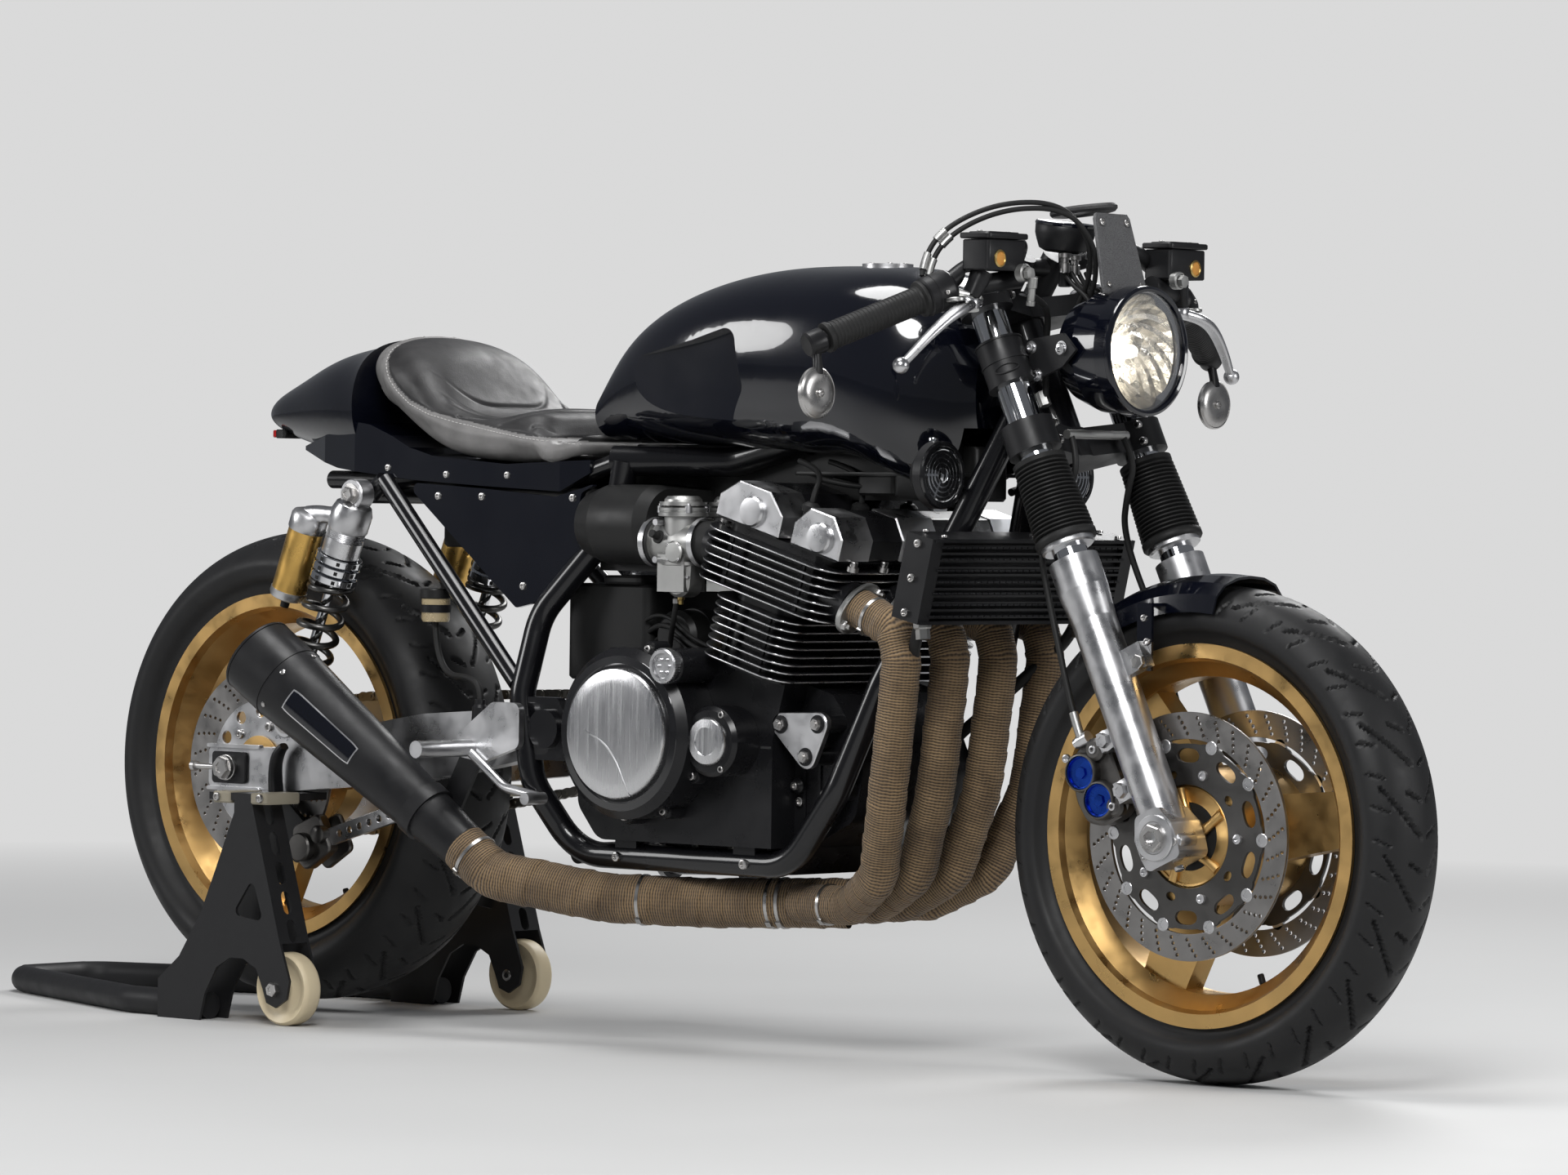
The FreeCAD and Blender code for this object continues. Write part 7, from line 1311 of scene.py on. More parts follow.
def cam_caps():
    caps = Build()
    plugs = Build()
    for rear, front in ((-84.0, 20.0), (44.0, 122.0)):
        for low, high in ((-178.5, -118), (118, 178.5)):
            crank_prism(caps, cam_section(rear, front, 1.6), low, high)
        middle = (rear + front) / 2 + 6
        for side in (-1, 1):
            spot = crank_point(middle, side * 177, 290)
            plugs.lathe(mm_pairs([(19, -1), (19, 5), (17, 7.5), (11, 8), (1.0, 8)]), spot,
                        (0, side, 0), 36)
    crank_prism(caps, cam_section(44.0, 122.0, 1.6), -62, 8)
    caps.done("cam_end_caps", "main", "bright_aluminium", True, 25)
    plugs.done("cam_end_plugs", "main", "bright_aluminium")
    bolts = Build()
    for rear, front in ((-84.0, 20.0), (44.0, 122.0)):
        for x in (rear - 6, front + 5):
            for y in (-150, -93, -30, 30, 93, 150):
                spot = crank_point(x, y, 262)
                bolts.lathe(mm_pairs([(7.5, -4), (7.5, 2)]), spot, CRANK_S, 16)
                bolts.bolt(crank_point(x, y, 264), CRANK_S, 5.0 * MM, 7 * MM)
    bolts.done("cam_cover_bolts", "main", "steel")
    leads = Build()
    for y in (-139.5, -46.5, 46.5, 139.5):
        top = crank_point(32, y, 306)
        leads.lathe(mm_pairs([(9, -44), (9, 0), (11.5, 1), (11.5, 9), (6.5, 13), (1.0, 13)]), top,
                    CRANK_S, 20)
        route = [crank_point(32, y, 312), crank_point(31, y, 330), crank_point(20, y * 0.86, 346),
                 crank_point(-10, y * 0.7, 352), crank_point(-48, y * 0.62, 350)]
        leads.tube(smooth_path(route, 10), 3.6 * MM, 10)
    leads.done("plug_caps", "main", "rubber")


def ring_bolts(build, x, z, y, radius, count, size, first=0.0, skip=()):
    side = 1 if y > 0 else -1
    for k in range(count):
        if k in skip:
            continue
        angle = math.radians(first + 360 * k / count)
        spot = at(x + radius * math.cos(angle), y, z + radius * math.sin(angle))
        build.bolt(spot, (0, side, 0), size * MM, size * 0.95 * MM)


def engine_covers():
    bolts = Build()
    lugs = Build()
    for k in range(10):
        angle = math.radians(8 + 36 * k)
        x = 750 + 107 * math.cos(angle)
        z = 400 + 107 * math.sin(angle)
        if math.hypot(x - 836, z - 487) < 32 or math.hypot(x - 885, z - 394) < 50:
            continue
        lugs.lathe(mm_pairs([(10.5, 0), (10.5, 26), (9, 29)]), at(x, -150, z), RIGHT, 20)
        bolts.bolt(at(x, -178.5, z), RIGHT, 5.6 * MM, 6 * MM)
    for k in range(3):
        angle = math.radians(60 + 120 * k)
        x, z = 885 + 39 * math.cos(angle), 394 + 39 * math.sin(angle)
        if x > 865:
            bolts.bolt(at(x, -191.5, z), RIGHT, 4.6 * MM, 5 * MM)
    ring_bolts(bolts, 885, 394, 191, 69, 8, 5.2, 12)
    for x, z in ((655, 340), (655, 452), (785, 340), (785, 462), (716, 335), (716, 468)):
        bolts.bolt(at(x, 175.6, z), LEFT, 5.0 * MM, 5 * MM)
    lugs.done("clutch_cover_lugs", "main", "engine_black")
    bolts.done("cover_bolts", "main", "steel")
    ring = Build()
    ring.lathe(mm_pairs([(104, -3), (105.5, 0), (104.2, 2.5), (97, 10.6), (88, 11.4), (86, 10.2),
                         (86, -3)]), at(750, -204, 400), RIGHT, 96, True)
    ring.done("clutch_cover_ring", "main", "gloss_engine")
    face = Build()
    profile = [(0.001, 9.6), (30, 9.4), (62, 8.6), (76, 7.4), (80.5, 6.2), (82, 4.0), (82, -4)]
    face.lathe([(r * MM, a * MM) for r, a in profile][::-1], at(750, -216.5, 400), RIGHT, 120)
    disk = face.done("clutch_disc", "main", "brushed_face")
    sweep_line = [at(678, -221.6, 424), at(700, -224.6, 402), at(733, -226.3, 391),
                  at(757, -226.4, 368), at(772, -224.6, 336), at(778, -222.2, 322)]
    crest = Build()
    crest.tube(smooth_path(sweep_line, 12), [1.2 * MM] * len(smooth_path(sweep_line, 12)), 10)
    crest.done("clutch_disc_rib", "main", "bright_aluminium")
    cap = Build()
    profile = [(20, 0), (20, 3), (21.5, 4), (21.5, 15), (20, 17), (16, 17), (15, 13.5),
               (0.001, 13.5)]
    cap.lathe([(r * MM, a * MM) for r, a in profile], at(836, -214, 487), RIGHT, 48)
    for k in range(6):
        angle = math.pi * k / 3
        cap.lathe(mm_pairs([(2.2, 0), (2.2, 3)]), at(836 + 9 * math.cos(angle), -227.5,
                                                     487 + 9 * math.sin(angle)), RIGHT, 10)
    for k in range(40):
        angle = math.tau * k / 40
        cap.lathe(mm_pairs([(0.9, 4.5), (0.9, 14.5)]), at(836 + 21.6 * math.cos(angle), -214,
                                                          487 + 21.6 * math.sin(angle)), RIGHT, 6)
    cap.done("oil_filler_cap", "main", "bright_aluminium")
    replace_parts(disk, "clutch_face")
    spin = Build()
    spin.lathe(mm_pairs([(30, 0), (30, 3), (28, 6), (18, 7), (17, 5.6), (1.0, 5.6)]),
               at(885, -196, 394), RIGHT, 64)
    spin.lathe(mm_pairs([(40, 0), (40, 3), (36, 6), (34, 4.5), (1.0, 4.5)]), at(885, 205, 394),
               LEFT, 64)
    spin.done("crank_end_covers", "main", "brushed_face")


def engine_bracket():
    """The polished three-bolt mounting plate on the right front of the engine."""
    corners = [(963.5, 417), (1023.5, 419), (1004.5, 378)]
    outline = []
    for index, (x, z) in enumerate(corners):
        before = corners[index - 1]
        after = corners[(index + 1) % 3]
        a1 = math.atan2(z - before[1], x - before[0])
        a2 = math.atan2(after[1] - z, after[0] - x)
        turn = (a2 - a1 + math.pi) % (math.tau) - math.pi
        normal = a1 - math.copysign(math.pi / 2, turn)
        for k in range(9):
            angle = normal + turn * k / 8
            outline.append((x + 15 * math.cos(angle), z + 15 * math.sin(angle)))
    cx, cz = 997, 405
    verts, faces = slab([((x - cx) * MM, (z - cz) * MM) for x, z in outline], 0, 11 * MM, 1.6 * MM)
    place = side_plane(-139 * MM, at(cx, 0, cz).xz)
    plate = Build()
    plate.add([place @ v for v in verts], faces)
    plate.done("engine_bracket", "main", "bright_aluminium", True, 30)
    posts = Build()
    bolts = Build()
    for x, z in corners:
        posts.lathe(mm_pairs([(11, 0), (11, 36)]), at(x, -104, z), RIGHT, 24)
        posts.lathe(mm_pairs([(11.5, 0), (11.5, 0.6), (8.6, 0.7)]), at(x, -150, z), RIGHT, 24)
        bolts.hex_nut(at(x, -150.2, z), RIGHT, 7.8 * MM, 6.5 * MM)
        bolts.lathe(mm_pairs([(4, 0), (4, 9)]), at(x, -150.2, z), RIGHT, 14)
    posts.done("bracket_posts", "main", "engine_black")
    bolts.done("bracket_bolts", "main", "steel")


def carb_details():
    """Caps, bowls, rails, screws and linkage on the bank of carburettors."""
    cast = Build()
    bright = Build()
    dark = Build()
    brass = Build()
    mid = 787
    for y in (-139.5, -46.5, 46.5, 139.5):
        cast.lathe(mm_pairs([(27, 0), (31.5, 1), (31.5, 5), (30, 6), (30, 7), (31, 8), (31, 11),
                             (25, 14), (23.5, 22), (20, 26), (1.0, 27)]), at(mid, y, 672),
                   (0, 0, 1), 40)
        for dx, dy in ((23, 16), (-23, 16), (23, -16), (-23, -16)):
            bright.lathe(mm_pairs([(5.0, -6), (5.0, 2.6)]), at(mid + dx, y + dy, 683), (0, 0, 1),
                         14)
            bright.bolt(at(mid + dx, y + dy, 685.6), (0, 0, 1), 3.1 * MM, 3 * MM)
            bright.bolt(at(mid + dx * 0.95, y + dy * 0.95, 598), (0, 0, -1), 2.8 * MM, 3 * MM)
        outline = [(x * MM, z * MM) for x, z in bowl_outline()]
        verts, faces = slab(outline, -16 * MM, 16 * MM, 4 * MM)
        place = Matrix(((1, 0, 0, at(mid, 0, 0).x), (0, 0, -1, y * MM), (0, 1, 0, 0.595),
                        (0, 0, 0, 1)))
        cast.add([place @ v for v in verts], faces)
        flange = [(27 * math.copysign(abs(math.cos(t)) ** 0.5, math.cos(t)) * MM,
                   21 * math.copysign(abs(math.sin(t)) ** 0.5, math.sin(t)) * MM)
                  for t in [math.tau * k / 40 for k in range(40)]]
        verts, faces = slab(flange, 0, 5 * MM, 0.8 * MM)
        cast.add([v + at(mid, y, 611) for v in verts], faces)
        brass.lathe(mm_pairs([(4.5, 0), (4.5, 3), (3, 4), (3, 9)]), at(mid - 2, y, 571),
                    (0, 0, -1), 12)
        side = -1 if y < 0 else 1
        cast.lathe(mm_pairs([(14, 0), (14, 2.5), (12, 4.5), (1.0, 5)]),
                   at(mid + 8, y + side * 24, 628), (0, side, 0), 24)
        for dx, dz in ((9, 9), (-9, 9), (9, -9), (-9, -9)):
            bright.bolt(at(mid + 8 + dx, y + side * 26.6, 628 + dz), (0, side, 0), 1.9 * MM,
                        2 * MM)
        dark.lathe(mm_pairs([(8.5, 0), (8.5, 3), (5, 4), (5, 16)]),
                   at(mid - 20, y + side * 22, 646), (0, side, 0.35), 18)
        cast.lathe(mm_pairs([(29.5, 0), (29.5, 6), (27, 7)]), at(752, y, 640), (-1, 0, 0), 36)
        for x in (742, 824):
            bright.lathe(mm_pairs([(30.6, -4), (31.4, -4), (31.4, 4), (30.6, 4)]), at(x, y, 640),
                         (1, 0, 0), 40, True)
    for z in (665, 618):
        bright.tube([at(765, -168, z), at(765, 168, z)], 4.2 * MM, 12)
    for y in (-93, 0, 93):
        brass.lathe(mm_pairs([(5, -12), (5, 12)]), at(775, y, 612), (0, 1, 0), 12)
    cast.done("carb_castings", "main", "cast_aluminium", True, 30)
    bright.done("carb_screws", "main", "bright_aluminium")
    dark.done("carb_fittings", "main", "rubber")
    brass.done("carb_brass", "main", "brass")


def bowl_outline():
    points = [(25, 17)]
    for k in range(13):
        angle = -math.pi * k / 12
        points.append((4 + 19 * math.cos(angle), -8 + 16 * math.sin(angle)))
    points.append((-25, 17))
    return points


def gasket_lines():
    """Bright machined joints and ribs on the crankcase sides."""
    lines = Build()
    for side, y in ((-1, -150.4), (1, 150.4)):
        lines.box(at(862 if side > 0 else 930, y - 0.5, 386), at(948, y + 0.5, 389))
    lines.done("case_joints", "main", "fin_edge")
    ribs = Build()
    for y in (-106.6, 106.6):
        side = -1 if y < 0 else 1
        for x in (966, 990, 1030):
            ribs.box(at(x, y - 2, 300), at(x + 4, y + 2, 372))
        for x, z in ((960, 340), (1048, 372), (1002, 318)):
            ribs.lathe(mm_pairs([(10, -4), (10, 7), (8, 9)]), at(x, y, z), (0, side, 0), 20)
    ribs.done("case_ribs", "main", "engine_black")
    screws = Build()
    for y in (-106.6, 106.6):
        side = -1 if y < 0 else 1
        for x, z in ((960, 340), (1048, 372), (1002, 318)):
            screws.bolt(at(x, y + side * 8.6, z), (0, side, 0), 5.4 * MM, 6 * MM)
    for x in (735, 790, 850, 905, 950):
        for side in (-1, 1):
            screws.bolt(at(x, side * 112, 262), (0, 0, -1), 5 * MM, 5 * MM)
    screws.done("case_screws", "main", "steel")


# Cockpit
HELD = "steering_assembly"


def eased_box(build, low, high, corner=3.0, bevel=1.0, axis=2):
    """A block with rounded uprights along one axis and eased ends, in layout mm."""
    a, b = [k for k in range(3) if k != axis]
    half_a = (high[a] - low[a]) / 2
    half_b = (high[b] - low[b]) / 2
    outline = []
    for sa, sb, start in ((1, 1, 0), (-1, 1, 90), (-1, -1, 180), (1, -1, 270)):
        for k in range(5):
            angle = math.radians(start + 22.5 * k)
            outline.append(((sa * (half_a - corner) + corner * math.cos(angle)) * MM,
                            (sb * (half_b - corner) + corner * math.sin(angle)) * MM))
    depth = (high[axis] - low[axis]) / 2 * MM
    verts, faces = slab(outline, -depth, depth, bevel * MM)
    centre = at(*[(p + q) / 2 for p, q in zip(low, high)])
    placed = []
    for v in verts:
        spot = Vector((0, 0, 0))
        spot[a], spot[b], spot[axis] = v.x, v.y, v.z
        placed.append(centre + spot)
    if axis == 1:
        faces = [tuple(reversed(face)) for face in faces]
    build.add(placed, faces)


def turned(build, profile, centre, axis, count=36):
    """Turn (radius, along) pairs in mm round an axis through a layout point."""
    build.lathe([(max(r, 0.01) * MM, a * MM) for r, a in profile], at(*centre), axis, count)


def blade(build, points, sizes, steps=12):
    """A bar along a curve whose flat section changes from end to end."""
    path = smooth_path([at(*p) for p in points], steps)
    sections = []
    for i in range(len(path)):
        share = i / (len(path) - 1) * (len(sizes) - 1)
        k = min(int(share), len(sizes) - 2)
        t = share - k
        wide = sizes[k][0] * (1 - t) + sizes[k + 1][0] * t
        high = sizes[k][1] * (1 - t) + sizes[k + 1][1] * t
        ring = []
        for step in range(20):
            angle = math.tau * step / 20
            ring.append((high * MM * math.copysign(abs(math.sin(angle)) ** 0.7, math.sin(angle)),
                         wide * MM * math.copysign(abs(math.cos(angle)) ** 0.7, math.cos(angle))))
        sections.append(ring)
    verts = sweep(path, sections, up=(0, 0, 1))
    faces = grid_faces(len(path), 20, wrap_cols=True)
    faces.append(tuple(range(20))[::-1])
    faces.append(tuple((len(path) - 1) * 20 + i for i in range(20)))
    build.add(verts, faces)


def grip_point(distance, side):
    inner = Vector((1269, side * 250, 939))
    heading = (Vector((1218, side * 370, 888)) - inner).normalized()
    return inner + heading * distance, heading


def cables():
    """Two throttle cables over the gauge, the brake hose and its branches."""
    lines = Build()
    bright = Build()
    route = [(1262, -244, 966), (1256, -232, 996), (1276, -205, 1032), (1310, -150, 1058),
             (1352, -92, 1058), (1362, -52, 1020), (1345, -24, 980), (1322, -10, 950),
             (1296, -4, 915), (1286, -2, 884)]
    for shift in ((0, 0, 0), (5, 5, -7)):
        path = smooth_path([at(x + shift[0], y + shift[1], z + shift[2]) for x, y, z in route], 14)
        lines.tube(path, 3.2 * MM, 14)
        for first, last in ((2, 9), (14, 20)):
            bright.tube(path[first:last], 4.8 * MM, 14)
    hose = [(1352, -150, 958), (1350, -149, 946), (1336, -110, 940), (1314, -66, 928),
            (1303, -58, 880), (1304, -58, 850), (1303, -57, 820)]
    lines.tube(smooth_path([at(*p) for p in hose], 14), 4.0 * MM, 14)
    for side in (-1, 1):
        leg = [fork_point(19.5, side * 50, 520), fork_point(22, side * 56, 485),
               fork_point(-6, side * 56, 455), fork_point(-54, side * 84, 420),
               fork_point(-62, side * 100, 300), fork_point(-76, side * FORK_Y, 190),
               fork_point(-76, side * FORK_Y, 156)]
        path = smooth_path(leg, 14)
        lines.tube(path, 4.0 * MM, 14)
        bright.tube(path[-9:-1], 5.6 * MM, 14)
    lines.done("hoses_and_cables", HELD, "rubber")
    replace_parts(bpy.data.objects["hoses_and_cables"], "brake_hoses")
    turned(bright, [(6.0, 0), (6.0, 12), (4.6, 13), (4.6, 28), (5.4, 29), (5.4, 34)],
           (1357, -150, 966), (-0.15, 0.05, -1), 18)
    for side in (-1, 1):
        turned(bright, [(5, -10), (7.5, -9), (7.5, 9), (5, 10)], (1300, side * 57, 822),
               (0.42, 0, -0.9), 6)
    bright.tube([fork_point(19.5, -58, 520), fork_point(19.5, 58, 520)], 5.6 * MM, 20)
    bright.done("cable_fittings", HELD, "cast_aluminium")


FORK_RAKE = math.radians(25)
FORK_UP = Vector((-math.sin(FORK_RAKE), 0, math.cos(FORK_RAKE)))
FORK_AHEAD = Vector((math.cos(FORK_RAKE), 0, math.sin(FORK_RAKE)))


def fork_point(x, y, s):
    """A point ahead of, beside and along the fork from the front axle (mm)."""
    return at(1540 + x * math.cos(FORK_RAKE) - s * math.sin(FORK_RAKE), y,
              300 + x * math.sin(FORK_RAKE) + s * math.cos(FORK_RAKE))


def lever_side(side):
    tag = side_name(side)
    lever = Build()
    points = [(1300, 186, 936), (1303, 204, 934), (1316, 236, 926), (1314, 262, 912),
              (1306, 292, 886), (1299, 312, 865), (1296, 321, 857)]
    sizes = [(8, 6.5), (11, 6.5), (9.5, 6.0), (8.2, 5.0), (7.0, 4.4), (6.0, 4.2), (5.0, 4.2)]
    blade(lever, [(x, side * y, z) for x, y, z in points], sizes, 14)
    tip = at(1296, side * 321, 857)
    lever.lathe([(10 * MM * math.sin(math.pi * k / 12) + 1e-5,
                  -10 * MM * math.cos(math.pi * k / 12)) for k in range(13)], tip,
                (0.2, side, -1), 24)
    turned(lever, [(0, -6.2), (12, -6.2), (13, -5), (13, 5), (12, 6.2), (0, 6.2)],
           (1303, side * 204, 934), (0, 0, 1), 36)
    blade_object = lever.done("lever_" + tag, HELD, "bright_aluminium", True, 40)
    small = Build()
    turned(small, [(0, 0), (8.5, 0), (8.5, 3), (7, 4), (4, 4), (3.6, 2.4), (0, 2.4)],
           (1303, side * 204, 940), (0, 0, 1), 24)
    turned(small, [(0, 0), (11, 0), (12, 1), (12, 4), (11, 5), (0, 5)], (1304, side * 230, 935),
           (-0.1, 0, 1), 30)
    small.done("lever_screws_" + tag, HELD, "cast_aluminium")
    perch = Build()
    spot, heading = grip_point(-22, side)
    perch.lathe(mm_pairs([(11, -11), (17.4, -11), (18, -9), (18, 9), (17.4, 11), (11, 11)]),
                at(*spot), heading, 36)
    blade(perch, [tuple(spot), (1290, side * 215, 946), (1303, side * 204, 944)],
          [(9, 8), (9, 7), (11, 4)])
    blade(perch, [(1303, side * 204, 926), (1296, side * 196, 930), (1300, side * 186, 944)],
          [(12, 3), (9, 4), (9, 8)])
    perch.done("lever_perch_" + tag, HELD, "cast_aluminium", True, 40)
    return blade_object


def fluid_box(side):
    tag = side_name(side)
    low, high = sorted((side * 140, side * 212))
    dark = Build()
    eased_box(dark, (1296, low, 974), (1338, high, 1011), 5, 1.6)
    eased_box(dark, (1293, low - 3, 1012), (1341, high + 3, 1019), 6, 1.4)
    eased_box(dark, (1300, low + 6, 1018), (1334, high - 6, 1020.5), 5, 1.2)
    turned(dark, [(0, 0), (11, 0), (12, 2), (12, 62), (10, 66), (0, 66)], (1317, side * 128, 966),
           (-0.2, side * 0.97, -0.15), 28)
    blade(dark, [(1310, side * 190, 972), (1308, side * 196, 956), (1303, side * 202, 944)],
          [(14, 12), (12, 11), (12, 9)])
    main = dark.done("fluid_box_" + tag, HELD, "satin_black", True, 35)
    bright = Build()
    for y in (low + 9, high - 9):
        bright.bolt(at(1317, y, 1020.3), (0, 0, 1), 3.6 * MM, 1.6 * MM)
    turned(bright, [(0, 0), (11, 0), (11, 9), (9.5, 10.5), (8, 10.5), (7.5, 9), (0, 9)],
           (1337, side * 150, 972), (1, 0, 0), 30)
    turned(bright, [(0, 0), (8, 0), (8, 6), (0, 6.5)], (1348, side * 150, 971), (1, 0, 0), 6)
    bright.done("banjo_" + tag, HELD, "cast_aluminium")
    brass = Build()
    turned(brass, [(8.2, 0), (10.6, 0), (10.6, 1.6), (8.6, 2.6), (8.0, 1.2)],
           (1337.5, side * 190, 988), (1, 0, 0), 40)
    brass.done("sight_ring_" + tag, HELD, "brass")
    glass = Build()
    turned(glass, [(0, 0.2), (8.2, 0.2), (8.2, 1.2), (5, 1.9), (0, 2.1)],
           (1337.5, side * 190, 988), (1, 0, 0), 30)
    glass.done("sight_glass_" + tag, HELD, "amber_glass")
    return main


def grip_side(side):
    tag = side_name(side)
    grip = Build()
    start, heading = grip_point(0, side)
    length = 139.7
    profile = [(11.4, 0), (22, 0), (22.6, 1.5), (22, 4.5), (17.6, 6.5)]
    for k in range(24):
        base = 9 + k * 5.1
        profile += [(16.3, base), (16.9, base + 0.8), (16.9, base + 3.4), (16.3, base + 4.2)]
    profile += [(17.2, length - 8), (18.6, length - 6), (18.6, length - 1), (15, length),
                (11.4, length)]
    turned(grip, profile, tuple(start), heading, 40)
    main = grip.done("grip_" + tag, HELD, "rubber")
    box = Build()
    turned(box, [(12, -40), (19, -40), (22.5, -37), (24, -34), (24.2, -14), (23.6, -13.4),
                 (23.6, -12.2), (24.2, -11.6), (24, -3), (21, -0.6), (12, -0.6)], tuple(start),
           heading, 44)
    box.done("switch_housing_" + tag, HELD, "satin_black")
    screws = Build()
    for turn in (0.6, 2.4):
        aside = heading.orthogonal().normalized()
        out = (aside * math.cos(turn) + heading.cross(aside) * math.sin(turn)).normalized()
        screws.bolt(at(*(start - heading * 22)) + out * 23.6 * MM, out, 3.0 * MM, 2.4 * MM)
    screws.done("switch_screws_" + tag, HELD, "steel")
    mirror = Build()
    centre = Vector((1220, side * 385, 823))
    cap, heading = grip_point(length + 15, side)
    turned(mirror, [(8, -12), (15, -11), (15.6, -9), (15.6, 8), (13, 11), (0, 11)], tuple(cap),
           heading, 32)
    blade(mirror, [tuple(cap), (cap.x + 6, cap.y, cap.z - 18),
                   tuple(centre + Vector((2, 0, 20)))], [(7, 6), (6, 4.5), (8, 3.5)])
    turned(mirror, [(0, -2.6), (28.4, -2.6), (28.4, -3.4), (0, -3.4)], tuple(centre), (1, 0, 0),
           48)
    mirror.done("mirror_" + tag, HELD, "satin_black")
    dish = Build()
    turned(dish, [(0, 5.2), (6, 5.2), (14, 6.4), (22, 5.4), (28, 3.2), (28.6, 2.4), (29.4, 3.0),
                  (31, 1.4), (31, -3), (29.6, -4.4), (28.6, -3.6), (28.4, -1), (0, -1)],
           tuple(centre), (1, 0, 0), 64)
    turned(dish, [(0, 2), (5.0, 2), (5.0, 7.4), (4.2, 8.4), (2.4, 8.6), (2.4, 7.2), (0, 7)],
           tuple(centre), (1, 0, 0), 28)
    dish.done("mirror_dish_" + tag, HELD, "steel")
    glass = Build()
    turned(glass, [(0, -3.2), (28.8, -3.2), (28.8, -3.8), (0, -3.8)], tuple(centre), (1, 0, 0), 56)
    glass.done("mirror_glass_" + tag, HELD, "mirror_face")
    return main


def gauge():
    body = Build()
    turned(body, [(0, -34), (22, -34), (30, -30), (34, -20), (36.6, -12), (37, -2), (36, 0),
                  (33.6, 0), (33, -1.6), (0, -1.6)], (1285, 0, 1036), (0.12, 0, 1), 64)
    body.lathe(mm_pairs([(6, 0), (8.5, 1), (8.5, 44)]), at(1285, 0, 960), (0, 0, 1), 24)
    main = body.done("gauge_body", HELD, "satin_black", True, 30)
    rim = Build()
    turned(rim, [(34.2, -1), (37.4, -1), (37.8, 1), (36.4, 3.2), (34.4, 2.4)], (1285, 0, 1036),
           (0.12, 0, 1), 64)
    rim.done("gauge_rim", HELD, "gloss_black_paint")
    face = Build()
    turned(face, [(0, -1.2), (34, -1.2), (34, -0.4), (0, -0.2)], (1285, 0, 1036), (0.12, 0, 1), 48)
    face.done("gauge_face", HELD, "gauge_dark")
    hood = Build()
    outline = []
    for k in range(64):
        angle = math.tau * k / 64
        along = math.cos(angle)
        wide = 29 * (1 - 0.30 * max(along, 0) ** 2) * abs(math.sin(angle)) ** 0.85
        outline.append((48 * along * MM, math.copysign(wide, math.sin(angle)) * MM))
    verts, faces = slab(outline, -4.6 * MM, 4.6 * MM, 3.0 * MM)
    tilt = Matrix.Rotation(math.radians(-6), 4, "Y")
    tilt.translation = at(1314, 0, 1053)
    hood.add([tilt @ v for v in verts], faces)
    hood.done("gauge_hood", HELD, "mesh_plastic", True, 40)
    plate = Build()
    slope = math.atan2(1380 - 1356, 1046 - 949)
    turn = Matrix.Rotation(-slope, 4, "Y")
    turn.translation = at(1367, 0, 998)
    outline = [(x * MM, y * MM) for x, y in ((-52, -30), (-52, 30), (-46, 34), (40, 42), (49, 40),
                                            (52, 34), (52, -34), (49, -40), (40, -42), (-46, -34))]
    verts, faces = slab(outline, -2.2 * MM, 2.2 * MM, 0.8 * MM)
    stand = Matrix(((0, 0, 1, 0), (0, 1, 0, 0), (-1, 0, 0, 0), (0, 0, 0, 1)))
    plate.add([turn @ stand @ v for v in verts], faces)
    plate.done("dash_plate", HELD, "textured_grey", True, 30)
    bits = Build()
    for y in (-24, 24):
        bits.bolt(turn @ Vector((2.4 * MM, y * MM, 40 * MM)), turn.to_3x3() @ Vector((1, 0, 0)),
                  4.6 * MM, 3.2 * MM)
        bits.bolt(turn @ Vector((2.4 * MM, y * 1.3 * MM, -38 * MM)),
                  turn.to_3x3() @ Vector((1, 0, 0)), 3.6 * MM, 2.6 * MM)
    for y, z in ((-26, 994), (26, 994), (0, 992)):
        turned(bits, [(4, -18), (6.5, -17), (6.5, -6), (5, -5), (5, 0), (8, 1), (8, 6), (0, 7)],
               (1300 + abs(y) * 0.2, y, z), (0, 0, 1), 16)
    bits.done("dash_screws", HELD, "steel")
    wires = Build()
    for k, y in enumerate((-18, -6, 6, 18)):
        route = [at(1300, y * 1.2, 978), at(1310, y, 962), at(1328 + 3 * k, y * 0.8, 950),
                 at(1338, y * 0.6, 934), at(1330, y * 0.5, 912)]
        wires.tube(smooth_path(route, 10), 3.0 * MM, 10)
    wires.done("gauge_wires", HELD, "rubber")
    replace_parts(main, "instrument")


def mm_pairs(pairs):
    return [(r * MM, a * MM) for r, a in pairs]


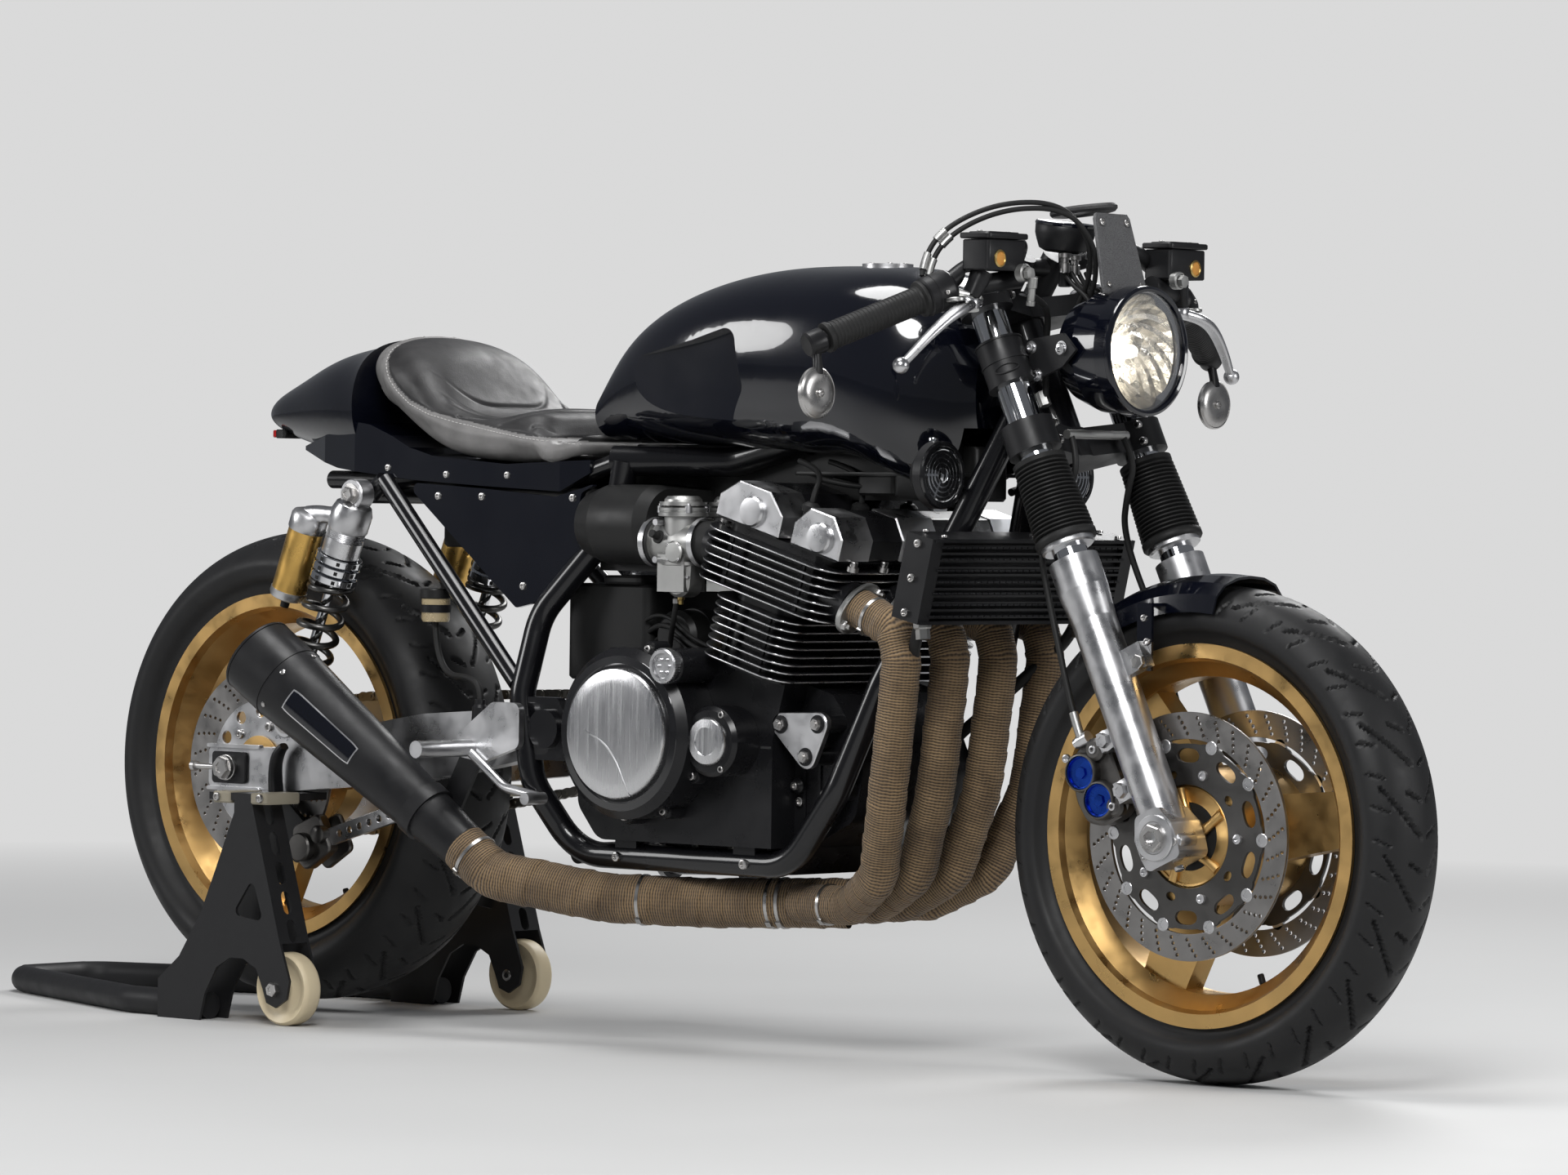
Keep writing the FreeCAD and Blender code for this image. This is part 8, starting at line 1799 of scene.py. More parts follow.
def lamp_mounts():
    bright = Build()
    dark = Build()
    for side in (-1, 1):
        out = Vector((0, side, 0))
        for x, z in ((1303, 884), (1350, 884), (1312, 851)):
            bright.bolt(at(x, side * 85.4, z), out, 5.6 * MM, 5 * MM, washer=8 * MM)
        for s in (593, 621, 648):
            base = fork_point(0, side * FORK_Y, s)
            dark.lathe(mm_pairs([(29, -1.2), (30.2, -1), (30.2, 1), (29, 1.2)]), base, FORK_UP, 44)
        spot = fork_point(0, side * FORK_Y, 608)
        aside = out * 0.8 + FORK_AHEAD * 0.6
        along = FORK_UP.cross(aside).normalized()
        ring = []
        for k in range(24):
            angle = math.tau * k / 24
            drift = 15 * math.cos(angle)
            sink = math.sqrt(max(30.0 ** 2 - drift ** 2, 0))
            ring.append(spot + along * drift * MM + aside.normalized() * sink * MM
                        + FORK_UP * 5.5 * math.sin(angle) * MM)
        dark.tube(ring, 1.1 * MM, 8, closed=True)
    bright.done("lamp_bracket_bolts", HELD, "bright_aluminium")
    dark.done("lamp_clamp_rings", HELD, "satin_black")
    caps = Build()
    clamp = Build()
    for side in (-1, 1):
        top = fork_point(0, side * FORK_Y, 722)
        caps.lathe(mm_pairs([(20, -3), (20.6, 0), (20.6, 5), (19, 7), (12, 7.4)]), top, FORK_UP,
                   40)
        caps.lathe(mm_pairs([(9, 5), (9, 13), (7.5, 14.5), (0.01, 14.5)]), top, FORK_UP, 6)
        for s in (511, 533, 703):
            x = 24 if s < 600 else 26
            clamp.bolt(fork_point(x, side * 84, s), Vector((0, -side, 0)), 5.5 * MM, 6 * MM)
    nut = fork_point(-36, 0, 721)
    caps.lathe(mm_pairs([(21, -2), (21, 6), (17, 9), (10, 9.5), (9.5, 4)]), nut, FORK_UP, 36)
    caps.done("fork_caps", HELD, "bright_aluminium", True, 30)
    clamp.done("clamp_bolts", HELD, "steel")


def cockpit():
    cables()
    parts = {"levers": lever_side, "master_cylinders": fluid_box, "grips": grip_side}
    for node, make in parts.items():
        make(-1)
        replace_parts(make(1), node)
    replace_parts(bpy.data.objects["mirror_left"], "bar_end_mirrors")
    gauge()
    lamp_mounts()


# Running gear
SHOCK_LOW = Vector((104, 0, 392))
SHOCK_RUN = Vector((118, 0, 303))
SHOCK_UP = SHOCK_RUN.normalized()
SHOCK_BACK = Vector((-SHOCK_UP.z, 0, SHOCK_UP.x))


def shock_point(distance, side, back=0.0):
    spot = SHOCK_LOW + SHOCK_UP * distance + SHOCK_BACK * back
    return spot.x, side * 150, spot.z


def shock(side):
    tag = side_name(side)
    out = (0, side, 0)
    silver = Build()
    for distance in (0, 325):
        turned(silver, [(9, -12.5), (18.5, -12.5), (20, -11), (20, 11), (18.5, 12.5), (9, 12.5)],
               shock_point(distance, side), out, 36)
    low = shock_point(0, side)
    turned(silver, [(14, 12), (16, 20), (17, 38), (20, 44), (20, 52), (10, 54)], low, SHOCK_UP, 36)
    turned(silver, [(25.4, 240), (25.4, 262)] + [(24.6 + 0.8 * (k % 2), 262 + k * 1.1)
                                                 for k in range(12)]
           + [(27, 277), (27.5, 300), (24, 310), (15, 316)], low, SHOCK_UP, 44)
    arm = [shock_point(286, side, 10), shock_point(284, side, 40), shock_point(266, side, 70)]
    blade(silver, arm, [(13, 14), (11, 11), (13, 14)], 10)
    top = shock_point(260, side, 70)
    turned(silver, [(0, 14), (14, 14), (23, 10), (25, 6), (25, -12), (24, -14), (0, -14)], top,
           SHOCK_UP, 44)
    turned(silver, [(0, -112), (16, -112), (23, -109), (24.6, -105), (24.6, -98), (0, -98)], top,
           SHOCK_UP, 44)
    main = silver.done("shock_body_" + tag, "main", "bright_aluminium", True, 35)
    gold = Build()
    turned(gold, [(0, -98), (23.4, -98), (23.4, -14), (0, -14)], top, SHOCK_UP, 48)
    turned(gold, [(0, 44), (21.4, 44), (22.4, 45), (22.4, 50), (21.4, 51), (0, 51)], low,
           SHOCK_UP, 36)
    gold.done("shock_reservoir_" + tag, "main", "gold_anodised", True, 35)
    chrome = Build()
    turned(chrome, [(0, 56), (7, 56), (7, 200), (0, 200)], low, SHOCK_UP, 24)
    for base in (203, 216, 229):
        turned(chrome, [(24, base), (30.4, base), (31.2, base + 1), (31.2, base + 9),
                        (30.4, base + 10), (24, base + 10)], low, SHOCK_UP, 48)
    turned(chrome, [(24, 52), (31.6, 52), (32, 53), (32, 60), (30, 64.5), (24, 65)], low,
           SHOCK_UP, 48)
    chrome.done("shock_rings_" + tag, "main", "chrome", True, 35)
    dark = Build()
    for base in (203, 216, 229):
        for k in range(8):
            angle = math.pi * k / 4
            aside = Vector((0, 1, 0)) * math.cos(angle) + SHOCK_BACK * math.sin(angle)
            dark.box((-2.4 * MM, -2.4 * MM, 0), (2.4 * MM, 2.4 * MM, 0.9 * MM),
                     ring_place(shock_point(base + 5, side), aside, 30.8))
    turned(dark, [(0, 66), (13, 66), (15, 72), (15, 92), (12, 98), (0, 98)], low, SHOCK_UP, 28)
    for distance in (0, 325):
        turned(dark, [(7.4, -13.6), (11, -13.6), (12, -12), (12, 12), (11, 13.6), (7.4, 13.6)],
               shock_point(distance, side), out, 28)
    turned(dark, [(0, -6), (6, -6), (6, 2), (0, 3)], (top[0] - SHOCK_UP.x * 117, top[1],
                                                      top[2] - SHOCK_UP.z * 117), SHOCK_UP, 20)
    dark.done("shock_rubbers_" + tag, "main", "rubber")
    coil = Build()
    path = []
    turns, start, end = 6.5, 69.5, 199.0
    for k in range(int(turns * 28) + 1):
        angle = math.tau * k / 28
        share = min(max((k / 28 - 0.75) / (turns - 1.5), 0), 1)
        along = start + (end - start) * share
        aside = Vector((0, 1, 0)) * math.cos(angle) + SHOCK_BACK * math.sin(angle)
        spot = SHOCK_LOW + Vector((0, side * 150, 0)) + SHOCK_UP * along + aside * 26.6
        path.append(at(*spot))
    coil.tube(path, 4.7 * MM, 14)
    spring = coil.done("shock_coil_" + tag, "main", "spring_grey")
    bolts = Build()
    for distance in (0, 325):
        x, y, z = shock_point(distance, side)
        turned(bolts, [(0, 12), (14, 12), (14, 14), (8, 14.4)], (x, y, z), out, 28)
        bolts.hex_nut(at(x, y + side * 14, z), out, 10 * MM, 8 * MM)
    bolts.done("shock_nuts_" + tag, "main", "steel")
    return main, spring


def ring_place(centre, aside, radius):
    """A frame whose Z points outwards from an axis, on a layout point's ring."""
    along = SHOCK_UP
    across = along.cross(aside)
    place = Matrix((across, along, aside)).transposed().to_4x4()
    place.translation = at(*centre) + aside * radius * MM
    return place


def front_caliper(side):
    """Four-piston caliper with its blue piston plugs and its bolts."""
    tag = side_name(side)
    out = Vector((0, side, 0))
    body = Build()
    place = Matrix((FORK_AHEAD, FORK_UP, out)).transposed().to_4x4()
    flip = side < 0
    def add_plate(outline, low, high, bevel, target=body):
        cx = sum(p[0] for p in outline) / len(outline)
        cs = sum(p[1] for p in outline) / len(outline)
        verts, faces = slab([((x - cx) * MM, (s - cs) * MM) for x, s in outline], low * MM,
                            high * MM, bevel * MM)
        spot = place.copy()
        spot.translation = fork_point(cx, 0, cs)
        target.add([spot @ v for v in verts],
                   [tuple(reversed(f)) for f in faces] if flip else faces)
    shell = rounded_outline([(-46, 60), (-62, 52), (-92, 52), (-114, 66), (-119, 96), (-112, 130),
                             (-92, 154), (-60, 156), (-46, 148)], 9)
    add_plate(shell, 76, 98, 3.2)
    add_plate(shell, 34, 57, 3.2)
    bridge = rounded_outline([(-118.5, 99), (-112, 130), (-92, 153), (-62, 155), (-56, 143),
                              (-79, 131.5), (-99.5, 116.5)], 3)
    add_plate(bridge, 56, 78, 1.0)
    for x, s in ((-79, 81), (-91, 122)):
        body.lathe(mm_pairs([(24, 90), (24, 106), (22.4, 109), (20.6, 109.6), (20.6, 104)]),
                   fork_point(x, 0, s), out, 44)
    body.lathe(mm_pairs([(14, 94), (14, 104), (10, 108), (0.01, 108)]), fork_point(-62, 0, 140),
               out, 30)
    body.lathe(mm_pairs([(13, 92), (13, 102), (10, 106), (0.01, 106)]), fork_point(-62, 0, 66),
               out, 30)
    main = body.done("front_caliper_" + tag, HELD, "caliper_grey", True, 35)
    blue = Build()
    for x, s in ((-79, 81), (-91, 122)):
        blue.lathe(mm_pairs([(20.2, 104), (20.2, 108.2), (18.6, 109), (17.6, 107), (17.4, 105.4),
                             (0.01, 105.0)]), fork_point(x, 0, s), out, 44)
        blue.lathe(mm_pairs([(7.6, 105), (7.2, 107.6), (0.01, 107.8)]), fork_point(x, 0, s), out,
                   6)
    blue.done("piston_plugs_" + tag, HELD, "blue_anodised", True, 35)
    bolts = Build()
    for s in (75, 140):
        bolts.lathe(mm_pairs([(13, 92), (13, 115.4), (12, 116)]), fork_point(-34, 0, s), out, 28)
        bolts.hex_nut(fork_point(-34, side * 115.6, s), out, 9.5 * MM, 9 * MM)
    for x, s in ((-62, 140), (-62, 66), (-104, 146)):
        bolts.bolt(fork_point(x, side * 105, s), out, 5.4 * MM, 5 * MM)
    x, s = -74, 158
    bolts.lathe(mm_pairs([(8.5, -8), (8.5, 8), (6.5, 9), (6.5, 14), (0.01, 14)]),
                fork_point(x, side * 101, s), FORK_AHEAD * -1, 18)
    bolts.lathe(mm_pairs([(3, 0), (3, 9), (4.5, 10), (4.5, 16), (2, 18)]),
                fork_point(-112, side * 60, 130), FORK_AHEAD * -1, 16)
    bolts.done("caliper_bolts_" + tag, HELD, "bright_aluminium", True, 35)
    return main


def rounded_outline(points, radius, steps=5):
    """Corner points of a flat outline, each eased by an arc of short runs."""
    result = []
    count = len(points)
    for i in range(count):
        before = Vector(points[i - 1])
        here = Vector(points[i])
        after = Vector(points[(i + 1) % count])
        first = (before - here)
        second = (after - here)
        reach = min(radius, first.length * 0.45, second.length * 0.45)
        a = here + first.normalized() * reach
        b = here + second.normalized() * reach
        for k in range(steps):
            t = k / (steps - 1)
            p = a * (1 - t) ** 2 + here * 2 * t * (1 - t) + b * t ** 2
            result.append((p.x, p.y))
    return result


def fork_details():
    bright = Build()
    steel = Build()
    rubber = Build()
    for side in (-1, 1):
        out = Vector((0, side, 0))
        centre = at(1540, side * 131.8, 300)
        bright.lathe(mm_pairs([(14, 0), (27, 0), (28, 1), (27, 2.6), (20, 3), (19, 2)]), centre,
                     out, 40)
        steel.lathe(mm_pairs([(17, 1), (17, 8.6), (15.6, 10), (9.4, 10), (9.2, -4)]), centre, out,
                    6)
        for x in (-24, 24):
            spot = fork_point(x, side * 112, -14)
            bright.lathe(mm_pairs([(8.5, -16), (9.5, -14), (9.5, 14), (8.5, 16)]), spot, out, 24)
            steel.bolt(fork_point(x, side * 128, -14), out, 5.6 * MM, 5 * MM)
        steel.bolt(fork_point(0, side * FORK_Y, -37.6), -FORK_UP, 7 * MM, 5 * MM)
        turned(steel, [(8, -1), (9.4, 0), (9.4, 5), (8, 6), (4, 6)], (1498, side * 112.8, 508),
               out, 6)
        top = fork_point(0, side * FORK_Y, 382)
        bright.lathe(mm_pairs([(30.6, -6), (33.2, -4), (33.2, 3), (31, 5)]), top, FORK_UP, 44)
    bright.done("fork_foot_collars", HELD, "bright_aluminium", True, 30)
    steel.done("fork_foot_bolts", HELD, "steel", True, 30)
    for side in (-1, 1):
        profile = [(22.2, 383), (36.6, 383), (38.2, 385), (38.2, 392), (35, 394)]
        count = 17
        for k in range(count):
            low = 395 + k * 5.25
            big = 37.6 - 4.6 * k / count
            profile += [(big - 4.2, low), (big, low + 1.8), (big, low + 3.2),
                        (big - 4.2, low + 5.0)]
        profile += [(29.5, 485), (33, 486.5), (33, 492.5), (29.5, 493), (22.2, 493)]
        rubber.lathe(mm_pairs(profile), fork_point(0, side * FORK_Y, 0), FORK_UP, 56)
    boots = rubber.done("fork_boots", HELD, "rubber", True, 60)
    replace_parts(boots, "fork_gaiters")


CUP_FOOT = (352, -134.4, 531)
CALIPER_Y = -121.7


def shifted(loops):
    """Flat side-view loops moved from the layout's X to the frame's."""
    return [[(x + SHIFT_X * MM, z) for x, z in loop] for loop in loops]


def rear_brake():
    """Rotor with its carrier, caliper, torque arm, and the fluid cup with its hose."""
    rotor = drilled_rotor("rear_disc_rotor", (0, 330), 133, 88, -102, 4.8, "rear_wheel", 4, 28)
    loops = [circle(0, 0, 92 * MM, 120), circle(0, 0, 38 * MM, 48)]
    for k in range(12):
        angle = math.tau * k / 12
        loops.append(circle(74 * math.cos(angle) * MM, 74 * math.sin(angle) * MM, 8.6 * MM, 24))
    flat_shape("rear_disc_carrier", loops, 5.4 * MM, side_plane(-101.4 * MM, at(0, 0, 330).xz),
               "rear_wheel", "bright_aluminium", 0.6 * MM)
    hub = Build()
    turned(hub, [(17, -99), (34, -99), (40, -101), (41, -106.8), (33, -107.4), (24, -107.4),
                 (23, -104), (17, -104)], (0, 0, 330), (0, 1, 0), 48)
    hub.done("rear_disc_boss", "rear_wheel", "gold_wheel", True, 30)
    bolts = Build()
    for x, z, angle in ring_spots(REAR_HUB, 56, 6, 12):
        bolts.bolt(at(x, -104, z), RIGHT, 6.4 * MM, 4.4 * MM)
    bolts.done("rear_disc_bolts", "rear_wheel", "steel")
    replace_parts(rotor, "rear_disc")
    body = Build()
    cx, cz = 122, 232
    outline = rounded_outline([(-34, 22), (14, 42), (40, -6), (-8, -36), (-30, -18)], 9)
    for low, high in ((-131, -113), (-92, -83.6)):
        verts, faces = slab([(x * MM, z * MM) for x, z in outline], 0, (high - low) * MM, 2.4 * MM)
        place = side_plane(high * MM, at(cx, 0, cz).xz)
        body.add([place @ v for v in verts], faces)
    turned(body, [(19, 0), (19, 12), (17, 14.6), (0, 15)], (112, -128, 228), RIGHT, 36)
    turned(body, [(12, 0), (12, 12), (9, 14), (0, 14)], (142, -126, 246), RIGHT, 28)
    body.done("rear_caliper_body", "main", "caliper_grey", True, 35)
    loops = [rounded_loop([(118, 220), (298, 275), (310, 287), (298, 299), (118, 244)], 8)]
    for k in range(7):
        share = 0.30 + 0.10 * k
        x, z = 118 + 180 * share, 232 + 55 * share
        loops.append([((x + 4.6 * math.cos(t)) * MM, (z + 4.6 * math.sin(t)) * MM)
                      for t in [math.tau * i / 20 for i in range(20)]])
    flat_shape("torque_arm", shifted(loops), 7.8 * MM, side_plane(CALIPER_Y * MM), "main",
               "bright_aluminium", 0.8 * MM)
    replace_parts(bpy.data.objects["torque_arm"], "rear_caliper")
    carrier = [rounded_loop([(-27, 316), (90, 204), (148, 226), (30, 322), (26, 346), (0, 358),
                             (-24, 348)], 9),
               [((17 * math.cos(t)) * MM, (330 + 17 * math.sin(t)) * MM)
                for t in [math.tau * i / 40 for i in range(40)]]]
    flat_shape("caliper_carrier", shifted(carrier), 7.4 * MM, side_plane(CALIPER_Y * MM), "main",
               "satin_black", 0.8 * MM)
    bits = Build()
    for x, z in ((118, 232), (298, 287)):
        turned(bits, [(0, 0), (11, 0), (11, 2), (0, 2)], (x, -125.6, z), RIGHT, 24)
        bits.hex_nut(at(x, -127.4, z), RIGHT, 8.5 * MM, 7 * MM)
    bits.done("torque_arm_bolts", "main", "steel")
    cup = Build()
    turned(cup, [(0, 0), (17, 0), (18.6, 3), (18.6, 30), (0, 31)], CUP_FOOT, (0, 0, 1), 36)
    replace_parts(cup.done("rear_fluid_cup", "main", "amber_cup"), "rear_brake_reservoir")
    lid = Build()
    turned(lid, [(0, 30), (20, 30), (20.6, 31), (20.6, 41), (19, 43), (0, 43.4)], CUP_FOOT,
           (0, 0, 1), 40)
    lid.done("rear_cup_lid", "main", "black_plastic", True, 30)
    strap = Build()
    turned(strap, [(18.2, 12), (20, 12), (20, 22), (18.2, 22)], CUP_FOOT, (0, 0, 1), 36)
    blade(strap, [(352, -115.4, 540), (352, -113.8, 588), (352, -128, 616)],
          [(7, 2), (7, 2), (7, 2)], 6)
    turned(strap, [(0, 0), (9, 0), (10, 2), (10, 52), (7, 56), (7, 62), (0, 62)],
           (468, -174, 372), (0.06, 0, 1), 28)
    strap.done("rear_cup_strap", "main", "satin_black", True, 30)
    hose = Build()
    route = [at(352, -134.4, 536), at(352, -134.4, 500), at(384, -146, 462), at(446, -168, 462),
             at(472, -174, 450), at(472, -174, 428)]
    hose.tube(smooth_path(route, 10), 4.2 * MM, 12)
    hose.done("rear_cup_hose", "main", "rubber")


def rounded_loop(points, radius):
    return [(x * MM, z * MM) for x, z in rounded_outline(points, radius)]


def axle_ends():
    """Chain adjusters, axle nuts and pivot caps of the swingarm, with its end rails."""
    dark = Build()
    steel = Build()
    bright = Build()
    for side in (-1, 1):
        y = side * 160
        low, high = sorted((side * 156, side * 165))
        eased_box(dark, (-30, low, 309), (34, high, 351), 5, 1.5, 1)
        for bottom, top in ((356, 361), (299.6, 304.6)):
            eased_box(bright, (-40, low, bottom), (60, high, top), 2, 1, 1)
        turned(steel, [(0, 0), (17, 0), (17, 3), (15, 4), (0, 4)], (0, side * 165, 330),
               (0, side, 0), 32)
        steel.hex_nut(at(0, side * 168.4, 330), (0, side, 0), 15 * MM, 12 * MM)
        turned(steel, [(4, 0), (4, 34), (7, 34.4), (7, 41), (3, 42)], (-30, y, 330), (-1, 0, 0),
               14)
        turned(bright, [(0, 0), (14, 0), (16, 2), (16, 8), (12, 10), (0, 10)],
               (589, side * 145, 400), (0, side, 0), 36)
        steel.hex_nut(at(589, side * 155, 400), (0, side, 0), 12 * MM, 9 * MM)
    dark.done("axle_blocks", "main", "satin_black", True, 30)
    steel.done("axle_nuts", "main", "steel", True, 30)
    bright.done("swingarm_rails", "main", "bright_aluminium", True, 30)


def silencer_details():
    start = Vector((474, -204, 246))
    end = Vector((141, -250, 484))
    run = (end - start)
    total = run.length
    along = run.normalized()
    parts = Build()
    def ring(distance, radius, width, height, target=parts):
        spot = start + along * distance
        turned(target, [(radius - 0.4, -width / 2), (radius + height, -width / 2 + 0.6),
                        (radius + height, width / 2 - 0.6), (radius - 0.4, width / 2)],
               tuple(spot), along, 72)
    ring(total - 62, 53.0, 3.0, 0.9)
    ring(total - 2, 53.0, 4.0, 0.5)
    parts.done("silencer_bands", "main", "satin_black", True, 35)
    rivets = Build()
    aside = along.orthogonal().normalized()
    other = along.cross(aside)
    for k in range(6):
        angle = math.radians(25 + 60 * k)
        out = aside * math.cos(angle) + other * math.sin(angle)
        spot = start + along * (total - 74)
        rivets.lathe(mm_pairs([(3.8, -1), (3.8, 0.5), (2.6, 1.3), (0.01, 1.5)]),
                     at(*(spot + out * 52.6)), out, 14)
    rivets.done("silencer_rivets", "main", "steel")
    plate = Build()
    border = Build()
    out = (RIGHT * 0.96 + Vector((0, 0, 1)) * 0.05 + Vector((1, 0, 0)) * 0.30)
    out = (out - along * out.dot(along)).normalized()
    wide = along.cross(out)
    centre_d = total * 0.60
    for target, half_l, half_w, lift in ((border, 62, 16.4, 0.5), (plate, 60, 14.4, 0.9)):
        rows = []
        for i in range(21):
            s = -1 + 2 * i / 20
            for j in range(11):
                t = -1 + 2 * j / 10
                edge = 1 - 0.10 * max(abs(s) - 0.86, 0) / 0.14 * abs(t) ** 8
                radius = 46.8 + (50.4 - 46.8) * (s * half_l / 100 + 0.5)
                turn = t * edge * half_w / 50
                direction = out * math.cos(turn) + wide * math.sin(turn)
                d = centre_d + s * half_l
                real = silencer_radius(d / total) + lift
                rows.append(at(*(start + along * d + direction * real)))
        target.add(rows, grid_faces(21, 11))
    border.done("silencer_plate_border", "main", "bright_aluminium", True, 30)
    plate.done("silencer_plate", "main", "gloss_black_paint", True, 30)


def silencer_radius(share):
    return float(np.interp(share, [0.0, 0.16, 0.20, 0.85, 1.0], SILENCER_RADII))


SILENCER_RADII = [31.0, 34.5, 36.0, 53.0, 53.0]


def stand_details():
    steel = Build()
    dark = Build()
    pale = Build()
    for side in (-1, 1):
        out = Vector((0, side, 0))
        body = "roller_" + side_name(side)
        hub = (176, side * 220, 48)
        wheel = Build()
        profile = [(6.2, -14), (14, -14), (16, -12), (30, -9), (36, -11), (44, -14.6), (47, -12),
                   (48, -8), (48, 8), (47, 12), (44, 14.6), (36, 11), (30, 9), (16, 12), (14, 14),
                   (6.2, 14)]
        wheel.lathe(mm_pairs(profile), at(*hub), (0, 1, 0), 64, True)
        tag = side_name(side)
        obj = wheel.done("castor_wheel_" + tag, body, "roller_cream", True, 40)
        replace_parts(obj, "stand_roller_" + tag)
        red = Build()
        for end in (-1, 1):
            turned(red, [(6.2, 13.4), (12, 13.4), (12.6, 14.4), (12, 16), (6.2, 16)], hub,
                   (0, end, 0), 28)
        red.done("castor_bearing_" + tag, body, "red_plastic")
        steel.hex_nut(at(176, side * 247, 48), out, 9.5 * MM, 7 * MM)
        steel.bolt(at(176, side * 197, 48), -out, 8 * MM, 5 * MM)
        low, high = sorted((side * 186, side * 250))
        for x0, x1 in ((60, 92), (130, 160)):
            eased_box(pale, (x0, low, 288), (x1, high, 303), 4, 2)
        low, high = sorted((side * 170, side * 180))
        blade(dark, [(104, side * 176, 300), (100, side * 176, 330), (108, side * 176, 356),
                     (118, side * 176, 362)], [(11, 7), (10, 6), (9, 6), (7, 5)], 10)
        steel.bolt(at(70, side * 250, 296), out, 5.5 * MM, 4 * MM)
        steel.bolt(at(150, side * 250, 296), out, 5.5 * MM, 4 * MM)
    for y in (-1, 1):
        turned(dark, [(17, -24), (17.9, -22), (17.9, 22), (17, 24)], (-507, y * 34, 18),
               (0, 1, 0), 36)
    steel.done("stand_bolts", "main", "steel", True, 30)
    dark.done("stand_hooks", "main", "satin_black", True, 40)
    pale.done("stand_pads", "main", "pad_khaki", True, 30)


def running_gear():
    shock(-1)
    main, spring = shock(1)
    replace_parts(main, "rear_shocks")
    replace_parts(spring, "shock_springs")
    front_caliper(-1)
    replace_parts(front_caliper(1), "front_calipers")
    fork_details()
    rear_brake()
    axle_ends()
    silencer_details()
    stand_details()


# Smaller fittings
def horn_faces():
    ring = Build()
    rim = Build()
    dark = Build()
    for side in (-1, 1):
        face = (1198, side * 126, 728)
        turned(rim, [(34.6, 0), (41.2, 0), (41.8, 1.4), (40, 3.4), (35.4, 3.6), (34.6, 2)], face,
               (1, 0, 0), 56)
        turned(ring, [(0, 0.2), (33, 0.2), (33, 2.2), (31.6, 2.6), (29, 1.0), (26.6, 0.6),
                      (0, 0.6)], face, (1, 0, 0), 56)
        for radius in (27, 21, 15):
            turned(ring, [(radius - 1.5, 0.4), (radius - 0.9, 2.4), (radius + 0.9, 2.4),
                          (radius + 1.5, 0.4)], face, (1, 0, 0), 48)
        turned(ring, [(0, 0), (9.5, 0), (9.5, 2.6), (7, 3.8), (0, 4)], face, (1, 0, 0), 30)
        for k in range(6):
            angle = math.pi * k / 3
            spot = at(face[0] + 2, face[1] + 21 * math.cos(angle), face[2] + 21 * math.sin(angle))
            way = Vector((0, math.cos(angle), math.sin(angle)))
            across = Vector((1, 0, 0)).cross(way)
            place = Matrix((way, across, Vector((1, 0, 0)))).transposed().to_4x4()
            place.translation = spot
            ring.box((-13 * MM, -1.5 * MM, -1.8 * MM), (13 * MM, 1.5 * MM, 0), place)
        turned(dark, [(0, -30), (12, -30), (12, -38), (0, -39)], face, (1, 0, 0), 24)
        ring.bolt(at(1184, side * 126, 728 + 41), (0, 0, 1), 6 * MM, 5 * MM)
    ring.done("horn_grilles", "main", "chrome", True, 30)
    rim.done("horn_rims", "main", "gloss_engine", True, 30)
    dark.done("horn_terminals", "main", "black_plastic")


COOLER_TILT = 13


def cooler_point(x, y, z):
    tilt = math.radians(COOLER_TILT)
    return at(1180 + x * math.cos(tilt) + z * math.sin(tilt), y,
              556 - x * math.sin(tilt) + z * math.cos(tilt))


def cooler_details():
    plate = Build()
    bolts = Build()
    for side in (-1, 1):
        for z in (10, 53, 96):
            bolts.bolt(cooler_point(21, side * 196.4, z), (0, side, 0), 5.2 * MM, 4 * MM)
        for x in (6, 36):
            bolts.bolt(cooler_point(x, side * 168, 107), (0, 0, 1), 4.2 * MM, 3.4 * MM)
    rows, cols = 7, 30
    for row in range(rows):
        for col in range(cols):
            y = -174 + 348 * (col + 0.5 * (row % 2)) / (cols - 0.5)
            z = 10 + 86 * row / (rows - 1)
            place = Matrix.Translation(cooler_point(42.6, y, z))
            plate.box((-0.9 * MM, -4.6 * MM, -1.1 * MM), (0.9 * MM, 4.6 * MM, 1.1 * MM), place)
    for z in (1.5, 104.5):
        plate.box((-1.0 * MM, -192 * MM, -2 * MM), (1.0 * MM, 192 * MM, 2 * MM),
                  Matrix.Translation(cooler_point(42.4, 0, z)))
    plate.done("cooler_guard", "main", "satin_black", True, 30)
    bolts.done("cooler_bolts", "main", "steel")
    lines = Build()
    ends = Build()
    for y in (-150, 150):
        side = -1 if y < 0 else 1
        route = [cooler_point(10, y, -4), cooler_point(6, y, -30), at(1150, y * 0.8, 490),
                 at(1100, side * 96, 440), at(1040, side * 98, 400), at(1010, side * 98, 372)]
        lines.tube(smooth_path(route, 12), 7.5 * MM, 16)
        ends.lathe(mm_pairs([(9, 0), (11, 1), (11, 12), (9, 14), (9, 26)]),
                   cooler_point(10, y, 0), (0.1, 0, -1), 6)
    lines.done("oil_lines", "main", "rubber")
    ends.done("oil_line_ends", "main", "cast_aluminium")


UNDER_TANK_BOXES = [(900, 1170, 60, 726, 731, 6, 1), (600, 1176, 30, 696, 764, 8, 4),
                    (1000, 1064, 56, 702, 730, 8, 3), (548, 694, 98, 462, 585, 14, 4),
                    (616, 682, 104, 585, 596, 8, 3), (336, 596, 112, 628, 706, 14, 4)]


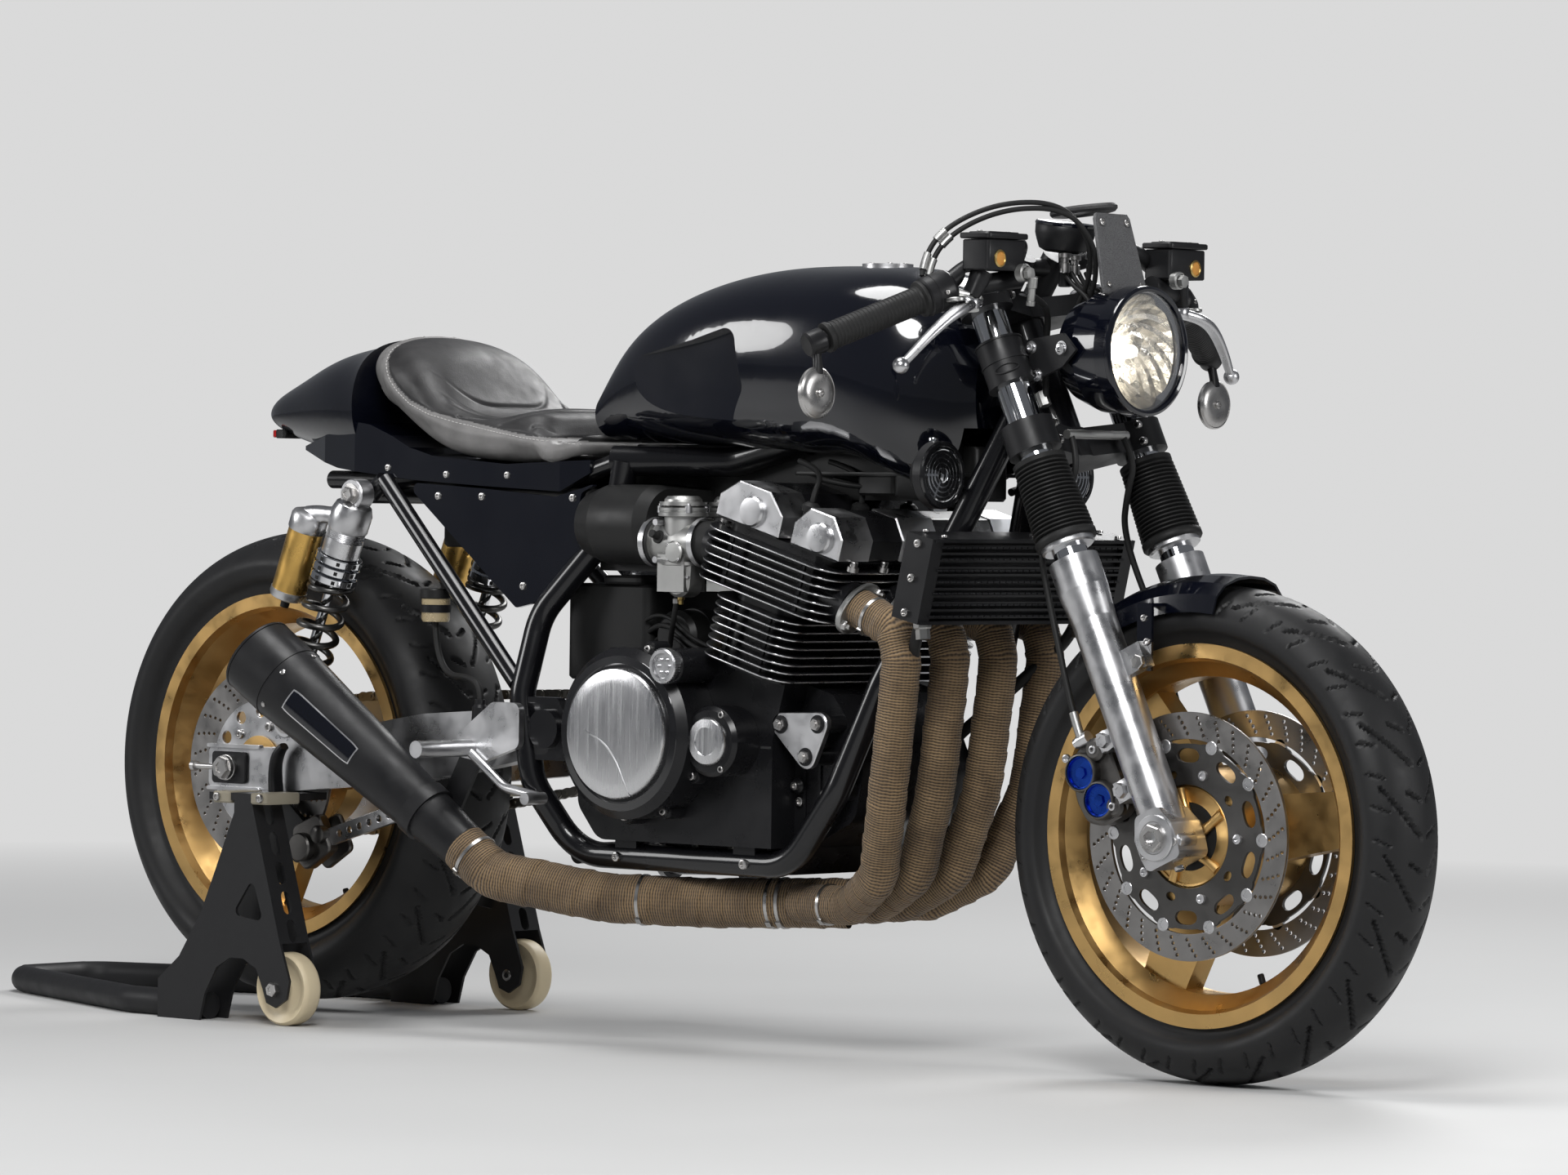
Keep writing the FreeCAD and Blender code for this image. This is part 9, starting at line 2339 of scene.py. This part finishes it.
def under_tank():
    """Coils, leads, hoses and loom that fill the room round the carburettors."""
    dark = Build()
    for side in (-1, 1):
        low, high = sorted((side * 8, side * 60))
        eased_box(dark, (1062, low, 699), (1152, high, 768), 10, 4)
        for y in (22, 48):
            turned(dark, [(0, 0), (8, 0), (8, 12), (6, 15), (0, 15)], (1052, side * y, 716),
                   (-1, 0, -0.15), 18)
    for rear, front, half_w, low, high, corner, bevel in UNDER_TANK_BOXES:
        eased_box(dark, (rear, -half_w, low), (front, half_w, high), corner, bevel)
    turned(dark, [(0, -104), (28, -104), (34, -98), (34, 98), (28, 104), (0, 104)], (742, 0, 520),
           (0, 1, 0), 44)
    turned(dark, [(36, -70), (36, -60), (35, -59)], (742, 0, 520), (0, 1, 0), 44)
    dark.done("coils_and_boxes", "main", "black_plastic", True, 35)
    hoses = Build()
    for side in (-1, 1):
        for k, y in enumerate((46.5, 139.5)):
            route = [at(778, side * y, 572), at(774, side * y, 548),
                     at(752, side * (y - 18), 520), at(724, side * 96, 486 - 8 * k),
                     at(700, side * 92, 440), at(694, side * 88, 300)]
            hoses.tube(smooth_path(route, 12), 3.4 * MM, 12)
        for k in range(3):
            route = [at(690, side * (100 - 8 * k), 540 - 14 * k),
                     at(730, side * (112 - 4 * k), 556 - 12 * k),
                     at(790, side * (118 - 5 * k), 512 - 12 * k),
                     at(850, side * (112 - 4 * k), 500 - 6 * k)]
            hoses.tube(smooth_path(route, 12), (2.6 + 1.2 * (k == 1)) * MM, 12)
        for y in (22, 48):
            route = [at(1038, side * y, 714), at(1012, side * y, 712),
                     at(985, side * (y + 22), 716), at(960, side * (y + 30), 722)]
            hoses.tube(smooth_path(route, 12), 3.6 * MM, 12)
    route = [at(1120, -60, 720), at(1160, -92, 716), at(1196, -118, 712), at(1190, -126, 716)]
    hoses.tube(smooth_path(route, 12), 3.0 * MM, 12)
    fuel = [at(800, -20, 712), at(790, -30, 690), at(775, -46, 660), at(775, -70, 640)]
    hoses.tube(smooth_path(fuel, 12), 5.5 * MM, 14)
    hoses.done("hoses_and_loom", "main", "rubber")
    grips = Build()
    for side in (-1, 1):
        for y in (46.5, 139.5):
            grips.lathe(mm_pairs([(4.8, -3), (4.8, 3), (4.2, 3.2)]), at(777, side * y, 566),
                        (0, 0, 1), 16)
    grips.done("hose_clips", "main", "steel")


def hub_star():
    """Five curved arms in each open end of the front hub."""
    arms = Build()
    back = Build()
    for side in (-1, 1):
        centre = at(1540, side * 62.5, 300)
        out = Vector((0, side, 0))
        # a black disc in the hub's open end: painted shade where the hollow of the hub lies in
        # shadow
        back.lathe(mm_pairs([(21, 0.2), (60, 0.2), (60, 0.8), (21, 0.8)]), centre, out, 64)
        arms.lathe(mm_pairs([(15, -4), (23, -4), (25, 2), (24, 7), (17, 9), (15, 8)]), centre,
                   out, 48, True)
        arms.lathe(mm_pairs([(56.5, -2), (61, -2), (61, 3.6), (59.6, 4.8), (57, 4.4)]), centre,
                   out, 72, True)
        for k in range(5):
            angle = math.radians(18 + 72 * k)
            path = []
            for step in range(11):
                share = step / 10
                radius = 22 + 36 * share
                turn = angle + 0.22 * math.sin(share * math.pi / 2)
                path.append(centre + Vector((radius * math.cos(turn), 0, radius * math.sin(turn)))
                            * MM + out * (5.4 - 3.0 * share) * MM)
            widths = [(5.2 + 1.6 * abs(s - 5) / 5) * MM for s in range(11)]
            arms.tube(path, widths, 14)
    arms.done("hub_star_arms", "front_wheel", "gold_wheel", True, 35)
    back.done("hub_star_painted_shade", "front_wheel", "rubber")
    for hub, body in ((FRONT_HUB, "front_wheel"), (REAR_HUB, "rear_wheel")):
        stem = Build()
        angle = math.radians(-70)
        way = Vector((math.cos(angle), 0, math.sin(angle)))
        foot = hub + way * 203 * MM
        stem.lathe(mm_pairs([(6, 0), (5, 3), (3.4, 6), (3.4, 16), (4.2, 17), (4.2, 27),
                             (3.4, 28.5), (0.01, 28.5)]), foot, way * -1, 16)
        stem.done("valve_" + body, body, "black_plastic")


def seat_bolt(build, node, x, z, side, radius, height=4.0):
    """Lands a bolt on the outer face that a node shows from the side at (x, z)."""
    target = NODES[node]
    back = target.matrix_world.inverted()
    start = back @ at(x, side * 500, z)
    way = back.to_3x3() @ Vector((0, -side, 0))
    hit, spot, normal, _ = target.ray_cast(start, way)
    if not hit or abs(normal.dot(way)) < 0.9:
        return
    build.bolt(target.matrix_world @ spot, Vector((0, side, 0)), radius * MM, height * MM)


def body_bolts():
    steel = Build()
    dark = Build()
    for side in (-1, 1):
        for x, z in ((632, 300), (655, 214), (640, 262), (690, 241), (905, 241)):
            seat_bolt(steel, "frame_cradle", x, z, side, 6.4, 5)
        for x, z in ((352, 694), (590, 694), (505, 580), (430, 694)):
            seat_bolt(dark, "side_covers", x, z, side, 5.0, 2.6)
        for x, z in ((92, 745), (250, 730), (360, 722), (470, 722)):
            seat_bolt(dark, "tail_cowl", x, z, side, 4.6, 2.4)
        for x, z in ((600, 440), (626, 398), (580, 366), (640, 420)):
            seat_bolt(steel, "rearsets", x, z, side, 6.0, 5)
        for x, z in ((1000, 330), (1040, 360), (960, 320)):
            seat_bolt(steel, "crankcase", x, z, side, 6.0, 5)
    for k in range(6):
        angle = math.pi * k / 3 + 0.3
        steel.bolt(at(*cap_spot(24 * math.cos(angle), 24 * math.sin(angle))), (0, 0, 1), 3.4 * MM,
                   2.2 * MM)
    held = Build()
    for side in (-1, 1):
        for x, z in ((1486, 512), (1496, 532), (1491, 560), (1500, 590), (1560, 612)):
            seat_bolt(held, "front_fender", x, z, side, 4.2, 3)
    if held.verts:
        held.done("fender_bolts", HELD, "steel")
    steel.done("frame_bolts", "main", "steel")
    dark.done("panel_screws", "main", "steel")


def cap_spot(dx, dy):
    node = NODES["fuel_cap"]
    spots = verts_of(node.data)
    low, high = spots.min(axis=0), spots.max(axis=0)
    middle = (low + high) / 2
    return (middle[0] / MM - SHIFT_X + dx, middle[1] / MM + dy, high[2] / MM - 1.0)


def tail_light():
    """A thin red lens on the rear of a black housing."""
    spots = verts_of(NODES["tail_lamp"].data)
    low = spots.min(axis=0) / MM - np.array([SHIFT_X, 0, 0])
    high = spots.max(axis=0) / MM - np.array([SHIFT_X, 0, 0])
    lens = Build()
    eased_box(lens, (low[0] + 5, low[1] + 1, low[2] + 1), (low[0] + 13, high[1] - 1, high[2] - 1),
              3, 1.4)
    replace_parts(lens.done("tail_lens", "main", "tail_red", True, 30), "tail_lamp")
    body = Build()
    eased_box(body, (low[0] + 11, low[1], low[2]), (high[0], high[1], high[2]), 4, 1.6)
    body.done("tail_housing", "main", "black_plastic", True, 30)


def fittings():
    tail_light()
    horn_faces()
    cooler_details()
    under_tank()
    hub_star()
    body_bolts()


place_camera()
MATERIALS.update(build_materials())
dress_nodes(MATERIALS)
build_stage()
tyre("front_tyre_tread", "front_tyre", FRONT_HUB, 300, 120, 100, "front_wheel", 1, 22)
tyre("rear_tyre_tread", "rear_tyre", REAR_HUB, 315, 180, 152, "rear_wheel", 1, 22)
front_brake(-1)
front_brake(1)
exhaust()
seat()
seat_stitches()
chain()
headlamp()
fin_rim_highlights()
cam_caps()
engine_covers()
engine_bracket()
carb_details()
gasket_lines()
cockpit()
running_gear()
fittings()
scene.view_settings.view_transform = "Standard"
